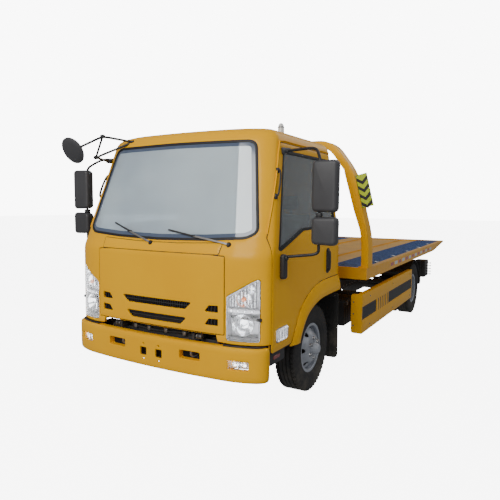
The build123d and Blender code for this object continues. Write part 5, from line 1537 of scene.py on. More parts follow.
class TOW_OT_glazing(bpy.types.Operator):
    """Windscreen with a painted sky reflection, rear window, their rubber seals and the border printed round the
    windscreen, its blue-grey partly a painted sky reflection
    """

    bl_idname = "tow.glazing"
    bl_label = "Glazing"

    def execute(self, context):
        seal = settings().seal_width
        border = drawn_in(WINDOW_FRONT, 0.045)
        glass_line = drawn_in(WINDOW_FRONT, 0.004)
        glass = cab_sheet(front_outline(glass_line), -0.004, 0.04, wall=0.006)
        frit = cab_sheet(
            front_outline(drawn_in(WINDOW_FRONT, 0.006)), -0.0025, holes=[front_outline(border)], wall=0.0012
        )
        rubber = cab_sheet(
            front_outline(drawn_in(WINDOW_FRONT, -0.004)), 0.003, 0.012,
            holes=[front_outline(drawn_in(WINDOW_FRONT, seal))], wall=0.010, bevel=0.0025,
        )
        # Border printed round the windscreen: dark print, its blue-grey partly a painted sky reflection
        border_print_and_sky = finish_of(
            "Screen border and painted sky", (0.085, 0.115, 0.185), other=(0.11, 0.14, 0.21), rough=0.12, spread=0.03, coat=1.0,
            grain=300.0, depth=0.0001,
        )
        build_piece("windscreen_glass", "cab", [(glass, sky_painted_screen_glass())], ("windscreen",))
        build_piece("windscreen_seal", "cab", [(rubber, seal_rubber()), (frit, border_print_and_sky)])
        pane_shape = prism(drawn_in(BACK_WINDOW, 0.012), along(CAB_BACK) + 0.001, along(CAB_BACK) + 0.006, "Y", 0.0015)
        path = [(x, along(CAB_BACK) - 0.002, z) for x, z in resampled(drawn_in(BACK_WINDOW, 0.0), 0.05)]
        gasket = swept(path, ring_section(0.013, 8), up=(0, 1, 0), closed=True)
        build_piece(
            "rear_window_glass", "cab", [(pane_shape, side_glass()), (gasket, seal_rubber())], ("rear_window",)
        )
        return {"FINISHED"}


def slot_loop(top_half, bottom_half, top, bottom, corner=0.010):
    """Closed outline of a slot in the front panel, even about the middle."""
    return rounded([(-top_half, top), (-bottom_half, bottom), (bottom_half, bottom), (top_half, top)], corner, 3)


VENT_LOOPS = [
    rounded(
        [
            (side * 0.480, bottom), (side * 0.602, bottom), (side * 0.602, bottom + 0.054),
            (side * 0.520, bottom + 0.050),
        ],
        0.008, 3,
    )
    for side in (-1, 1) for bottom in (0.870, 0.768)
]


class TOW_OT_front_panel(bpy.types.Operator):
    """Front panel with its slots and the dark grille behind them"""

    bl_idname = "tow.front_panel"
    bl_label = "Front panel"

    def execute(self, context):
        outline = drawn_in(LID_OUTLINE, 0.003)
        upper = slot_loop(0.365, 0.300, 0.927, 0.868)
        lower = slot_loop(0.317, 0.258, 0.803, 0.745)
        holes = [front_outline(loop, 0.012) for loop in (upper, lower, *VENT_LOOPS)]
        panel = cab_sheet(front_outline(outline), 0.001, 0.024, holes=holes, wall=0.016, bevel=0.003)
        build_piece("front_panel", "front_lid", [(panel, body_paint())], ("front_lid",))
        dark = finish_of("Grille black", (0.016, 0.016, 0.018), rough=0.45, spread=0.1, grain=700.0, depth=0.0002)
        parts = []
        for loop in (upper, lower, *VENT_LOOPS):
            parts.append((cab_sheet(front_outline(drawn_in(loop, -0.006), 0.012), -0.022, wall=0.003), dark))
        # upright bars in the upper slot, one long bar across it, and slats in the rest
        bars = []
        for index in range(-15, 16):
            x = index * 0.0225
            low = 0.870 + max(0.0, abs(x) - 0.300) * 0.9
            y = cab_point(walk_of_x(x, 0.9), 0.9).y
            bars.append(block((x - 0.0035, y + 0.004, low), (x + 0.0035, y + 0.022, 0.925), 0.0015))
        for height, reach in ((0.897, 0.338), (0.775, 0.292)):
            path = [cab_point(walk_of_x(reach * share / 12, height), height, -0.010) for share in range(-12, 13)]
            bars.append(swept(path, box_section(0.012, 0.008, 0.003), up=(0, 0, 1)))
        for loop in VENT_LOOPS:
            xs = [point[0] for point in loop]
            zs = [point[1] for point in loop]
            for share in (0.25, 0.5, 0.75):
                x = min(xs) + (max(xs) - min(xs)) * share
                y = cab_point(walk_of_x(x, zs[0]), zs[0]).y
                bars.append(
                    block((x - 0.003, y + 0.005, min(zs) + 0.004), (x + 0.003, y + 0.020, max(zs) - 0.004), 0.001)
                )
        parts.append((joined(*bars), black_plastic()))
        build_piece("front_grille", "front_lid", parts, ("grille",))
        return {"FINISHED"}


class TOW_OT_headlamps(bpy.types.Operator):
    """Headlamps: housing, upper chamber with the turn lamp, ribbed band, round reflector and clear lens"""

    bl_idname = "tow.headlamps"
    bl_label = "Headlamps"

    def execute(self, context):
        housing_line = drawn_in(LAMP_OUTLINE, 0.004)
        made = []
        made.append((cab_sheet(front_outline(housing_line, 0.015), -0.075, wall=0.003), lamp_housing()))
        # wall round the housing
        loop = front_outline(housing_line, 0.015)
        rows = [[cab_point(walk, height, out) for walk, height in loop] for out in (-0.004, -0.030, -0.076)]
        made.append((worked(sleeve(rows), wall=0.003, outward=0.0), lamp_housing()))
        aim = Vector((0.30, -1.0, 0)).normalized()

        def bowl(x, height, radius, depth):
            """Round reflector facing forward at the lamp's face."""
            spot = cab_point(walk_of_x(x, height), height, -0.016)
            section = [
                (0.0, radius), (-0.006, radius * 1.04), (-depth, radius * 0.45), (-depth * 1.05, 0.004),
                (-depth * 0.98, 0.0035), (-depth * 0.94, radius * 0.40), (-0.006, radius * 0.96),
            ]
            shape = lathe(section, (0, 0, 0), 40, "Y")
            turn = Matrix.Rotation(atan2(aim.x, -aim.y), 4, "Z")
            return [
                spot + turn @ Vector((vert[0], -vert[1], vert[2])) for vert in shape[0]
            ], [tuple(reversed(face)) for face in shape[1]], spot

        verts, faces, spot = bowl(0.800, 0.792, 0.082, 0.052)
        made.append((merged((verts, faces)), reflector()))
        made.append((moved(dome((0, 0, 0), (0.017, 0.024, 0.017), 2.2, 16), spot - aim * 0.020), clear_lens()))
        verts, faces, spot = bowl(0.806, 0.985, 0.060, 0.048)
        made.append((merged((verts, faces)), reflector()))
        amber = colour_lens("Amber lens", (0.95, 0.24, 0.02))
        made.append((moved(dome((0, 0, 0), (0.018, 0.026, 0.018), 2.2, 16), spot - aim * 0.012), amber))
        verts, faces, spot = bowl(0.862, 1.060, 0.030, 0.030)
        made.append((merged((verts, faces)), reflector()))
        # band with four ribs between the chambers
        band_line = oblong((0.678, 0.883), (0.919, 0.912), 0.004, 2)
        made.append((cab_sheet(front_outline(band_line, 0.015), -0.014, wall=0.02, bevel=0.002), lamp_housing()))
        for x in (0.712, 0.765, 0.818, 0.871):
            rib_spot = cab_point(walk_of_x(x, 0.9), 0.9, -0.012)
            made.append((
                block(rib_spot - Vector((0.004, 0.006, 0.009)), rib_spot + Vector((0.004, 0.006, 0.009)), 0.002),
                reflector(),
            ))
        fins = []
        for index in range(9):
            x = 0.690 + index * 0.0255
            low, high = 0.925, min(1.0 + (x - 0.672) * 0.593, 1.14) - 0.02
            first = cab_point(walk_of_x(x, low), low, -0.045)
            last = cab_point(walk_of_x(x, high), high, -0.045)
            fins.append(swept([first, last], box_section(0.004, 0.03, 0.001, 2), up=(0, 1, 0)))
        made.append((joined(*fins), reflector()))
        foot_line = oblong((0.680, 0.676), (0.917, 0.700), 0.004, 2)
        made.append((cab_sheet(front_outline(foot_line, 0.015), -0.012, wall=0.02, bevel=0.002), black_plastic()))
        lens = cab_sheet(front_outline(drawn_in(LAMP_OUTLINE, 0.003), 0.015), 0.0025, 0.022, wall=0.003, bevel=0.001)
        build_piece("headlamp_insides", "cab", paired(made), ("headlamps",))
        build_piece("headlamp_lenses", "cab", paired([(lens, clear_lens())]), ("headlamps",))
        return {"FINISHED"}


class TOW_OT_doors(bpy.types.Operator):
    """Doors with their windows, seals, inner trim, side lamps and upright handles"""

    bl_idname = "tow.doors"
    bl_label = "Doors"

    def execute(self, context):
        step = settings().mesh_step
        outline = side_outline(door_line(0.006))
        window = side_outline(DOOR_WINDOW, 0.015)
        skin = cab_sheet(outline, 0.0005, step, holes=[window], wall=0.030, bevel=0.003, limit=60)
        trim_window = side_outline(drawn_in(DOOR_WINDOW, -0.020), 0.02)
        trim = cab_sheet(side_outline(door_line(0.030)), -0.034, 0.05, holes=[trim_window], wall=0.006)
        pane = cab_sheet(side_outline(drawn_in(DOOR_WINDOW, 0.001), 0.015), -0.010, 0.05, wall=0.005)
        seal_in = side_outline(drawn_in(DOOR_WINDOW, 0.016), 0.015)
        seal = cab_sheet(
            side_outline(drawn_in(DOOR_WINDOW, -0.006), 0.015), 0.0028, 0.012, holes=[seal_in], wall=0.014, bevel=0.002
        )
        # upright handle in its black recess
        recess_line = oblong((0.182, 1.055), (0.262, 1.289), 0.030, 5)
        recess = cab_sheet(side_outline(recess_line, 0.01), 0.0025, 0.01, wall=0.004, bevel=0.0012)
        grip_line = [
            cab_point(walk_of_reach(0.214, height), height, out)
            for height,
            out in (
                (1.075, 0.004), (1.085, 0.018), (1.105, 0.024), (1.170, 0.026), (1.240, 0.024), (1.260, 0.018),
                (1.270, 0.004),
            )
        ]
        grip = swept(smooth_line(grip_line, 24), box_section(0.016, 0.026, 0.007), up=(0, 1, 0))
        lock = lathe(
            [(0, 0.0), (0, 0.011), (0.004, 0.011), (0.006, 0.008), (0.006, 0.0)],
            cab_point(walk_of_reach(0.245, 1.095), 1.095, 0.002), 20,
        )
        # ribbed side lamp
        lamp_line = rounded([(-0.812, 0.640), (-0.632, 0.640), (-0.618, 0.742), (-0.812, 0.742)], 0.022, 5)
        rim = cab_sheet(side_outline(drawn_in(lamp_line, -0.004), 0.01), 0.0025, 0.012, wall=0.003, bevel=0.001)
        lens = cab_sheet(side_outline(drawn_in(lamp_line, 0.003), 0.01), 0.012, 0.010, wall=0.009, bevel=0.003)
        ribs = []
        for index in range(4):
            reach = -0.785 + index * 0.048
            low = cab_point(walk_of_reach(reach, 0.655), 0.655, 0.012)
            high = cab_point(walk_of_reach(reach, 0.728), 0.728, 0.012)
            ribs.append(swept([low, high], box_section(0.006, 0.012, 0.002), up=(0, 1, 0)))
        # inner handle and armrest
        rest = worked(block((0.895, along(-0.42), 1.175), (0.948, along(0.18), 1.235)), bevel=0.022, segments=4)
        inner_pull = tube(
            [
                (0.940, along(-0.05), 1.26), (0.905, along(-0.05), 1.27), (0.905, along(0.10), 1.30),
                (0.940, along(0.10), 1.31),
            ],
            0.009, 0.02,
        )
        outside = [(skin, body_paint()), (recess, black_plastic()), (grip, black_plastic()), (lock, bright_metal())]
        lining = [(trim, trim_grey()), (rest, black_plastic()), (inner_pull, black_plastic())]
        lamp = [(rim, lamp_housing()), (lens, clear_lens()), (joined(*ribs), reflector())]
        for name, side in SIDES:
            for piece, parts, slot, stands_for in (
                ("door_skin", outside, "yellow_paint", (f"door_{name}",)), ("door_trim", lining, "dark_plastic", ()),
                ("door_pane", [(pane, side_glass())], "glass", (f"door_glass_{name}",)),
                ("door_seal", [(seal, seal_rubber())], "dark_plastic", ()), ("side_lamp", lamp, "lamp_clear", ()),
            ):
                build_piece(f"{piece}_{name}", f"door_{name}", sided(parts, side), stands_for)
        return {"FINISHED"}


class TOW_OT_door_mirrors(bpy.types.Operator):
    """Two-part mirrors on bent arms"""

    bl_idname = "tow.door_mirrors"
    bl_label = "Door mirrors"

    def execute(self, context):
        housings, faces, arms = [], [], []
        for low, high, width in ((1.632, 2.020, 0.204), (1.385, 1.600, 0.204)):
            # housing drawn from the front, narrower below, with a rounded back
            half, x = width / 2, 1.295
            outline = rounded(
                [(x - half, low + 0.006), (x + half * 0.96, low), (x + half, high), (x - half * 0.98, high - 0.004)],
                0.040, 6,
            )
            housings.append(prism(outline, along(-0.685), along(-0.600), "Y", 0.026, 5))
            glass = prism(drawn_in(outline, 0.016), along(-0.6005), along(-0.5965), "Y", 0.001, 1)
            rim = prism(drawn_in(outline, 0.010), along(-0.603), along(-0.5985), "Y", 0.0015, 1)
            faces.append((glass, mirror_face()))
            faces.append((rim, black_plastic()))
        stem_x = 1.244
        arms.append(
            tube(
                [
                    (0.862, along(-0.470), 2.120), (1.165, along(-0.520), 2.130), (1.240, along(-0.632), 2.040),
                    (stem_x, along(-0.640), 1.960),
                ],
                0.0115, 0.07, 12,
            )
        )
        arms.append(
            tube(
                [
                    (stem_x, along(-0.640), 2.015), (stem_x, along(-0.640), 1.330), (1.205, along(-0.650), 1.312),
                    (0.990, along(-0.738), 1.290),
                ],
                0.0115, 0.06, 12,
            )
        )
        clamps = [
            block(
                (stem_x - 0.022, along(-0.662), height - 0.018), (stem_x + 0.022, along(-0.618), height + 0.018), 0.006
            )
            for height in (1.612, 1.990, 1.420)
        ]
        # grey three-cornered bracket at the top of the door and black foot below
        bracket_line = [(-0.560, 2.085), (-0.560, 2.140), (-0.400, 2.150), (-0.395, 2.118)]
        bracket = cab_sheet(side_outline(rounded(bracket_line, 0.012, 3), 0.01), 0.014, wall=0.013, bevel=0.004)
        knuckle = lathe(
            [(0, 0.0), (0, 0.020), (0.030, 0.016), (0.036, 0.010), (0.036, 0.0)], (0.872, along(-0.472), 2.120), 20
        )
        foot_line = rounded(
            [
                (along(-0.775), 1.122), (along(-0.705), 1.122), (along(-0.705), 1.285), (along(-0.730), 1.312),
                (along(-0.775), 1.312),
            ],
            0.024, 5,
        )
        foot = prism(foot_line, 0.986, 1.022, "X", 0.010, 4)
        socket = lathe([(0, 0.0), (0, 0.022), (0.022, 0.018), (0.022, 0.0)], (1.012, along(-0.735), 1.285), 20)
        parts = [(shape, grey_plastic()) for shape in housings] + faces
        parts += [(bracket, grey_plastic()), (knuckle, grey_plastic()), (joined(*arms), black_paint())]
        parts += [(joined(*clamps), black_plastic()), (foot, black_plastic()), (socket, black_plastic())]
        for name, side in SIDES:
            build_piece(f"door_mirror_{name}", f"door_{name}", sided(parts, side), (f"mirrors_{name}",))
        return {"FINISHED"}


class TOW_OT_near_mirror(bpy.types.Operator):
    """Round near-view mirror on its tube truss"""

    bl_idname = "tow.near_mirror"
    bl_label = "Near-view mirror"

    def execute(self, context):
        def spot(x, reach, z):
            return Vector((x, along(reach), z))

        roof_foot, peak = spot(-0.560, -0.700, 2.248), spot(-0.735, -0.900, 2.285)
        low_bend, pillar_foot = spot(-0.845, -0.880, 2.105), spot(-0.858, -0.700, 2.080)
        middle_point = spot(-0.905, -1.085, 2.150)
        tubes = [
            tube([roof_foot, peak, middle_point.lerp(peak, 0.12)], 0.0105, 0.05, 12),
            tube([roof_foot, low_bend, pillar_foot], 0.0105, 0.05, 12), tube([peak, low_bend], 0.0095, 0.02, 12),
        ]
        clamps = [
            moved(dome((0, 0, 0), (0.020, 0.020, 0.017), 3.0, 16), place) for place in (peak, low_bend)
        ] + [moved(dome((0, 0, 0), (0.032, 0.032, 0.014), 3.0, 16), place) for place in (roof_foot, pillar_foot)]
        # dished housing with the mirror on the side that faces the driver
        section = [
            (-0.014, 0.0), (-0.014, 0.113), (-0.004, 0.121), (0.004, 0.121), (0.014, 0.108), (0.019, 0.070),
            (0.020, 0.0),
        ]
        housing = lathe(section, (0, 0, 0), 56, "Y")
        face = lathe([(-0.0165, 0.0), (-0.0150, 0.109), (-0.0135, 0.109), (-0.0135, 0.0)], (0, 0, 0), 56, "Y")
        turn = Matrix.Rotation(radians(28), 4, "X")
        flip = Matrix.Rotation(pi, 4, "Z")
        parts = []
        for shape, material in ((housing, grey_plastic()), (face, mirror_face())):
            placed_verts = [middle_point + turn @ flip @ Vector(vert) for vert in shape[0]]
            parts.append(((placed_verts, shape[1]), material))
        parts += [(joined(*tubes), black_paint()), (joined(*clamps), black_plastic())]
        build_piece("near_view_mirror", "cab", parts, ("near_mirror",))
        return {"FINISHED"}


class TOW_OT_wipers(bpy.types.Operator):
    """Wiper arms and blades"""

    bl_idname = "tow.wipers"
    bl_label = "Wipers"

    def execute(self, context):
        parts = []
        # columns: pivot x and height, tip x and height
        for pivot_x, pivot_z, tip_x, tip_z in ((-0.070, 1.372, -0.524, 1.520), (0.669, 1.385, 0.093, 1.478)):
            def spot(share, out, pivot=(pivot_x, pivot_z), tip=(tip_x, tip_z)):
                x = pivot[0] + (tip[0] - pivot[0]) * share
                z = pivot[1] + (tip[1] - pivot[1]) * share
                return cab_point(walk_of_x(x, z), z, out)

            base = lathe([(0, 0.0), (0, 0.021), (0.012, 0.019), (0.020, 0.012), (0.020, 0.0)], (0, 0, 0), 24, "Z")
            foot = spot(0, -0.004)
            lean = (spot(0, 0.02) - foot).to_track_quat("Z", "Y")
            parts.append((([foot + lean @ Vector(vert) for vert in base[0]], base[1]), black_plastic()))
            arm = smooth_line(
                [spot(0.0, 0.011), spot(0.10, 0.016), spot(0.30, 0.018), spot(0.48, 0.017), spot(0.56, 0.013)], 20
            )
            parts.append((swept(arm, box_section(0.015, 0.006, 0.002), up=(0, -1, 0.4)), dull_metal()))
            blade = smooth_line([spot(0.16 + 0.84 * share / 8, 0.0075) for share in range(9)], 28)
            parts.append((swept(blade, box_section(0.014, 0.011, 0.003), up=(0, -1, 0.4)), black_plastic()))
            rubber = smooth_line([spot(0.16 + 0.84 * share / 8, 0.0015) for share in range(9)], 28)
            parts.append((swept(rubber, box_section(0.003, 0.010, 0.001, 1), up=(0, -1, 0.4)), seal_rubber()))
            clip = spot(0.56, 0.011)
            parts.append((
                block(clip - Vector((0.022, 0.007, 0.008)), clip + Vector((0.022, 0.005, 0.008)), 0.004),
                black_plastic(),
            ))
        build_piece("wiper_pair", "cab", parts, ("wipers",))
        return {"FINISHED"}


class TOW_OT_roof_details(bpy.types.Operator):
    """Marker lamp on the roof, grab handles by the doors and drip rails"""

    bl_idname = "tow.roof_details"
    bl_label = "Roof details"

    def execute(self, context):
        foot = Vector((0.745, along(-0.300), 0.0))
        parts = [
            (
                lathe(
                    [(2.235, 0.0), (2.235, 0.034), (2.262, 0.034), (2.270, 0.030), (2.290, 0.030), (2.290, 0.0)], foot,
                    32, "Z",
                ),
                black_plastic(),
            ),
            (
                lathe(
                    [(2.290, 0.0), (2.290, 0.027), (2.345, 0.026), (2.365, 0.021), (2.376, 0.012), (2.380, 0.0)], foot,
                    32, "Z",
                ),
                pale_lens(),
            ),
            (lathe([(2.340, 0.0), (2.340, 0.0285), (2.346, 0.0285), (2.346, 0.0)], foot, 32, "Z"), black_plastic()),
        ]
        build_piece("roof_marker", "cab", parts, ("roof_lamp",))
        shapes = []
        for _, side in SIDES:
            line = [
                cab_point(STOPS[2] - 0.02 + (1.95 - height) * -0.10, height, out)
                for height,
                out in (
                    (1.745, 0.002), (1.752, 0.022), (1.780, 0.034), (1.850, 0.038), (1.920, 0.034), (1.948, 0.022),
                    (1.955, 0.002),
                )
            ]
            shapes.append(on_side(swept(smooth_line(line, 30), box_section(0.020, 0.014, 0.006), up=(1, 0, 0)), side))
            for height in (1.748, 1.952):
                pad = cab_point(STOPS[2] - 0.02 + (1.95 - height) * -0.10, height, 0.004)
                shapes.append(on_side(moved(dome((0, 0, 0), (0.013, 0.016, 0.022), 3.0, 16), pad), side))
        build_piece("grab_handles", "cab", [(joined(*shapes), black_plastic())])
        rails = []
        for _, side in SIDES:
            line = [
                cab_point(walk_of_reach(reach, height), height, 0.004)
                for reach,
                height in (
                    (-0.875, 1.470), (-0.720, 1.835), (-0.590, 2.150), (-0.540, 2.196), (-0.300, 2.199), (0.100, 2.199),
                    (0.500, 2.198),
                )
            ]
            rails.append(on_side(swept(smooth_line(line, 60), box_section(0.007, 0.010, 0.002), up=(1, 0, 0)), side))
        build_piece("drip_rails", "cab", [(joined(*rails), body_paint())])
        return {"FINISHED"}


class TOW_OT_cab_steps(bpy.types.Operator):
    """Black steps below the doors with ribbed treads and a red reflector"""

    bl_idname = "tow.cab_steps"
    bl_label = "Cab steps"

    def execute(self, context):
        outer = oblong((along(-0.855), 0.462), (along(-0.605), 0.560), 0.018, 4)
        plate = prism(outer, 0.935, 0.953, "X", 0.006, 3)
        tray = block((0.705, along(-0.850), 0.464), (0.945, along(-0.610), 0.480), 0.005)
        back = block((0.702, along(-0.850), 0.464), (0.714, along(-0.610), 0.556), 0.004)
        top = block((0.705, along(-0.845), 0.546), (0.945, along(-0.615), 0.557), 0.004)
        ribs = [
            block((0.725 + index * 0.034, along(-0.840), 0.480), (0.737 + index * 0.034, along(-0.620), 0.486), 0.002)
            for index in range(6)
        ]
        patch = prism(oblong((along(-0.800), 0.500), (along(-0.690), 0.528), 0.006, 3), 0.952, 0.9555, "X", 0.001, 1)
        parts = [(shape, black_plastic()) for shape in (plate, tray, back, top, joined(*ribs))]
        parts = paired([*parts, (patch, colour_lens("Red lens", (0.42, 0.025, 0.02)))])
        build_piece("cab_step_pair", "cab", parts, ("cab_steps",))
        return {"FINISHED"}


# Form of the bumper: plan line walked from the middle, and a section whose height runs on over the rolled edges


def bumper_half_plan():
    """Points of the bumper's left half, from the middle to its end."""
    half, shoulder, depth, bow = 0.983, 0.683, 0.150, 0.034
    points = [(shoulder * share / 12, -1.112 + bow * (share / 12) ** 2) for share in range(12)]
    for step in range(17):
        turn = pi / 2 * step / 16
        slope = 2 * bow / shoulder
        x = shoulder + (half - shoulder) * sin(turn)
        points.append((
            x, -1.112 + bow + depth * (1 - cos(turn)) + slope * (half - shoulder) * sin(turn) * cos(turn) ** 2
        ))
    points.append((half, -0.916))
    return np.array(points)


BUMPER_PLAN = bumper_half_plan()
BUMPER_WALK = np.concatenate([[0], np.cumsum(np.hypot(*np.diff(BUMPER_PLAN, axis=0).T))])
# columns: coordinate up the section, height, depth behind the face
BUMPER_SECTION = np.array((
    (0.330, 0.372, 0.040), (0.362, 0.3655, 0.016), (0.378, 0.373, 0.005), (0.398, 0.392, 0.0012), (0.430, 0.430, 0.0),
    (0.600, 0.600, 0.0), (0.618, 0.617, 0.003), (0.632, 0.6265, 0.012), (0.690, 0.6275, 0.068),
))


def bumper_point(walk, level, out=0.0):
    """Point on the bumper at a walk from its middle and a level up its section."""
    side = -1 if walk < 0 else 1
    walk = min(abs(walk), BUMPER_WALK[-1])
    height = np.interp(level, BUMPER_SECTION[:, 0], BUMPER_SECTION[:, 1])
    depth = np.interp(level, BUMPER_SECTION[:, 0], BUMPER_SECTION[:, 2]) - out
    x, y = (np.interp(walk, BUMPER_WALK, BUMPER_PLAN[:, column]) for column in (0, 1))
    ahead, behind = min(walk + 0.004, BUMPER_WALK[-1]), max(walk - 0.004, 0.0)
    run_x, run_y = (
        np.interp(ahead, BUMPER_WALK, BUMPER_PLAN[:, column]) - np.interp(behind, BUMPER_WALK, BUMPER_PLAN[:, column])
        for column in (0, 1)
    )
    length = sqrt(run_x * run_x + run_y * run_y)
    if walk < 0.004:
        run_x, run_y, length = 1.0, 0.0, 1.0
    return Vector((side * (x - run_y / length * depth), along(y + run_x / length * depth), height))


def bumper_surface(out=0.0):
    """Surface of the bumper at a distance outside it."""
    return lambda walk, level: bumper_point(walk, level, out)


def bumper_walk(x):
    """Walk along the bumper that reaches a place across."""
    side = -1 if x < 0 else 1
    return side * float(np.interp(abs(x), BUMPER_PLAN[:, 0], BUMPER_WALK))


def on_bumper(points, step=0.015):
    """Closed outline from the front, laid out along the bumper."""
    return [(bumper_walk(x), height) for x, height in resampled(points, step)]


def window_loop(x, z, width, height, radius):
    """Closed outline of an opening about its middle."""
    return oblong((x - width / 2, z - height / 2), (x + width / 2, z + height / 2), radius, 4)


class TOW_OT_bumper(bpy.types.Operator):
    """Rolled yellow bumper with tow-hook slots, square holes and lamp openings"""

    bl_idname = "tow.bumper"
    bl_label = "Bumper"

    def execute(self, context):
        end = BUMPER_WALK[-1]
        outline = resampled([(-end, 0.330), (end, 0.330), (end, 0.690), (-end, 0.690)], 0.02)
        hooks = [window_loop(side * 0.380, 0.525, 0.190, 0.070, 0.014) for side in (-1, 1)]
        squares = [window_loop(side * 0.080, 0.493, 0.066, 0.066, 0.006) for side in (-1, 1)]
        slots = [
            window_loop(side * 0.080, 0.493 + rise, 0.022, 0.010, 0.003) for side in (-1, 1) for rise in (-0.062, 0.062)
        ]
        fogs = [window_loop(side * 0.790, 0.500, 0.165, 0.074, 0.012) for side in (-1, 1)]
        holes = [on_bumper(loop, 0.012) for loop in (*hooks, *squares, *slots, *fogs)]
        plate = turned_out(placed(flat_panel(outline, holes, 0.018), bumper_surface()), (0, along(-0.7), 0.5))
        plate = worked(plate, wall=0.014, bevel=0.0025, limit=60)
        parts = [(plate, body_paint())]
        # folded returns round the tow-hook slots and the lamp openings
        for loop in (*hooks, *fogs):
            rows = [
                [bumper_point(bumper_walk(x), height, out) for x, height in resampled(loop, 0.012)]
                for out in (-0.002, -0.022, -0.050)
            ]
            parts.append((worked(sleeve(rows), wall=0.003, outward=0.0), body_paint()))
        build_piece("bumper_skin", "chassis", parts, ("bumper",))
        # black plates behind the openings, painted shade for the dark inside the bumper, tow hooks, and a hose with its
        # clips
        shade_plates_and_fittings = []
        for side in (-1, 1):
            shade_plates_and_fittings.append((
                block((side * 0.270, along(-0.960), 0.470), (side * 0.490, along(-0.945), 0.580), 0.006), black_paint()
            ))
            hook = tube(
                [
                    (side * 0.360, along(-0.95), 0.552), (side * 0.360, along(-1.035), 0.552),
                    (side * 0.360, along(-1.055), 0.525), (side * 0.360, along(-1.035), 0.500),
                    (side * 0.360, along(-0.95), 0.500),
                ],
                0.011, 0.035, 12,
            )
            shade_plates_and_fittings.append((hook, dull_metal()))
            shade_plates_and_fittings.append((
                block((side * 0.337, along(-1.062), 0.568), (side * 0.398, along(-0.93), 0.618), 0.005), black_paint()
            ))
        shade_plates_and_fittings.append((block((-0.160, along(-1.045), 0.440), (0.160, along(-1.035), 0.550), 0.004), black_paint()))
        shade_plates_and_fittings.append((block((-0.560, along(-0.972), 0.555), (0.560, along(-0.960), 0.634), 0.004), black_plastic()))
        shade_plates_and_fittings.append((block((-0.330, along(-0.972), 0.630), (0.330, along(-0.960), 0.690), 0.004), black_plastic()))
        shade_plates_and_fittings.append((
            tube(
                [
                    (-0.30, along(-0.985), 0.655), (-0.05, along(-0.985), 0.640), (0.20, along(-0.985), 0.655),
                    (0.30, along(-0.985), 0.668),
                ],
                0.010, 0.08,
            ),
            black_plastic(),
        ))
        shade_plates_and_fittings += [
            (block((x - 0.016, along(-1.000), 0.636), (x + 0.016, along(-0.972), 0.672), 0.005), dull_metal())
            for x in (-0.270, -0.120, 0.06, 0.250)
        ]
        for side in (-1, 1):
            # dark filler between the bumper and the lamp
            path = [
                bumper_point(side * walk, 0.632, -0.045) + Vector((0, 0, 0.006)) for walk in np.linspace(0.66, 1.10, 14)
            ]
            shade_plates_and_fittings.append((swept(path, box_section(0.060, 0.010, 0.003), up=(0, 0, 1)), black_plastic()))
        build_piece("bumper_back", "chassis", shade_plates_and_fittings)
        return {"FINISHED"}


class TOW_OT_fog_lamps(bpy.types.Operator):
    """Fog lamps in the bumper"""

    bl_idname = "tow.fog_lamps"
    bl_label = "Fog lamps"

    def execute(self, context):
        parts = []
        for side in (-1, 1):
            loop = on_bumper(window_loop(side * 0.790, 0.500, 0.158, 0.067, 0.010), 0.010)
            back = placed(flat_panel(loop, [], 0.012), bumper_surface(-0.050))
            parts.append((worked(turned_out(back, (0, along(-0.5), 0.5)), wall=0.004), lamp_housing()))
            lens = placed(flat_panel(loop, [], 0.012), bumper_surface(-0.014))
            parts.append((worked(turned_out(lens, (0, along(-0.5), 0.5)), wall=0.004, bevel=0.001), clear_lens()))
            for x in (0.752, 0.828):
                spot = bumper_point(side * bumper_walk(x), 0.500, -0.040)
                parts.append((moved(dome((0, 0, 0), (0.030, 0.014, 0.027), 2.2, 24), spot), reflector()))
                parts.append((
                    moved(dome((0, 0, 0), (0.009, 0.012, 0.009), 2.0, 14), spot - Vector((0, 0.012, 0))), pale_lens()
                ))
            divider = bumper_point(side * bumper_walk(0.790), 0.500, -0.030)
            parts.append((
                block(divider - Vector((0.004, 0.016, 0.032)), divider + Vector((0.004, 0.016, 0.032)), 0.002),
                reflector(),
            ))
        build_piece("fog_lamp_pair", "chassis", parts, ("fog_lamps",))
        return {"FINISHED"}


def turned(shape, centre, axis, angle):
    """Shape turned about an axis through a point."""
    turn = Matrix.Translation(Vector(centre)) @ Matrix.Rotation(angle, 4, axis) @ Matrix.Translation(-Vector(centre))
    return [turn @ Vector(vert) for vert in shape[0]], shape[1]


def bolt(place, axis, size=0.010, height=0.007):
    """Six-sided bolt head standing on a place."""
    ring = ring_section(size, 6)
    x, y, z = place
    if axis == "X":
        return prism([(y + a, z + b) for a, b in ring], x, x + height, "X", abs(height) * 0.2, 1)
    if axis == "Y":
        return prism([(x + a, z + b) for a, b in ring], y, y + height, "Y", abs(height) * 0.2, 1)
    return prism([(x + a, y + b) for a, b in ring], z, z + height, "Z", abs(height) * 0.2, 1)


# Wheels: half section of the tyre, half section of the rim and the line of its dished disc

TYRE_MEAN_RADIUS = 0.390
# distance from the middle plane, radius
TYRE_OUTER = (
    (0.080, 0.3830), (0.0870, 0.3800), (0.0920, 0.3710), (0.0980, 0.3450), (0.1015, 0.3200), (0.1022, 0.3160),
    (0.1020, 0.3020), (0.1012, 0.2850), (0.1020, 0.2810), (0.1016, 0.2750), (0.0995, 0.2710), (0.0955, 0.2520),
    (0.0960, 0.2480), (0.0945, 0.2440), (0.0885, 0.2330), (0.0826, 0.2245), (0.0736, 0.2243), (0.0730, 0.2070),
    (0.0580, 0.2070), (0.0860, 0.3000), (0.0680, 0.3730),
)
RIM_OUTER = (
    (0.0733, 0.2055), (0.0735, 0.2215), (0.0765, 0.2236), (0.0805, 0.2234), (0.0824, 0.2205), (0.0812, 0.2020),
    (0.0760, 0.1978),
)
# radius, distance from the middle plane
DISC_LINE = (
    (0.055, 0.1080), (0.100, 0.1080), (0.110, 0.1072), (0.120, 0.1030), (0.135, 0.0880), (0.150, 0.0700),
    (0.165, 0.0590), (0.182, 0.0500), (0.192, 0.0420), (0.2005, 0.0300),
)


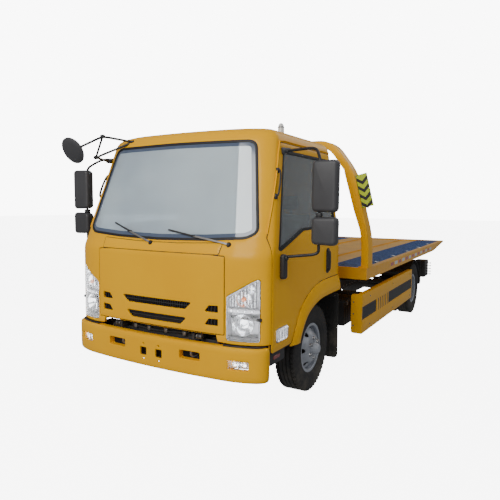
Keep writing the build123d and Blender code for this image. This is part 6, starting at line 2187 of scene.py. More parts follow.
def tyre_shapes(wheel):
    """Ribbed tyre body with its shoulder blocks, about the X axis through the origin."""
    groove = TYRE_MEAN_RADIUS - wheel.groove
    half = []
    for centre, base in ((0.018, 0.3895), (0.055, 0.3885)):
        half += [(centre - 0.0042, base), (centre - 0.0034, groove), (centre + 0.0034, groove), (centre + 0.0042, base)]
    half += [(0.0605, 0.3880), (0.0610, 0.3825), *TYRE_OUTER]
    profile = half + [(-x, radius) for x, radius in reversed(half)]
    body = lathe(profile, (0, 0, 0), wheel.turns)
    pitch = 2 * pi * TYRE_MEAN_RADIUS / wheel.blocks
    item = joined(
        *(
            prism(
                [
                    (side * 0.0612, -pitch * 0.34), (side * 0.0885, -pitch * 0.26), (side * 0.0885, pitch * 0.40),
                    (side * 0.0612, pitch * 0.32),
                ],
                -0.006, 0.0037, "Z", 0.0012, 1,
            )
            for side in (-1, 1)
        )
    )
    blocks = repeated(item, "RING", tyre_rubber(), Count=wheel.blocks, Radius=0.3855)
    return joined(body, blocks)


def rim_shapes(wheel):
    """Barrel, dished disc with hand holes and valve of a steel wheel, its outside towards +X."""
    profile = list(RIM_OUTER) + [(-x, radius) for x, radius in reversed(RIM_OUTER)]
    barrel = lathe(profile, (0, 0, 0), wheel.turns)
    rim = ring_section(DISC_LINE[-1][0], 96)
    holes = [ring_section(DISC_LINE[0][0], 36)]
    for hole in range(6):
        middle_y, middle_z = 0.158 * cos(pi / 3 * hole), 0.158 * sin(pi / 3 * hole)
        holes.append([(middle_y + y, middle_z + z) for y, z in ring_section(0.023, 24)])
    line = np.array(DISC_LINE)

    def dished(y, z):
        return Vector((float(np.interp(sqrt(y * y + z * z), line[:, 0], line[:, 1])), y, z))

    disc = worked(
        turned_out(placed(flat_panel(rim, holes, 0.010), dished), (-1, 0, 0)), wall=0.009, bevel=0.0018, limit=60
    )
    valve = tube([(0.048, 0, 0.186), (0.070, 0, 0.186), (0.088, 0, 0.178)], 0.0035, 0.01, 8)
    return joined(barrel, disc), valve


def stud_ring(face, circle, count, outward):
    """Wheel nuts with their studs."""
    shapes = []
    for index in range(count):
        turn = 2 * pi * (index + 0.5) / count
        y, z = circle * cos(turn), circle * sin(turn)
        shapes.append(bolt((face, y, z), "X", 0.0165, outward * 0.016))
        shapes.append(
            lathe(
                [(0, 0), (0, 0.0095), (outward * 0.026, 0.0095), (outward * 0.028, 0.007), (outward * 0.028, 0)],
                (face, y, z), 12,
            )
        )
        shapes.append(lathe([(0, 0), (0, 0.020), (outward * 0.004, 0.019), (outward * 0.004, 0)], (face, y, z), 20))
    return joined(*shapes)


class TOW_OT_wheels(bpy.types.Operator):
    """Grooved tyres on dished steel wheels, single in front and twin at the rear"""

    bl_idname = "tow.wheels"
    bl_label = "Wheels"

    def execute(self, context):
        wheel = context.scene.tow_wheel
        tyre = tyre_shapes(wheel)
        rim, valve = rim_shapes(wheel)
        cap = lathe(
            [(0.100, 0), (0.100, 0.0595), (0.116, 0.0590), (0.132, 0.050), (0.150, 0.044), (0.1645, 0.034), (0.166, 0)],
            (0, 0, 0), 40,
        )
        drum = lathe(
            [
                (-0.065, 0.0305), (-0.065, 0.148), (-0.058, 0.155), (0.000, 0.155), (0.005, 0.150), (0.005, 0.100),
                (0.096, 0.098), (0.096, 0.0305),
            ],
            (0, 0, 0), 64,
        )
        nuts = stud_ring(0.108, 0.088, 6, 1)
        dual_nuts = stud_ring(-0.099, 0.088, 6, 1)
        # outer wheel of a pair: the disc turned round, so that it lies deep inside
        turned_rim = mirrored(rim)
        dual_cap = lathe(
            [(-0.108, 0), (-0.108, 0.0595), (-0.062, 0.0585), (-0.054, 0.050), (-0.050, 0.034), (-0.050, 0)], (0, 0, 0),
            40,
        )
        dual_drum = lathe(
            [
                (0.014, 0.0305), (0.014, 0.110), (0.019, 0.115), (0.084, 0.115), (0.084, 0.112), (0.120, 0.111),
                (0.120, 0.0305),
            ],
            (0, 0, 0), 56,
        )
        for name, side in SIDES:
            middle_point = Vector((0.840, FRONT_AXLE, AXLE_HEIGHT))
            front = f"front_wheel_{name}"
            build_piece(
                f"tyre_{front}", front, [(on_side(moved(tyre, middle_point), side), tyre_rubber())],
                (f"tyre_front_{name}",),
            )
            parts = [
                (rim, wheel_silver()), (nuts, bright_metal()), (cap, wheel_silver()), (drum, cast_metal()),
                (valve, black_plastic()),
            ]
            parts = [(moved(shape, middle_point), material) for shape, material in parts]
            build_piece(f"rim_{front}", front, sided(parts, side), (f"rim_front_{name}",))
            rear = f"rear_wheels_{name}"
            inner, outer = (Vector((x, REAR_AXLE, AXLE_HEIGHT)) for x in (0.705, 0.945))
            tyres = [(moved(tyre, place), tyre_rubber()) for place in (inner, outer)]
            build_piece(f"tyres_{rear}", rear, sided(tyres, side), (f"tyres_rear_{name}",))
            parts = [
                (moved(rim, inner), wheel_silver()), (moved(turned_rim, outer), wheel_silver()),
                (moved(dual_nuts, outer), bright_metal()), (moved(dual_cap, outer), cast_metal()),
                (moved(dual_drum, inner), cast_metal()),
            ]
            build_piece(f"rims_{rear}", rear, sided(parts, side), (f"rims_rear_{name}",))
        return {"FINISHED"}


class TOW_OT_running_gear(bpy.types.Operator):
    """Finishes of the rails, axles, springs, engine and shafts, with bolts along the rails"""

    bl_idname = "tow.running_gear"
    bl_label = "Running gear"

    def execute(self, context):
        # CAD node, its finish
        for node, material in (
            ("frame_rails", black_paint()), ("cab_brackets", black_paint()), ("subframe", black_paint()),
            ("front_axle", black_paint()), ("knuckle_left", cast_metal()), ("knuckle_right", cast_metal()),
            ("leaf_springs", black_paint()), ("rear_axle", cast_metal()), ("propeller_shaft", dull_metal()),
            ("engine_block", cast_metal()), ("tilt_frame", black_paint()), ("slide_barrel", black_paint()),
            ("slide_rod", bright_metal()), ("tilt_barrels", black_paint()), ("tilt_rods", bright_metal()),
            ("lift_arm", black_paint()), ("lift_fork", black_paint()), ("deck", deck_paint()),
            ("winch_frame", black_paint()),
        ):
            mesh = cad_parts[node].data
            mesh.materials.clear()
            mesh.materials.append(material)
        pitch = context.scene.tow_deck.bolt_pitch
        head = bolt((0, 0, 0), "X", 0.011, 0.008)
        count = int(5.2 / pitch)
        heads = repeated(
            head, "GRID", dull_metal(), Count=count, Rows=2, Start=(0.4, along(-0.30), 0.580), Step=(0, pitch, 0),
            Row_step=(0, 0, 0.140),
        )
        # clamps of the leaf springs and their U-bolts
        shapes = []
        for x, y, low, high in ((0.350, 0.0, 0.300, 0.430), (0.460, REAR_AXLE - FRONT_AXLE, 0.340, 0.520)):
            for shift in (-0.045, 0.045):
                bow = [
                    (x - 0.043, along(y + shift), low), (x - 0.043, along(y + shift), high),
                    (x + 0.043, along(y + shift), high), (x + 0.043, along(y + shift), low),
                ]
                shapes.append(tube(bow, 0.008, 0.02, 8))
            shapes.append(
                block((x - 0.055, along(y - 0.07), high - 0.012), (x + 0.055, along(y + 0.07), high + 0.004), 0.004)
            )
        parts = paired([(heads, dull_metal()), (joined(*shapes), dull_metal())])
        build_piece("rail_bolts", "chassis", parts)
        return {"FINISHED"}


class TOW_OT_radiator(bpy.types.Operator):
    """Radiator core with its fins, tanks, hoses and a fan on the engine"""

    bl_idname = "tow.radiator"
    bl_label = "Radiator"

    def execute(self, context):
        core = block((-0.325, along(-0.690), 0.530), (0.325, along(-0.650), 0.745), 0.003)
        tanks = [
            block((-0.334, along(-0.698), low), (0.334, along(-0.642), high), 0.012, 3)
            for low, high in ((0.471, 0.532), (0.742, 0.799))
        ]
        fin = block((-0.320, along(-0.6955), 0), (0.320, along(-0.6900), 0.0016))
        fins = repeated(
            fin, "GRID", dull_metal(), Count=26, Rows=1, Start=(0, 0, 0.536), Step=(0, 0, 0.008), Row_step=(0, 0, 0)
        )
        hose = tube(
            [
                (-0.20, along(-0.645), 0.77), (-0.20, along(-0.55), 0.79), (-0.16, along(-0.42), 0.86),
                (-0.12, along(-0.285), 0.88),
            ],
            0.022, 0.06, 12,
        )
        low_hose = tube(
            [
                (0.22, along(-0.645), 0.50), (0.22, along(-0.50), 0.50), (0.18, along(-0.38), 0.55),
                (0.16, along(-0.285), 0.58),
            ],
            0.022, 0.06, 12,
        )
        parts = [
            (core, dull_metal()), (fins, dull_metal()), (joined(*tanks), black_plastic()),
            (joined(hose, low_hose), seal_rubber()),
        ]
        build_piece("radiator_core", "chassis", parts, ("radiator",))
        hub = lathe([(-0.05, 0), (-0.05, 0.055), (0.0, 0.055), (0.0, 0)], (0, along(-0.285), 0.68), 24, "Y")
        blades = []
        for index in range(7):
            blade = worked(
                (
                    [(-0.03, -0.006, 0.05), (0.03, 0.006, 0.05), (0.055, 0.020, 0.19), (-0.045, -0.020, 0.19)],
                    [(0, 1, 2, 3)],
                ),
                wall=0.004, outward=0,
            )
            blades.append(moved(turned(blade, (0, 0, 0), "Y", 2 * pi * index / 7), (0, along(-0.315), 0.68)))
        cover = block((-0.16, along(-0.20), 1.000), (0.16, along(0.42), 1.009), 0.004)
        pan = prism(
            rounded([(-0.20, 0.470), (0.20, 0.470), (0.16, 0.400), (-0.16, 0.400)], 0.03, 4), along(-0.20), along(0.40),
            "Y", 0.01,
        )
        parts = [(hub, dull_metal()), (joined(*blades), black_plastic()), (cover, cast_metal()), (pan, black_paint())]
        # black sheet behind the bumper: painted shade for what is seen through the bumper's slots
        shroud = block((-0.660, along(-0.885), 0.410), (0.660, along(-0.875), 0.632), 0.003)
        build_piece("front_shroud", "chassis", [(shroud, black_plastic())])
        build_piece("engine_dress", "chassis", parts)
        return {"FINISHED"}


class TOW_OT_side_guards(bpy.types.Operator):
    """Yellow side guards with a dark band, slits and a folded front return"""

    bl_idname = "tow.side_guards"
    bl_label = "Side guards"

    def execute(self, context):
        def window(first, last, radius=0.006):
            return oblong((along(first), 0.480), (along(last), 0.620), radius, 3)

        bands = [(0.892, 1.438), (1.972, 3.288)]
        bars = [(reach, reach + 0.026) for reach in (1.505, 1.585, 1.665, 1.745, 1.825, 1.905)]
        outline = oblong((along(0.880), 0.335), (along(3.300), 0.755), 0.010, 3)
        windows = [window(*pair) for pair in (*bands, *bars)]
        skin = placed(flat_panel(outline, windows, 0.09), lambda y, z: Vector((1.120, y, z)))
        skin = worked(turned_out(skin, (0, along(2), 0.5)), wall=0.006, bevel=0.0018, limit=60)
        back = block((1.0985, along(0.884), 0.339), (1.1139, along(3.296), 0.751), 0.002)
        inserts = [
            block((1.1136, along(first + 0.0006), 0.4806), (1.1152, along(last - 0.0006), 0.6194))
            for first, last in bands
        ]
        inserts += [
            block((1.1136, along(first + 0.0006), 0.4806), (1.1196, along(last - 0.0006), 0.6194))
            for first, last in bars
        ]
        inserts = joined(*inserts)
        lips = joined(
            *(
                block((1.1150, along(first + 0.02), z - 0.0015), (1.1166, along(last - 0.02), z + 0.0015))
                for first, last in bands for z in (0.515, 0.550, 0.585)
            )
        )
        front = prism(
            rounded([(1.000, 0.335, 0.030), (1.119, 0.335), (1.119, 0.755), (1.000, 0.755, 0.030)], 0.006, 4),
            along(0.8805), along(0.902), "Y", 0.004, 2,
        )
        rear = prism(
            rounded([(1.040, 0.360, 0.020), (1.112, 0.360), (1.112, 0.730), (1.040, 0.730, 0.020)], 0.004, 4),
            along(3.285), along(3.299), "Y", 0.003, 2,
        )
        top = block((1.060, along(0.890), 0.7345), (1.114, along(3.290), 0.7545), 0.003)
        arms = []
        for reach in (1.150, 2.150, 3.150):
            arms.append(block((0.401, along(reach), 0.690), (1.098, along(reach + 0.050), 0.732), 0.005))
            arms.append(block((1.060, along(reach - 0.02), 0.560), (1.0975, along(reach + 0.070), 0.690), 0.006))
            arms.append(block((0.4005, along(reach - 0.03), 0.650), (0.410, along(reach + 0.080), 0.750), 0.003))
        bolts = joined(
            *(
                bolt((1.120, along(reach), z), "X", 0.009, 0.0055) for reach in (1.175, 2.175, 3.175)
                for z in (0.390, 0.700)
            )
        )
        front_bolts = joined(*(bolt((1.030, along(0.8805), z), "Y", 0.009, -0.0055) for z in (0.420, 0.545, 0.670)))
        parts = paired([
            (skin, body_paint()), (back, body_paint()), (inserts, black_plastic()), (lips, black_plastic()),
            (front, body_paint()), (rear, body_paint()), (top, body_paint()), (joined(*arms), black_paint()),
            (bolts, dull_metal()), (front_bolts, dull_metal()),
        ])
        build_piece("side_guard_pair", "chassis", parts, ("side_guards",))
        return {"FINISHED"}


class TOW_OT_mudguards(bpy.types.Operator):
    """Rubber flaps behind the front wheels, arched guards and flaps at the rear"""

    bl_idname = "tow.mudguards"
    bl_label = "Mudguards"

    def execute(self, context):
        def sheet(low_x, high_x, reach, low_z, high_z, bow):
            outline = rounded([(low_x, low_z), (high_x, low_z), (high_x, high_z, 0.01), (low_x, high_z, 0.01)], 0.05, 5)
            flat = placed(
                flat_panel(outline, [], 0.04),
                lambda x, z: Vector((x, along(reach) + bow * ((high_z - z) / (high_z - low_z)) ** 2, z)),
            )
            return worked(turned_out(flat, (0, along(reach) + 5, 0.5)), wall=0.009, bevel=0.002)

        front = sheet(0.702, 0.983, 0.532, 0.151, 0.810, 0.003)
        ribs = [
            block((x, along(0.529), 0.200), (x + 0.006, along(0.534), 0.760), 0.002)
            for x in (0.735, 0.775, 0.815, 0.855, 0.895, 0.935)
        ]
        clamp = block((0.702, along(0.526), 0.772), (0.983, along(0.545), 0.808), 0.004)
        arm = block((0.401, along(0.531), 0.674), (0.705, along(0.571), 0.712), 0.006)
        arc = [
            (REAR_AXLE + radius * cos(radians(angle)), AXLE_HEIGHT + radius * sin(radians(angle)))
            for radius, turns in ((0.444, range(31, 150, 3)), (0.436, range(148, 30, -3))) for angle in turns
        ]
        arch = prism(arc, 0.597, 1.048, "X", 0.002, 1)
        beads = [
            swept(
                [
                    (x, REAR_AXLE + 0.440 * cos(radians(angle)), AXLE_HEIGHT + 0.440 * sin(radians(angle)))
                    for angle in range(31, 150, 3)
                ],
                ring_section(0.0055, 8), up=(1, 0, 0),
            )
            for x in (0.602, 0.75, 0.90, 1.044)
        ]
        rear = sheet(0.597, 1.048, 4.342, 0.377, 0.788, 0.0)
        rear_clamp = block((0.600, along(4.338), 0.755), (1.046, along(4.356), 0.787), 0.004)
        posts = [
            block((0.401, along(4.341), 0.625), (0.635, along(4.367), 0.700), 0.006),
            block((0.401, REAR_AXLE - 0.013, 0.675), (0.595, REAR_AXLE + 0.013, 0.755), 0.005),
            block((0.556, REAR_AXLE - 0.013, 0.675), (0.597, REAR_AXLE + 0.013, 0.832), 0.005),
        ]
        screws = [bolt((x, along(0.526), 0.790), "Y", 0.008, -0.005) for x in (0.73, 0.84, 0.95)]
        screws += [bolt((x, along(4.338), 0.771), "Y", 0.008, -0.005) for x in (0.64, 0.82, 1.00)]
        front_parts = paired([
            (joined(front, *ribs), flap_rubber()), (joined(clamp, arm), black_paint()),
            (joined(*screws[:3]), dull_metal()),
        ])
        rear_parts = paired([
            (joined(arch, *beads), black_plastic()), (rear, flap_rubber()), (joined(rear_clamp, *posts), black_paint()),
            (joined(*screws[3:]), dull_metal()),
        ])
        build_piece("front_flaps", "chassis", front_parts, ("front_mudguards",))
        build_piece("rear_arches", "chassis", rear_parts, ("rear_mudguards",))
        return {"FINISHED"}


class TOW_OT_tanks(bpy.types.Operator):
    """Fuel tank with straps and cap, and the ribbed battery box"""

    bl_idname = "tow.tanks"
    bl_label = "Tanks"

    def execute(self, context):
        outline = oblong((-0.889, 0.361), (-0.531, 0.679), 0.060, 7)
        tank = prism(outline, along(1.010), along(1.890), "Y", 0.016, 3)
        bands = [
            prism(
                oblong((-0.8895, 0.3605), (-0.5305, 0.6795), 0.060, 7), along(reach), along(reach + 0.042), "Y", 0.001,
                1,
            )
            for reach in (1.205, 1.655)
        ]
        brackets = [
            block((-0.530, along(reach), 0.520), (-0.401, along(reach + 0.042), 0.640), 0.006)
            for reach in (1.225, 1.675)
        ]
        brackets += [
            block((-0.560, along(reach), 0.362), (-0.500, along(reach + 0.042), 0.640), 0.006)
            for reach in (1.225, 1.675)
        ]
        neck = lathe(
            [(0, 0), (0, 0.034), (0.010, 0.034), (0.010, 0.041), (0.028, 0.041), (0.034, 0.036), (0.034, 0)],
            (-0.800, along(1.300), 0.650), 32, "Z",
        )
        drain = bolt((-0.700, along(1.450), 0.3615), "Z", 0.014, -0.008)
        seam = [
            prism(oblong((-0.8892, 0.3608), (-0.5308, 0.6792), 0.060, 7), along(reach), along(reach + 0.006), "Y")
            for reach in (1.030, 1.866)
        ]
        parts = [
            (tank, dull_metal()), (joined(*bands), black_paint()), (joined(*brackets), black_paint()),
            (neck, black_plastic()), (drain, dull_metal()), (joined(*seam), dull_metal()),
        ]
        build_piece("fuel_tank_dress", "chassis", parts, ("fuel_tank",))
        box = block((0.402, along(1.004), 0.362), (0.884, along(1.416), 0.630), 0.012, 3)
        lid = block((0.408, along(1.001), 0.618), (0.889, along(1.419), 0.659), 0.014, 3)
        ribs = [
            block((0.883, along(reach), 0.385), (0.8885, along(reach + 0.012), 0.605), 0.002)
            for reach in (1.05, 1.11, 1.17, 1.23, 1.29, 1.35)
        ]
        latches = [
            block((0.880, along(reach), 0.585), (0.8895, along(reach + 0.036), 0.645), 0.004) for reach in (1.08, 1.30)
        ]
        parts = [
            (box, black_plastic()), (lid, black_plastic()), (joined(*ribs), black_plastic()),
            (joined(*latches), dull_metal()),
        ]
        build_piece("battery_case", "chassis", parts, ("battery_box",))
        return {"FINISHED"}


class TOW_OT_control_box(bpy.types.Operator):
    """Control box with a row of levers near the rear corner"""

    bl_idname = "tow.control_box"
    bl_label = "Control box"

    def execute(self, context):
        case = block((0.862, along(4.702), 0.452), (1.044, along(5.018), 0.738), 0.010, 3)
        frame_plate = prism(oblong((along(4.712), 0.462), (along(5.008), 0.728), 0.010, 3), 1.043, 1.049, "X", 0.002, 1)
        slot_plate = prism(
            oblong((along(4.800), 0.475), (along(4.920), 0.715), 0.008, 3), 1.0485, 1.0515, "X", 0.001, 1
        )
        arm = block((0.401, along(4.733), 0.622), (0.862, along(4.806), 0.678), 0.008)
        made = [(case, black_paint()), (frame_plate, black_paint()), (slot_plate, dull_metal()), (arm, black_paint())]
        for index in range(5):
            z = 0.450 + 0.290 * (index + 1) / 6
            y = along(4.860)
            boot = lathe(
                [(0, 0), (0, 0.014), (0.006, 0.013), (0.010, 0.009), (0.016, 0.010), (0.022, 0.0062), (0.022, 0)],
                (1.0515, y, z), 20,
            )
            stem = lathe([(0, 0), (0, 0.0058), (0.052, 0.0050), (0.052, 0)], (1.056, y, z), 14)
            knob = moved(dome((0, 0, 0), (0.0135, 0.0118, 0.0118), 2.1, 20), (1.1095, y, z))
            made += [(boot, seal_rubber()), (stem, bright_metal()), (knob, black_plastic())]
        screws = [bolt((1.049, along(reach), z), "X", 0.006, 0.004) for reach in (4.728, 4.992) for z in (0.480, 0.710)]
        made.append((joined(*screws), dull_metal()))
        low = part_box("control_box")[0]
        sides = (1, -1) if low.x < 0 else (1,)
        parts = [part for side in sides for part in sided(made, side)]
        build_piece("control_case", "chassis", parts, ("control_box",))
        return {"FINISHED"}


class TOW_OT_tail(bpy.types.Operator):
    """Tail bar with its rear lamps"""

    bl_idname = "tow.tail"
    bl_label = "Tail"

    def execute(self, context):
        outline = oblong((along(5.081), 0.602), (along(5.139), 0.698), 0.010, 4)
        bar = prism(outline, -0.899, 0.899, "X", 0.003, 2)
        arms, lamps = [], []
        for side in (-1, 1):
            arms.append(block((side * 0.336, along(4.932), 0.602), (side * 0.3915, along(5.082), 0.698), 0.006))
            arms.append(block((side * 0.898, along(5.083), 0.604), (side * 0.9005, along(5.137), 0.696), 0.0008))
            middle_x = side * 0.740
            low, high = 0.609, 0.687
            case = block((middle_x - 0.129, along(5.1395), low), (middle_x + 0.129, along(5.152), high), 0.006, 3)
            lamps.append((case, black_plastic()))
            # columns: start and end across, lens
            for start, end, lens in (
                (-0.122, -0.042, colour_lens("Amber lens", (0.75, 0.22, 0.01))),
                (-0.038, 0.042, colour_lens("Red lens", (0.42, 0.025, 0.02))), (0.046, 0.122, clear_lens()),
            ):
                spots = sorted((middle_x + side * -start, middle_x + side * -end))
                lamps.append((
                    block((spots[0], along(5.151), low + 0.006), (spots[1], along(5.1635), high - 0.006), 0.005, 3),
                    lens,
                ))
                middle_spot = Vector(((spots[0] + spots[1]) / 2, along(5.1525), (low + high) / 2))
                lamps.append((moved(dome((0, 0, 0), (0.028, 0.004, 0.026), 2.4, 20), middle_spot), reflector()))
                rib = block((spots[0] + 0.004, along(5.1628), 0), (spots[1] - 0.004, along(5.1638), 0.002))
                lamps += [(moved(rib, (0, 0, z)), lens) for z in (0.628, 0.638, 0.648, 0.658, 0.668)]
        build_piece(
            "tail_bar_dress", "chassis", [(bar, black_paint()), (joined(*arms), black_paint())],
            ("tail_bar",),
        )
        build_piece("rear_lamp_pair", "chassis", lamps, ("tail_lamps",))
        return {"FINISHED"}


class TOW_OT_deck(bpy.types.Operator):
    """Chequered lanes, rail dashes, rivets and tie-down rings of the deck"""

    bl_idname = "tow.deck"
    bl_label = "Deck"

    def execute(self, context):
        deck = context.scene.tow_deck
        pitch, rise = deck.lozenge_pitch, deck.lozenge_height
        x0, x1, y0, y1 = 0.6705, 1.0942, along(0.9605), along(5.8495)
        plate = block((x0, y0, 1.0141), (x1, y1, 1.0162), 0.0008, 1)

        def lozenge(turn):
            outline = [
                (0.016, 0.0), (0.009, 0.0042), (-0.009, 0.0042), (-0.016, 0.0), (-0.009, -0.0042), (0.009, -0.0042)
            ]
            verts = [(a * cos(turn) - b * sin(turn), a * sin(turn) + b * cos(turn), 1.0161) for a, b in outline]
            verts += [
                ((a * cos(turn) - b * sin(turn)) * 0.72, (a * sin(turn) + b * cos(turn)) * 0.72, 1.0161 + rise)
                for a, b in outline
            ]
            faces = [(index, (index + 1) % 6, (index + 1) % 6 + 6, index + 6) for index in range(6)]
            return verts, [*faces, tuple(range(6, 12))]

        across, rows = int((x1 - x0 - 0.03) / pitch), int((y1 - y0 - 0.03) / pitch)
        first = repeated(
            lozenge(pi / 4), "GRID", lane_paint(), Count=across + 1, Rows=rows, Start=(x0 + 0.022, y0 + 0.022, 0),
            Step=(pitch, 0, 0), Row_step=(0, pitch, 0),
        )
        second = repeated(
            lozenge(-pi / 4), "GRID", lane_paint(), Count=across, Rows=rows - 1,
            Start=(x0 + 0.022 + pitch / 2, y0 + 0.022 + pitch / 2, 0), Step=(pitch, 0, 0), Row_step=(0, pitch, 0),
        )
        lane = joined(plate, first, second)
        build_piece("lane_plates", "bed", paired([(lane, lane_paint())]), ("deck_lanes",))
        # dashes of reflecting film along the rails, in turn red and white
        red = film("Red film", (0.55, 0.02, 0.015))
        white = film("White film", (0.80, 0.80, 0.80))
        dash = block((1.1550, 0, 0.952), (1.1562, 0.140, 0.992))
        rivet = lathe([(0, 0), (0, 0.007), (0.0025, 0.006), (0.004, 0.003), (0.004, 0)], (1.155, 0, 0), 10)
        rivets = repeated(
            rivet, "GRID", deck_paint(), Count=20, Rows=1, Start=(0, along(1.05), 1.012), Step=(0, 0.24, 0),
            Row_step=(0, 0, 0),
        )
        reds = repeated(
            dash, "GRID", red, Count=7, Rows=1, Start=(0, along(1.90), 0), Step=(0, 0.40, 0), Row_step=(0, 0, 0)
        )
        whites = repeated(
            dash, "GRID", white, Count=7, Rows=1, Start=(0, along(2.10), 0), Step=(0, 0.40, 0), Row_step=(0, 0, 0)
        )
        rings = []
        for reach in (1.60, 2.40, 3.20, 4.00, 4.80):
            eye = [
                (1.060 + 0.024 * cos(turn), along(reach) + 0.030 * sin(turn), 1.028)
                for turn in np.linspace(0, 2 * pi, 20, endpoint=False)
            ]
            rings.append(swept(eye, ring_section(0.0045, 8), closed=True))
            rings.append(block((1.078, along(reach - 0.024), 1.016), (1.092, along(reach + 0.024), 1.030), 0.003))
        # folded lip at the deck's front and rub strip at its tail
        lip = block((-1.094, along(0.902), 1.0295), (1.094, along(0.914), 1.036), 0.002)
        tail = block((-1.150, along(5.896), 1.006), (1.150, along(5.9085), 1.0285), 0.003)
        parts = paired([(reds, red), (whites, white), (rivets, deck_paint()), (joined(*rings), bright_metal())])
        parts += [(lip, deck_paint()), (tail, dull_metal())]
        build_piece("deck_trim", "bed", parts)
        return {"FINISHED"}


class TOW_OT_gantry(bpy.types.Operator):
    """Bent hoop over the deck's front with its feet, gussets and warning boards"""

    bl_idname = "tow.gantry"
    bl_label = "Gantry"

    def execute(self, context):
        depth = along(0.940 + 0.085)
        half = [(1.116, 1.031), (1.116, 1.343), (0.947, 2.026), (0.704, 2.351), (0.0, 2.351)]
        line = [(x, depth, z) for x, z in half] + [(-x, depth, z) for x, z in reversed(half[:-1])]
        hoop = swept(bent_line(line, 0.135, 9), box_section(0.0765, 0.170, 0.012, 4), up=(0, 1, 0))
        # foot plates, bolts and gussets
        steel, bolts = [], []
        for side in (-1, 1):
            steel.append(block((side * 1.052, along(0.935), 1.0295), (side * 1.154, along(1.115), 1.042), 0.004))
            rib = prism(
                rounded([(along(1.108), 1.041), (along(1.175), 1.041), (along(1.108), 1.175)], 0.006, 3), side * 1.112,
                side * 1.122, "X", 0.002,
            )
            steel.append(rib)
            bolts += [bolt((side * 1.070, along(reach), 1.042), "Z", 0.011, 0.008) for reach in (0.955, 1.095)]
            # folded plate that widens the leaning leg behind the board
            flank = [
                (side * 1.090, 1.330), (side * 0.985, 1.640), (side * 0.868, 2.060), (side * 0.940, 2.075),
                (side * 1.105, 1.420),
            ]
            steel.append(prism(rounded(flank, 0.02, 4), along(0.9412), along(1.060), "Y", 0.006, 3))
        build_piece(
            "gantry_hoop", "bed",
            [(hoop, body_paint()), (joined(*steel), body_paint()), (joined(*bolts), dull_metal())],
            ("gantry",),
        )
        # boards set along the hoop's leaning legs
        knee, shoulder = Vector((1.155, 1.345)), Vector((0.985, 2.040))
        run = (shoulder - knee).normalized()
        out = Vector((run.y, -run.x))
        top = shoulder + out * 0.0004 - run * 0.040
        front, rear = along(0.940), along(0.950)

        def on_board(across, down, place):
            spot = top + out * across - run * down
            return Vector((spot.x, place, spot.y))

        def slab(corners, first, last, bevel=0.0):
            flat = [(on_board(a, b, 0).x, on_board(a, b, 0).z) for a, b in corners]
            return prism(flat, first, last, "Y", bevel, 1)

        plate = slab([(0.0005, 0), (0.125, 0), (0.125, 0.350), (0.0005, 0.350)], front + 0.0005, rear, 0.001)
        chevrons = []
        for index in range(4):
            start = 0.028 + index * 0.085
            for first, last in ((0.006, 0.0625), (0.119, 0.0625)):
                chevrons.append(
                    slab(
                        [(first, start), (last, start + 0.046), (last, start + 0.084), (first, start + 0.038)],
                        front - 0.0011, front + 0.0012,
                    )
                )
        edge = [(0.0045, 0.004), (0.121, 0.004), (0.121, 0.346), (0.0045, 0.346)]
        border = [on_board(a, b, front + 0.0002) for a, b in edge]
        trim = swept([*border, border[0]], box_section(0.003, 0.003, 0.001, 1), up=(0, 1, 0))
        holder = joined(
            *(
                slab(
                    [(-0.030, spot), (0.060, spot), (0.060, spot + 0.030), (-0.030, spot + 0.030)], rear, rear + 0.006,
                    0.001,
                )
                for spot in (0.070, 0.250)
            )
        )
        fixings = joined(*(bolt(on_board(0.012, spot, front + 0.0005), "Y", 0.006, -0.004) for spot in (0.016, 0.334)))
        parts = paired([
            (plate, board_film()), (joined(*chevrons), board_black()), (trim, board_black()), (holder, body_paint()),
            (fixings, dull_metal()),
        ])
        build_piece("warning_boards", "bed", parts, ("chevron_boards",))
        return {"FINISHED"}


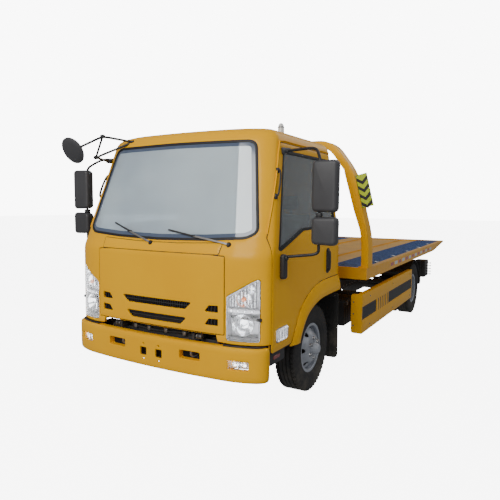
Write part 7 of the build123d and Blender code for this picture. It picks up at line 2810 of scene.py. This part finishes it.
class TOW_OT_winch(bpy.types.Operator):
    """Winch drum with its rope wound on, motor and guide rollers"""

    bl_idname = "tow.winch"
    bl_label = "Winch"

    def execute(self, context):
        centre = Vector((0, along(1.260), 1.149))
        drum = lathe(
            [
                (-0.3495, 0), (-0.3495, 0.0195), (-0.226, 0.0195), (-0.226, 0.094), (-0.223, 0.096), (-0.213, 0.096),
                (-0.210, 0.093), (-0.210, 0.0618), (0.210, 0.0618), (0.210, 0.093), (0.213, 0.096), (0.223, 0.096),
                (0.226, 0.094), (0.226, 0.0195), (0.329, 0.0195), (0.329, 0),
            ],
            centre, 56,
        )
        rope_radius, turns = 0.0052, 39
        wound = []
        for layer, (radius, rounds) in enumerate(((0.0672, turns), (0.0765, turns - 2))):
            total = rounds * 20
            for step in range(total + 1):
                turn = 2 * pi * step / 20
                run = -0.2045 + 0.0105 * (step / 20) + layer * 0.0105
                x = run if layer == 0 else -run
                wound.append(centre + Vector((x, radius * cos(turn), radius * sin(turn))))
        first_layer = swept(wound[: turns * 20 + 1], ring_section(rope_radius, 7), up=(1, 0, 0))
        second_layer = swept(wound[turns * 20 + 1:], ring_section(rope_radius, 7), up=(1, 0, 0))
        build_piece(
            "winch_spool", "winch_drum", [(drum, dull_metal()), (joined(first_layer, second_layer), rope_steel())],
            ("winch_drum",),
        )
        motor = lathe(
            [
                (0.330, 0), (0.330, 0.072), (0.338, 0.074), (0.342, 0.062), (0.352, 0.060), (0.352, 0.056),
                (0.360, 0.056), (0.360, 0.060), (0.372, 0.060), (0.372, 0.056), (0.380, 0.056), (0.380, 0.060),
                (0.392, 0.060), (0.392, 0.056), (0.400, 0.056), (0.400, 0.060), (0.436, 0.059), (0.448, 0.050),
                (0.450, 0),
            ],
            centre, 44,
        )
        cap = lathe([(0, 0), (0, 0.030), (-0.010, 0.028), (-0.010, 0)], centre + Vector((-0.3305, 0, 0)), 28)
        hoses = [
            tube(
                [
                    (0.40, along(1.235 + shift), 1.205), (0.40, along(1.235 + shift), 1.245),
                    (0.34, along(1.10 + shift), 1.245), (0.30, along(1.02), 1.05 + shift),
                ],
                0.009, 0.05, 10,
            )
            for shift in (0.0, 0.04)
        ]
        posts = [
            block((side * 0.300, along(1.383), 1.0305), (side * 0.326, along(1.412), 1.215), 0.004) for side in (-1, 1)
        ]
        rollers = [
            lathe([(-0.300, 0), (-0.300, 0.014), (0.300, 0.014), (0.300, 0)], (0, along(1.398), z), 24)
            for z in (1.085, 1.190)
        ]
        heads = [
            bolt((side * x, along(1.260 + shift), 1.0305), "Z", 0.011, 0.008) for side in (-1, 1) for x in (0.285, 0.20)
            for shift in (-0.10, 0.10)
        ]
        parts = [
            (motor, cast_metal()), (cap, dull_metal()), (joined(*hoses), seal_rubber()),
            (joined(*posts), black_paint()), (joined(*rollers), bright_metal()), (joined(*heads), dull_metal()),
        ]
        build_piece("winch_dress", "bed", parts)
        return {"FINISHED"}


PAD_VOXEL = 0.010
PAD_CAP = 0.009
PAD_PRESSURE = 4.0
PAD_FRAMES = 20


def stuffed(shape):
    """Pad swollen by a cloth simulation, each point held within a cap of its rest place."""
    mesh = mesh_of("pad", shape)
    pad = bpy.data.objects.new("pad", mesh)
    scene = bpy.context.scene
    scene.collection.objects.link(pad)
    even = pad.modifiers.new("Even", "REMESH")
    even.mode = "VOXEL"
    even.voxel_size = PAD_VOXEL
    bpy.context.view_layer.update()
    made = bpy.data.meshes.new_from_object(pad.evaluated_get(bpy.context.evaluated_depsgraph_get()))
    pad.modifiers.clear()
    pad.data = made
    rest = np.array([vert.co[:] for vert in made.vertices])
    cloth = pad.modifiers.new("Cloth", "CLOTH")
    cloth.settings.use_pressure = True
    cloth.settings.uniform_pressure_force = PAD_PRESSURE
    cloth.settings.effector_weights.gravity = 0
    cloth.settings.quality = 4
    for moment in range(1, PAD_FRAMES + 1):
        scene.frame_set(moment)
    swollen = pad.evaluated_get(bpy.context.evaluated_depsgraph_get()).to_mesh()
    grown = np.array([vert.co[:] for vert in swollen.vertices]) - rest
    length = np.linalg.norm(grown, axis=1, keepdims=True)
    rest = rest + grown * np.minimum(1.0, PAD_CAP / np.maximum(length, 1e-9))
    pad.modifiers.clear()
    scene.frame_set(1)
    made.vertices.foreach_set("co", rest.ravel())
    result = shape_of(made)
    bpy.data.objects.remove(pad)
    return result


class TOW_OT_seats(bpy.types.Operator):
    """Padded driver's seat and passenger bench with head rests"""

    bl_idname = "tow.seats"
    bl_label = "Seats"

    def execute(self, context):
        for name, middle_x, half in (("driver", 0.480, 0.260), ("bench", -0.330, 0.430)):
            splits = 1 if name == "driver" else 2
            width = 2 * half / splits
            for index in range(splits):
                x = middle_x - half + width * (index + 0.5)
                label = name if splits == 1 else f"{name}_{index + 1}"
                inner = width / 2 - 0.016
                cushion = prism(
                    rounded(
                        [
                            (along(-0.078), 1.150, 0.05), (along(-0.060), 1.262, 0.045), (along(0.262), 1.236, 0.03),
                            (along(0.262), 1.130, 0.02), (along(-0.04), 1.130, 0.03),
                        ],
                        0.03, 5,
                    ),
                    x - inner, x + inner, "X", 0.024, 3,
                )
                back = prism(
                    rounded(
                        [
                            (along(0.292), 1.275), (along(0.300), 1.560), (along(0.330), 1.600), (along(0.400), 1.600),
                            (along(0.412), 1.275),
                        ],
                        0.035, 5,
                    ),
                    x - inner, x + inner, "X", 0.026, 3,
                )
                rest = prism(
                    rounded(
                        [(along(0.322), 1.645), (along(0.328), 1.780), (along(0.385), 1.780), (along(0.392), 1.645)],
                        0.026, 5,
                    ),
                    x - 0.120, x + 0.120, "X", 0.022, 3,
                )
                pads = [stuffed(shape) for shape in (cushion, back, rest)]
                for part, pad in zip(("cushion", "back", "head_rest"), pads):
                    piece = build_piece(
                        f"{label}_{part}", "cab", [(pad, seat_fabric())], ("seats",), sharp=80
                    )
                rods = [
                    tube([(x + shift, along(0.358), 1.590), (x + shift, along(0.358), 1.660)], 0.006)
                    for shift in (-0.05, 0.05)
                ]
                piping = []
                for side in (-1, 1):
                    edge = [
                        (x + side * (inner + 0.001), along(reach), z)
                        for reach, z in ((-0.055, 1.266), (0.05, 1.262), (0.15, 1.253), (0.255, 1.243))
                    ]
                    piping.append(swept(smooth_line(edge, 20), ring_section(0.004, 8)))
                base = prism(
                    rounded(
                        [
                            (along(-0.050), 1.1105), (along(0.420), 1.1105), (along(0.420), 1.150),
                            (along(-0.030), 1.132),
                        ],
                        0.008, 3,
                    ),
                    x - inner + 0.02, x + inner - 0.02, "X", 0.004,
                )
                shell = prism(
                    rounded(
                        [(along(0.404), 1.16), (along(0.427), 1.16), (along(0.420), 1.56), (along(0.400), 1.58)], 0.008,
                        3,
                    ),
                    x - inner + 0.03, x + inner - 0.03, "X", 0.004,
                )
                build_piece(
                    f"{label}_frame", "cab",
                    [
                        (joined(base, shell), black_plastic()), (joined(*rods), bright_metal()),
                        (joined(*piping), black_plastic()),
                    ],
                    ("seats",),
                )
        return {"FINISHED"}


class TOW_OT_dashboard(bpy.types.Operator):
    """Dashboard with its hood, vents and column, and the steering wheel"""

    bl_idname = "tow.dashboard"
    bl_label = "Dashboard"

    def execute(self, context):
        outline = [
            (-0.925, 1.110, 0.05), (-0.925, 1.352, 0.03), (-0.760, 1.350, 0.05), (-0.665, 1.300, 0.05),
            (-0.650, 1.140, 0.04), (-0.760, 1.085, 0.04),
        ]
        wide = prism(
            rounded([(along(corner[0]), *corner[1:]) for corner in outline], 0.04, 5), -0.660, 0.660, "X", 0.014, 3
        )
        ends = []
        for side in (-1, 1):
            profile = [
                (-0.830, 1.110, 0.04), (-0.830, 1.335, 0.03), (-0.740, 1.335, 0.04), (-0.668, 1.290, 0.05),
                (-0.653, 1.150, 0.04), (-0.760, 1.100, 0.04),
            ]
            ends.append(
                prism(
                    rounded([(along(corner[0]), *corner[1:]) for corner in profile], 0.04, 5), side * 0.640,
                    side * 0.845, "X", 0.018, 3,
                )
            )
        hood = moved(dome((0, 0, 0), (0.205, 0.105, 0.055), 3.4, 36, half=True), (0.480, along(-0.770), 1.303))
        dial_plate = turned(
            prism(
                rounded([(0.330, 1.215), (0.630, 1.215), (0.610, 1.325), (0.350, 1.325)], 0.02, 4), along(-0.668),
                along(-0.660), "Y", 0.002,
            ),
            (0.48, along(-0.664), 1.27), "X", -0.25,
        )
        dials = [
            lathe([(0, 0.034), (0, 0.042), (0.006, 0.041), (0.006, 0.034)], (x, along(-0.662), 1.275), 32, "Y")
            for x in (0.425, 0.535)
        ]
        vents = []
        for x in (-0.760, -0.120, 0.120, 0.745):
            vents.append(
                prism(
                    oblong((x - 0.060, 1.200), (x + 0.060, 1.270), 0.012, 4), along(-0.664), along(-0.652), "Y", 0.003
                )
            )
            vents += [
                block((x - 0.052, along(-0.654), z), (x + 0.052, along(-0.648), z + 0.004), 0.001, 1)
                for z in (1.212, 1.226, 1.240, 1.254)
            ]
        radio = prism(oblong((-0.095, 1.115), (0.095, 1.178), 0.008, 3), along(-0.668), along(-0.650), "Y", 0.003)
        knobs = [
            lathe([(0, 0), (0, 0.012), (0.010, 0.010), (0.010, 0)], (x, along(-0.651), 1.147), 20, "Y")
            for x in (-0.070, 0.070)
        ]
        glove = prism(oblong((-0.600, 1.125), (-0.260, 1.190), 0.012, 3), along(-0.668), along(-0.6495), "Y", 0.003)
        parts = [
            (joined(wide, *ends), dash_skin()), (hood, dash_skin()), (dial_plate, black_plastic()),
            (joined(*dials), dull_metal()), (joined(*vents), black_plastic()), (joined(radio, *knobs), black_plastic()),
            (glove, trim_grey()),
        ]
        build_piece("dash_panel", "cab", parts, ("dashboard",))
        # wheel ring leaning towards the driver
        centre = Vector((0.480, along(-0.560), 1.420))
        lean = Matrix.Rotation(-radians(30), 4, "X")
        ring = [
            centre + lean @ Vector((0.200 * cos(turn), 0.200 * sin(turn), 0))
            for turn in np.linspace(0, 2 * pi, 64, endpoint=False)
        ]
        rim = swept(ring, ring_section(0.0145, 12), up=lean @ Vector((0, 0, 1)), closed=True)
        spokes = [
            swept(
                [
                    centre + lean @ Vector((0.045 * cos(turn), 0.045 * sin(turn), -0.012)),
                    centre + lean @ Vector((0.12 * cos(turn), 0.12 * sin(turn), -0.008)),
                    centre + lean @ Vector((0.192 * cos(turn), 0.192 * sin(turn), 0)),
                ],
                box_section(0.030, 0.012, 0.004), up=lean @ Vector((0, 0, 1)),
            )
            for turn in (radians(-20), radians(200), radians(270))
        ]
        pad = dome((0, 0, 0), (0.075, 0.062, 0.024), 3.0, 32)
        pad = ([centre + lean @ (vert + Vector((0, 0, -0.004))) for vert in pad[0]], pad[1])
        column = swept(
            [centre + lean @ Vector((0, 0, -0.02)), centre + lean @ Vector((0, 0, -0.115))], ring_section(0.028, 20)
        )
        shroud = swept(
            [centre + lean @ Vector((0, 0, -0.045)), centre + lean @ Vector((0, 0, -0.112))],
            box_section(0.085, 0.080, 0.02, 4),
        )
        stalks = [
            swept(
                [
                    centre + lean @ Vector((0, 0, -0.06)), centre + lean @ Vector((side * 0.10, 0.02, -0.050)),
                    centre + lean @ Vector((side * 0.165, 0.03, -0.045)),
                ],
                ring_section(0.006, 8),
            )
            for side in (-1, 1)
        ]
        parts = [
            (rim, black_plastic()), (joined(*spokes), black_plastic()), (pad, trim_grey()), (column, dull_metal()),
            (shroud, trim_grey()), (joined(*stalks), black_plastic()),
        ]
        build_piece("steering_ring", "cab", parts, ("steering_wheel",))
        return {"FINISHED"}


class TOW_OT_underlift(bpy.types.Operator):
    """Pivot pins, collar and fork ends of the underlift"""

    bl_idname = "tow.underlift"
    bl_label = "Underlift"

    def execute(self, context):
        pivot = Vector((0, along(4.780), 0.460))
        pins = [
            lathe(
                [(0, 0), (0, 0.034), (side * 0.008, 0.032), (side * 0.008, 0)], pivot + Vector((side * 0.0965, 0, 0)),
                28,
            )
            for side in (-1, 1)
        ]
        build_piece("lift_pins", "chassis", [(joined(*pins), bright_metal())])
        collar = [
            block((-0.066, along(5.630), 0.394), (0.066, along(5.668), 0.401), 0.002),
            block((-0.066, along(5.630), 0.519), (0.066, along(5.668), 0.526), 0.002),
        ]
        collar += [
            block((side * 0.059, along(5.630), 0.400), (side * 0.066, along(5.668), 0.520), 0.002) for side in (-1, 1)
        ]
        build_piece("lift_collar", "lift_arm", [(joined(*collar), dull_metal())])
        ends = []
        for side in (-1, 1):
            ends.append(block((side * 0.440, along(5.775), 0.412), (side * 0.525, along(5.873), 0.508), 0.008, 3))
            ends.append(
                lathe([(0, 0), (0, 0.020), (0.012, 0.018), (0.012, 0)], (side * 0.485, along(5.822), 0.508), 20, "Z")
            )
        build_piece("lift_ends", "lift_fork", [(joined(*ends), black_paint())])
        return {"FINISHED"}


# Camera that took the photograph: across, reach and height in metres, angles in degrees, lens shift
CAMERA_PLACE = (2.625, -4.013, 1.68)
CAMERA_YAW, CAMERA_PITCH, CAMERA_ROLL = 29.536, -4.113, -0.433
CAMERA_SHIFT = (-0.0146, -0.0196)
SKY_SEEN = 9.0
SKY_LIGHT = 0.26
FLOOR_HALF = 60


class TOW_OT_stage(bpy.types.Operator):
    """Camera at the photograph's place, pale floor and soft lamps"""

    bl_idname = "tow.stage"
    bl_label = "Stage"

    def execute(self, context):
        stage = context.scene.tow_stage
        yaw, pitch, roll = radians(CAMERA_YAW), radians(CAMERA_PITCH), radians(CAMERA_ROLL)
        ahead = Vector((-sin(yaw), cos(yaw), 0))
        right = Vector((cos(yaw), sin(yaw), 0))
        up = Vector((0, 0, 1))
        forward = ahead * cos(pitch) + up * sin(pitch)
        rise = up * cos(pitch) - ahead * sin(pitch)
        across = right * cos(roll) - rise * sin(roll)
        rise = right * sin(roll) + rise * cos(roll)
        camera = bpy.data.objects.new("camera", bpy.data.cameras.new("camera"))
        context.scene.collection.objects.link(camera)
        place = Matrix((across, rise, -forward)).transposed().to_4x4()
        place.translation = Vector((CAMERA_PLACE[0], along(CAMERA_PLACE[1]), CAMERA_PLACE[2]))
        camera.matrix_world = place
        camera.data.lens = stage.lens
        camera.data.shift_x, camera.data.shift_y = CAMERA_SHIFT
        camera.data.clip_end = 200
        context.scene.camera = camera
        floor_paint = finish_of(
            "Pale floor", (0.86, 0.86, 0.85), other=(0.82, 0.82, 0.81), rough=0.7, spread=0.05, mottle=0.4, grain=30.0,
            depth=0.0005, bump=0.1, Emission_Color=(1, 1, 1, 1), Emission_Strength=7.0,
        )
        if stage.floor_shown:
            corners = [(x * FLOOR_HALF, y * FLOOR_HALF, 0) for x, y in ((-1, -1), (1, -1), (1, 1), (-1, 1))]
            floor = bpy.data.objects.new("floor", mesh_of("floor", (corners, [(0, 1, 2, 3)])))
            floor.data.materials.append(floor_paint)
            floor.visible_diffuse = False
            floor.visible_glossy = False
            context.scene.collection.objects.link(floor)
        world = bpy.data.worlds.new("Soft studio")
        context.scene.world = world
        world.use_nodes = True
        # white to the camera and soft grey to the truck
        tree = world.node_tree
        shown = tree.nodes["Background"]
        shown.inputs["Color"].default_value = (1.0, 1.0, 1.0, 1)
        shown.inputs["Strength"].default_value = SKY_SEEN
        light = tree.nodes.new("ShaderNodeBackground")
        light.inputs["Color"].default_value = (0.94, 0.96, 1.0, 1)
        light.inputs["Strength"].default_value = SKY_LIGHT
        rays = tree.nodes.new("ShaderNodeLightPath")
        choose = tree.nodes.new("ShaderNodeMixShader")
        tree.links.new(rays.outputs["Is Camera Ray"], choose.inputs[0])
        tree.links.new(light.outputs[0], choose.inputs[1])
        tree.links.new(shown.outputs[0], choose.inputs[2])
        tree.links.new(choose.outputs[0], tree.nodes["World Output"].inputs["Surface"])
        lamps = (
            ("key", (0.5, along(-8.0), 5.5), 5.0, 560.0, (1.0, 0.98, 0.95)),
            ("fill", (7.5, along(-1.0), 6.0), 6.0, 85.0, (0.95, 0.97, 1.0)),
            ("rear", (3.0, along(9.0), 8.0), 6.0, 170.0, (1.0, 1.0, 1.0)),
        )
        for name, spot, size, power, colour in lamps:
            data = bpy.data.lights.new(name, "AREA")
            data.size = size
            data.energy = power * stage.light
            data.color = colour
            lamp = bpy.data.objects.new(name, data)
            context.scene.collection.objects.link(lamp)
            lamp.location = spot
            aim = Vector((0, along(0.8), 1.0)) - Vector(spot)
            lamp.rotation_mode = "QUATERNION"
            lamp.rotation_quaternion = aim.to_track_quat("-Z", "Y")
        return {"FINISHED"}


SETTINGS = (
    ("tow_paint", TowPaint), ("tow_cab", TowCab), ("tow_wheel", TowWheel), ("tow_deck", TowDeck),
    ("tow_stage", TowStage),
)
OPERATORS = (
    TOW_OT_stage, TOW_OT_cab_skin, TOW_OT_wheel_arches, TOW_OT_cab_floor, TOW_OT_glazing, TOW_OT_front_panel,
    TOW_OT_headlamps, TOW_OT_doors, TOW_OT_door_mirrors, TOW_OT_near_mirror, TOW_OT_wipers, TOW_OT_roof_details,
    TOW_OT_cab_steps, TOW_OT_bumper, TOW_OT_fog_lamps, TOW_OT_wheels, TOW_OT_running_gear, TOW_OT_radiator,
    TOW_OT_side_guards, TOW_OT_mudguards, TOW_OT_tanks, TOW_OT_control_box, TOW_OT_tail, TOW_OT_deck, TOW_OT_gantry,
    TOW_OT_winch, TOW_OT_seats, TOW_OT_dashboard, TOW_OT_underlift,
)


class TOW_PT_panel(bpy.types.Panel):
    """Lists the pieces of the truck"""

    bl_idname = "TOW_PT_panel"
    bl_label = "Flatbed tow truck"
    bl_space_type = "VIEW_3D"
    bl_region_type = "UI"
    bl_category = "Tow truck"

    def draw(self, context):
        for name, _ in SETTINGS:
            group = getattr(context.scene, name)
            column = self.layout.column(align=True)
            for key in group.__annotations__:
                column.prop(group, key)
        column = self.layout.column(align=True)
        for operator in OPERATORS:
            column.operator(operator.bl_idname)


def register():
    for name, kind in SETTINGS:
        bpy.utils.register_class(kind)
        setattr(bpy.types.Scene, name, PointerProperty(type=kind))
    for operator in OPERATORS:
        bpy.utils.register_class(operator)
    bpy.utils.register_class(TOW_PT_panel)


def unregister():
    bpy.utils.unregister_class(TOW_PT_panel)
    for operator in reversed(OPERATORS):
        bpy.utils.unregister_class(operator)
    for name, kind in reversed(SETTINGS):
        delattr(bpy.types.Scene, name)
        bpy.utils.unregister_class(kind)


def main():
    register()
    for operator in OPERATORS:
        family, name = operator.bl_idname.split(".")
        getattr(getattr(bpy.ops, family), name)()


if __name__ == "__main__":
    main()
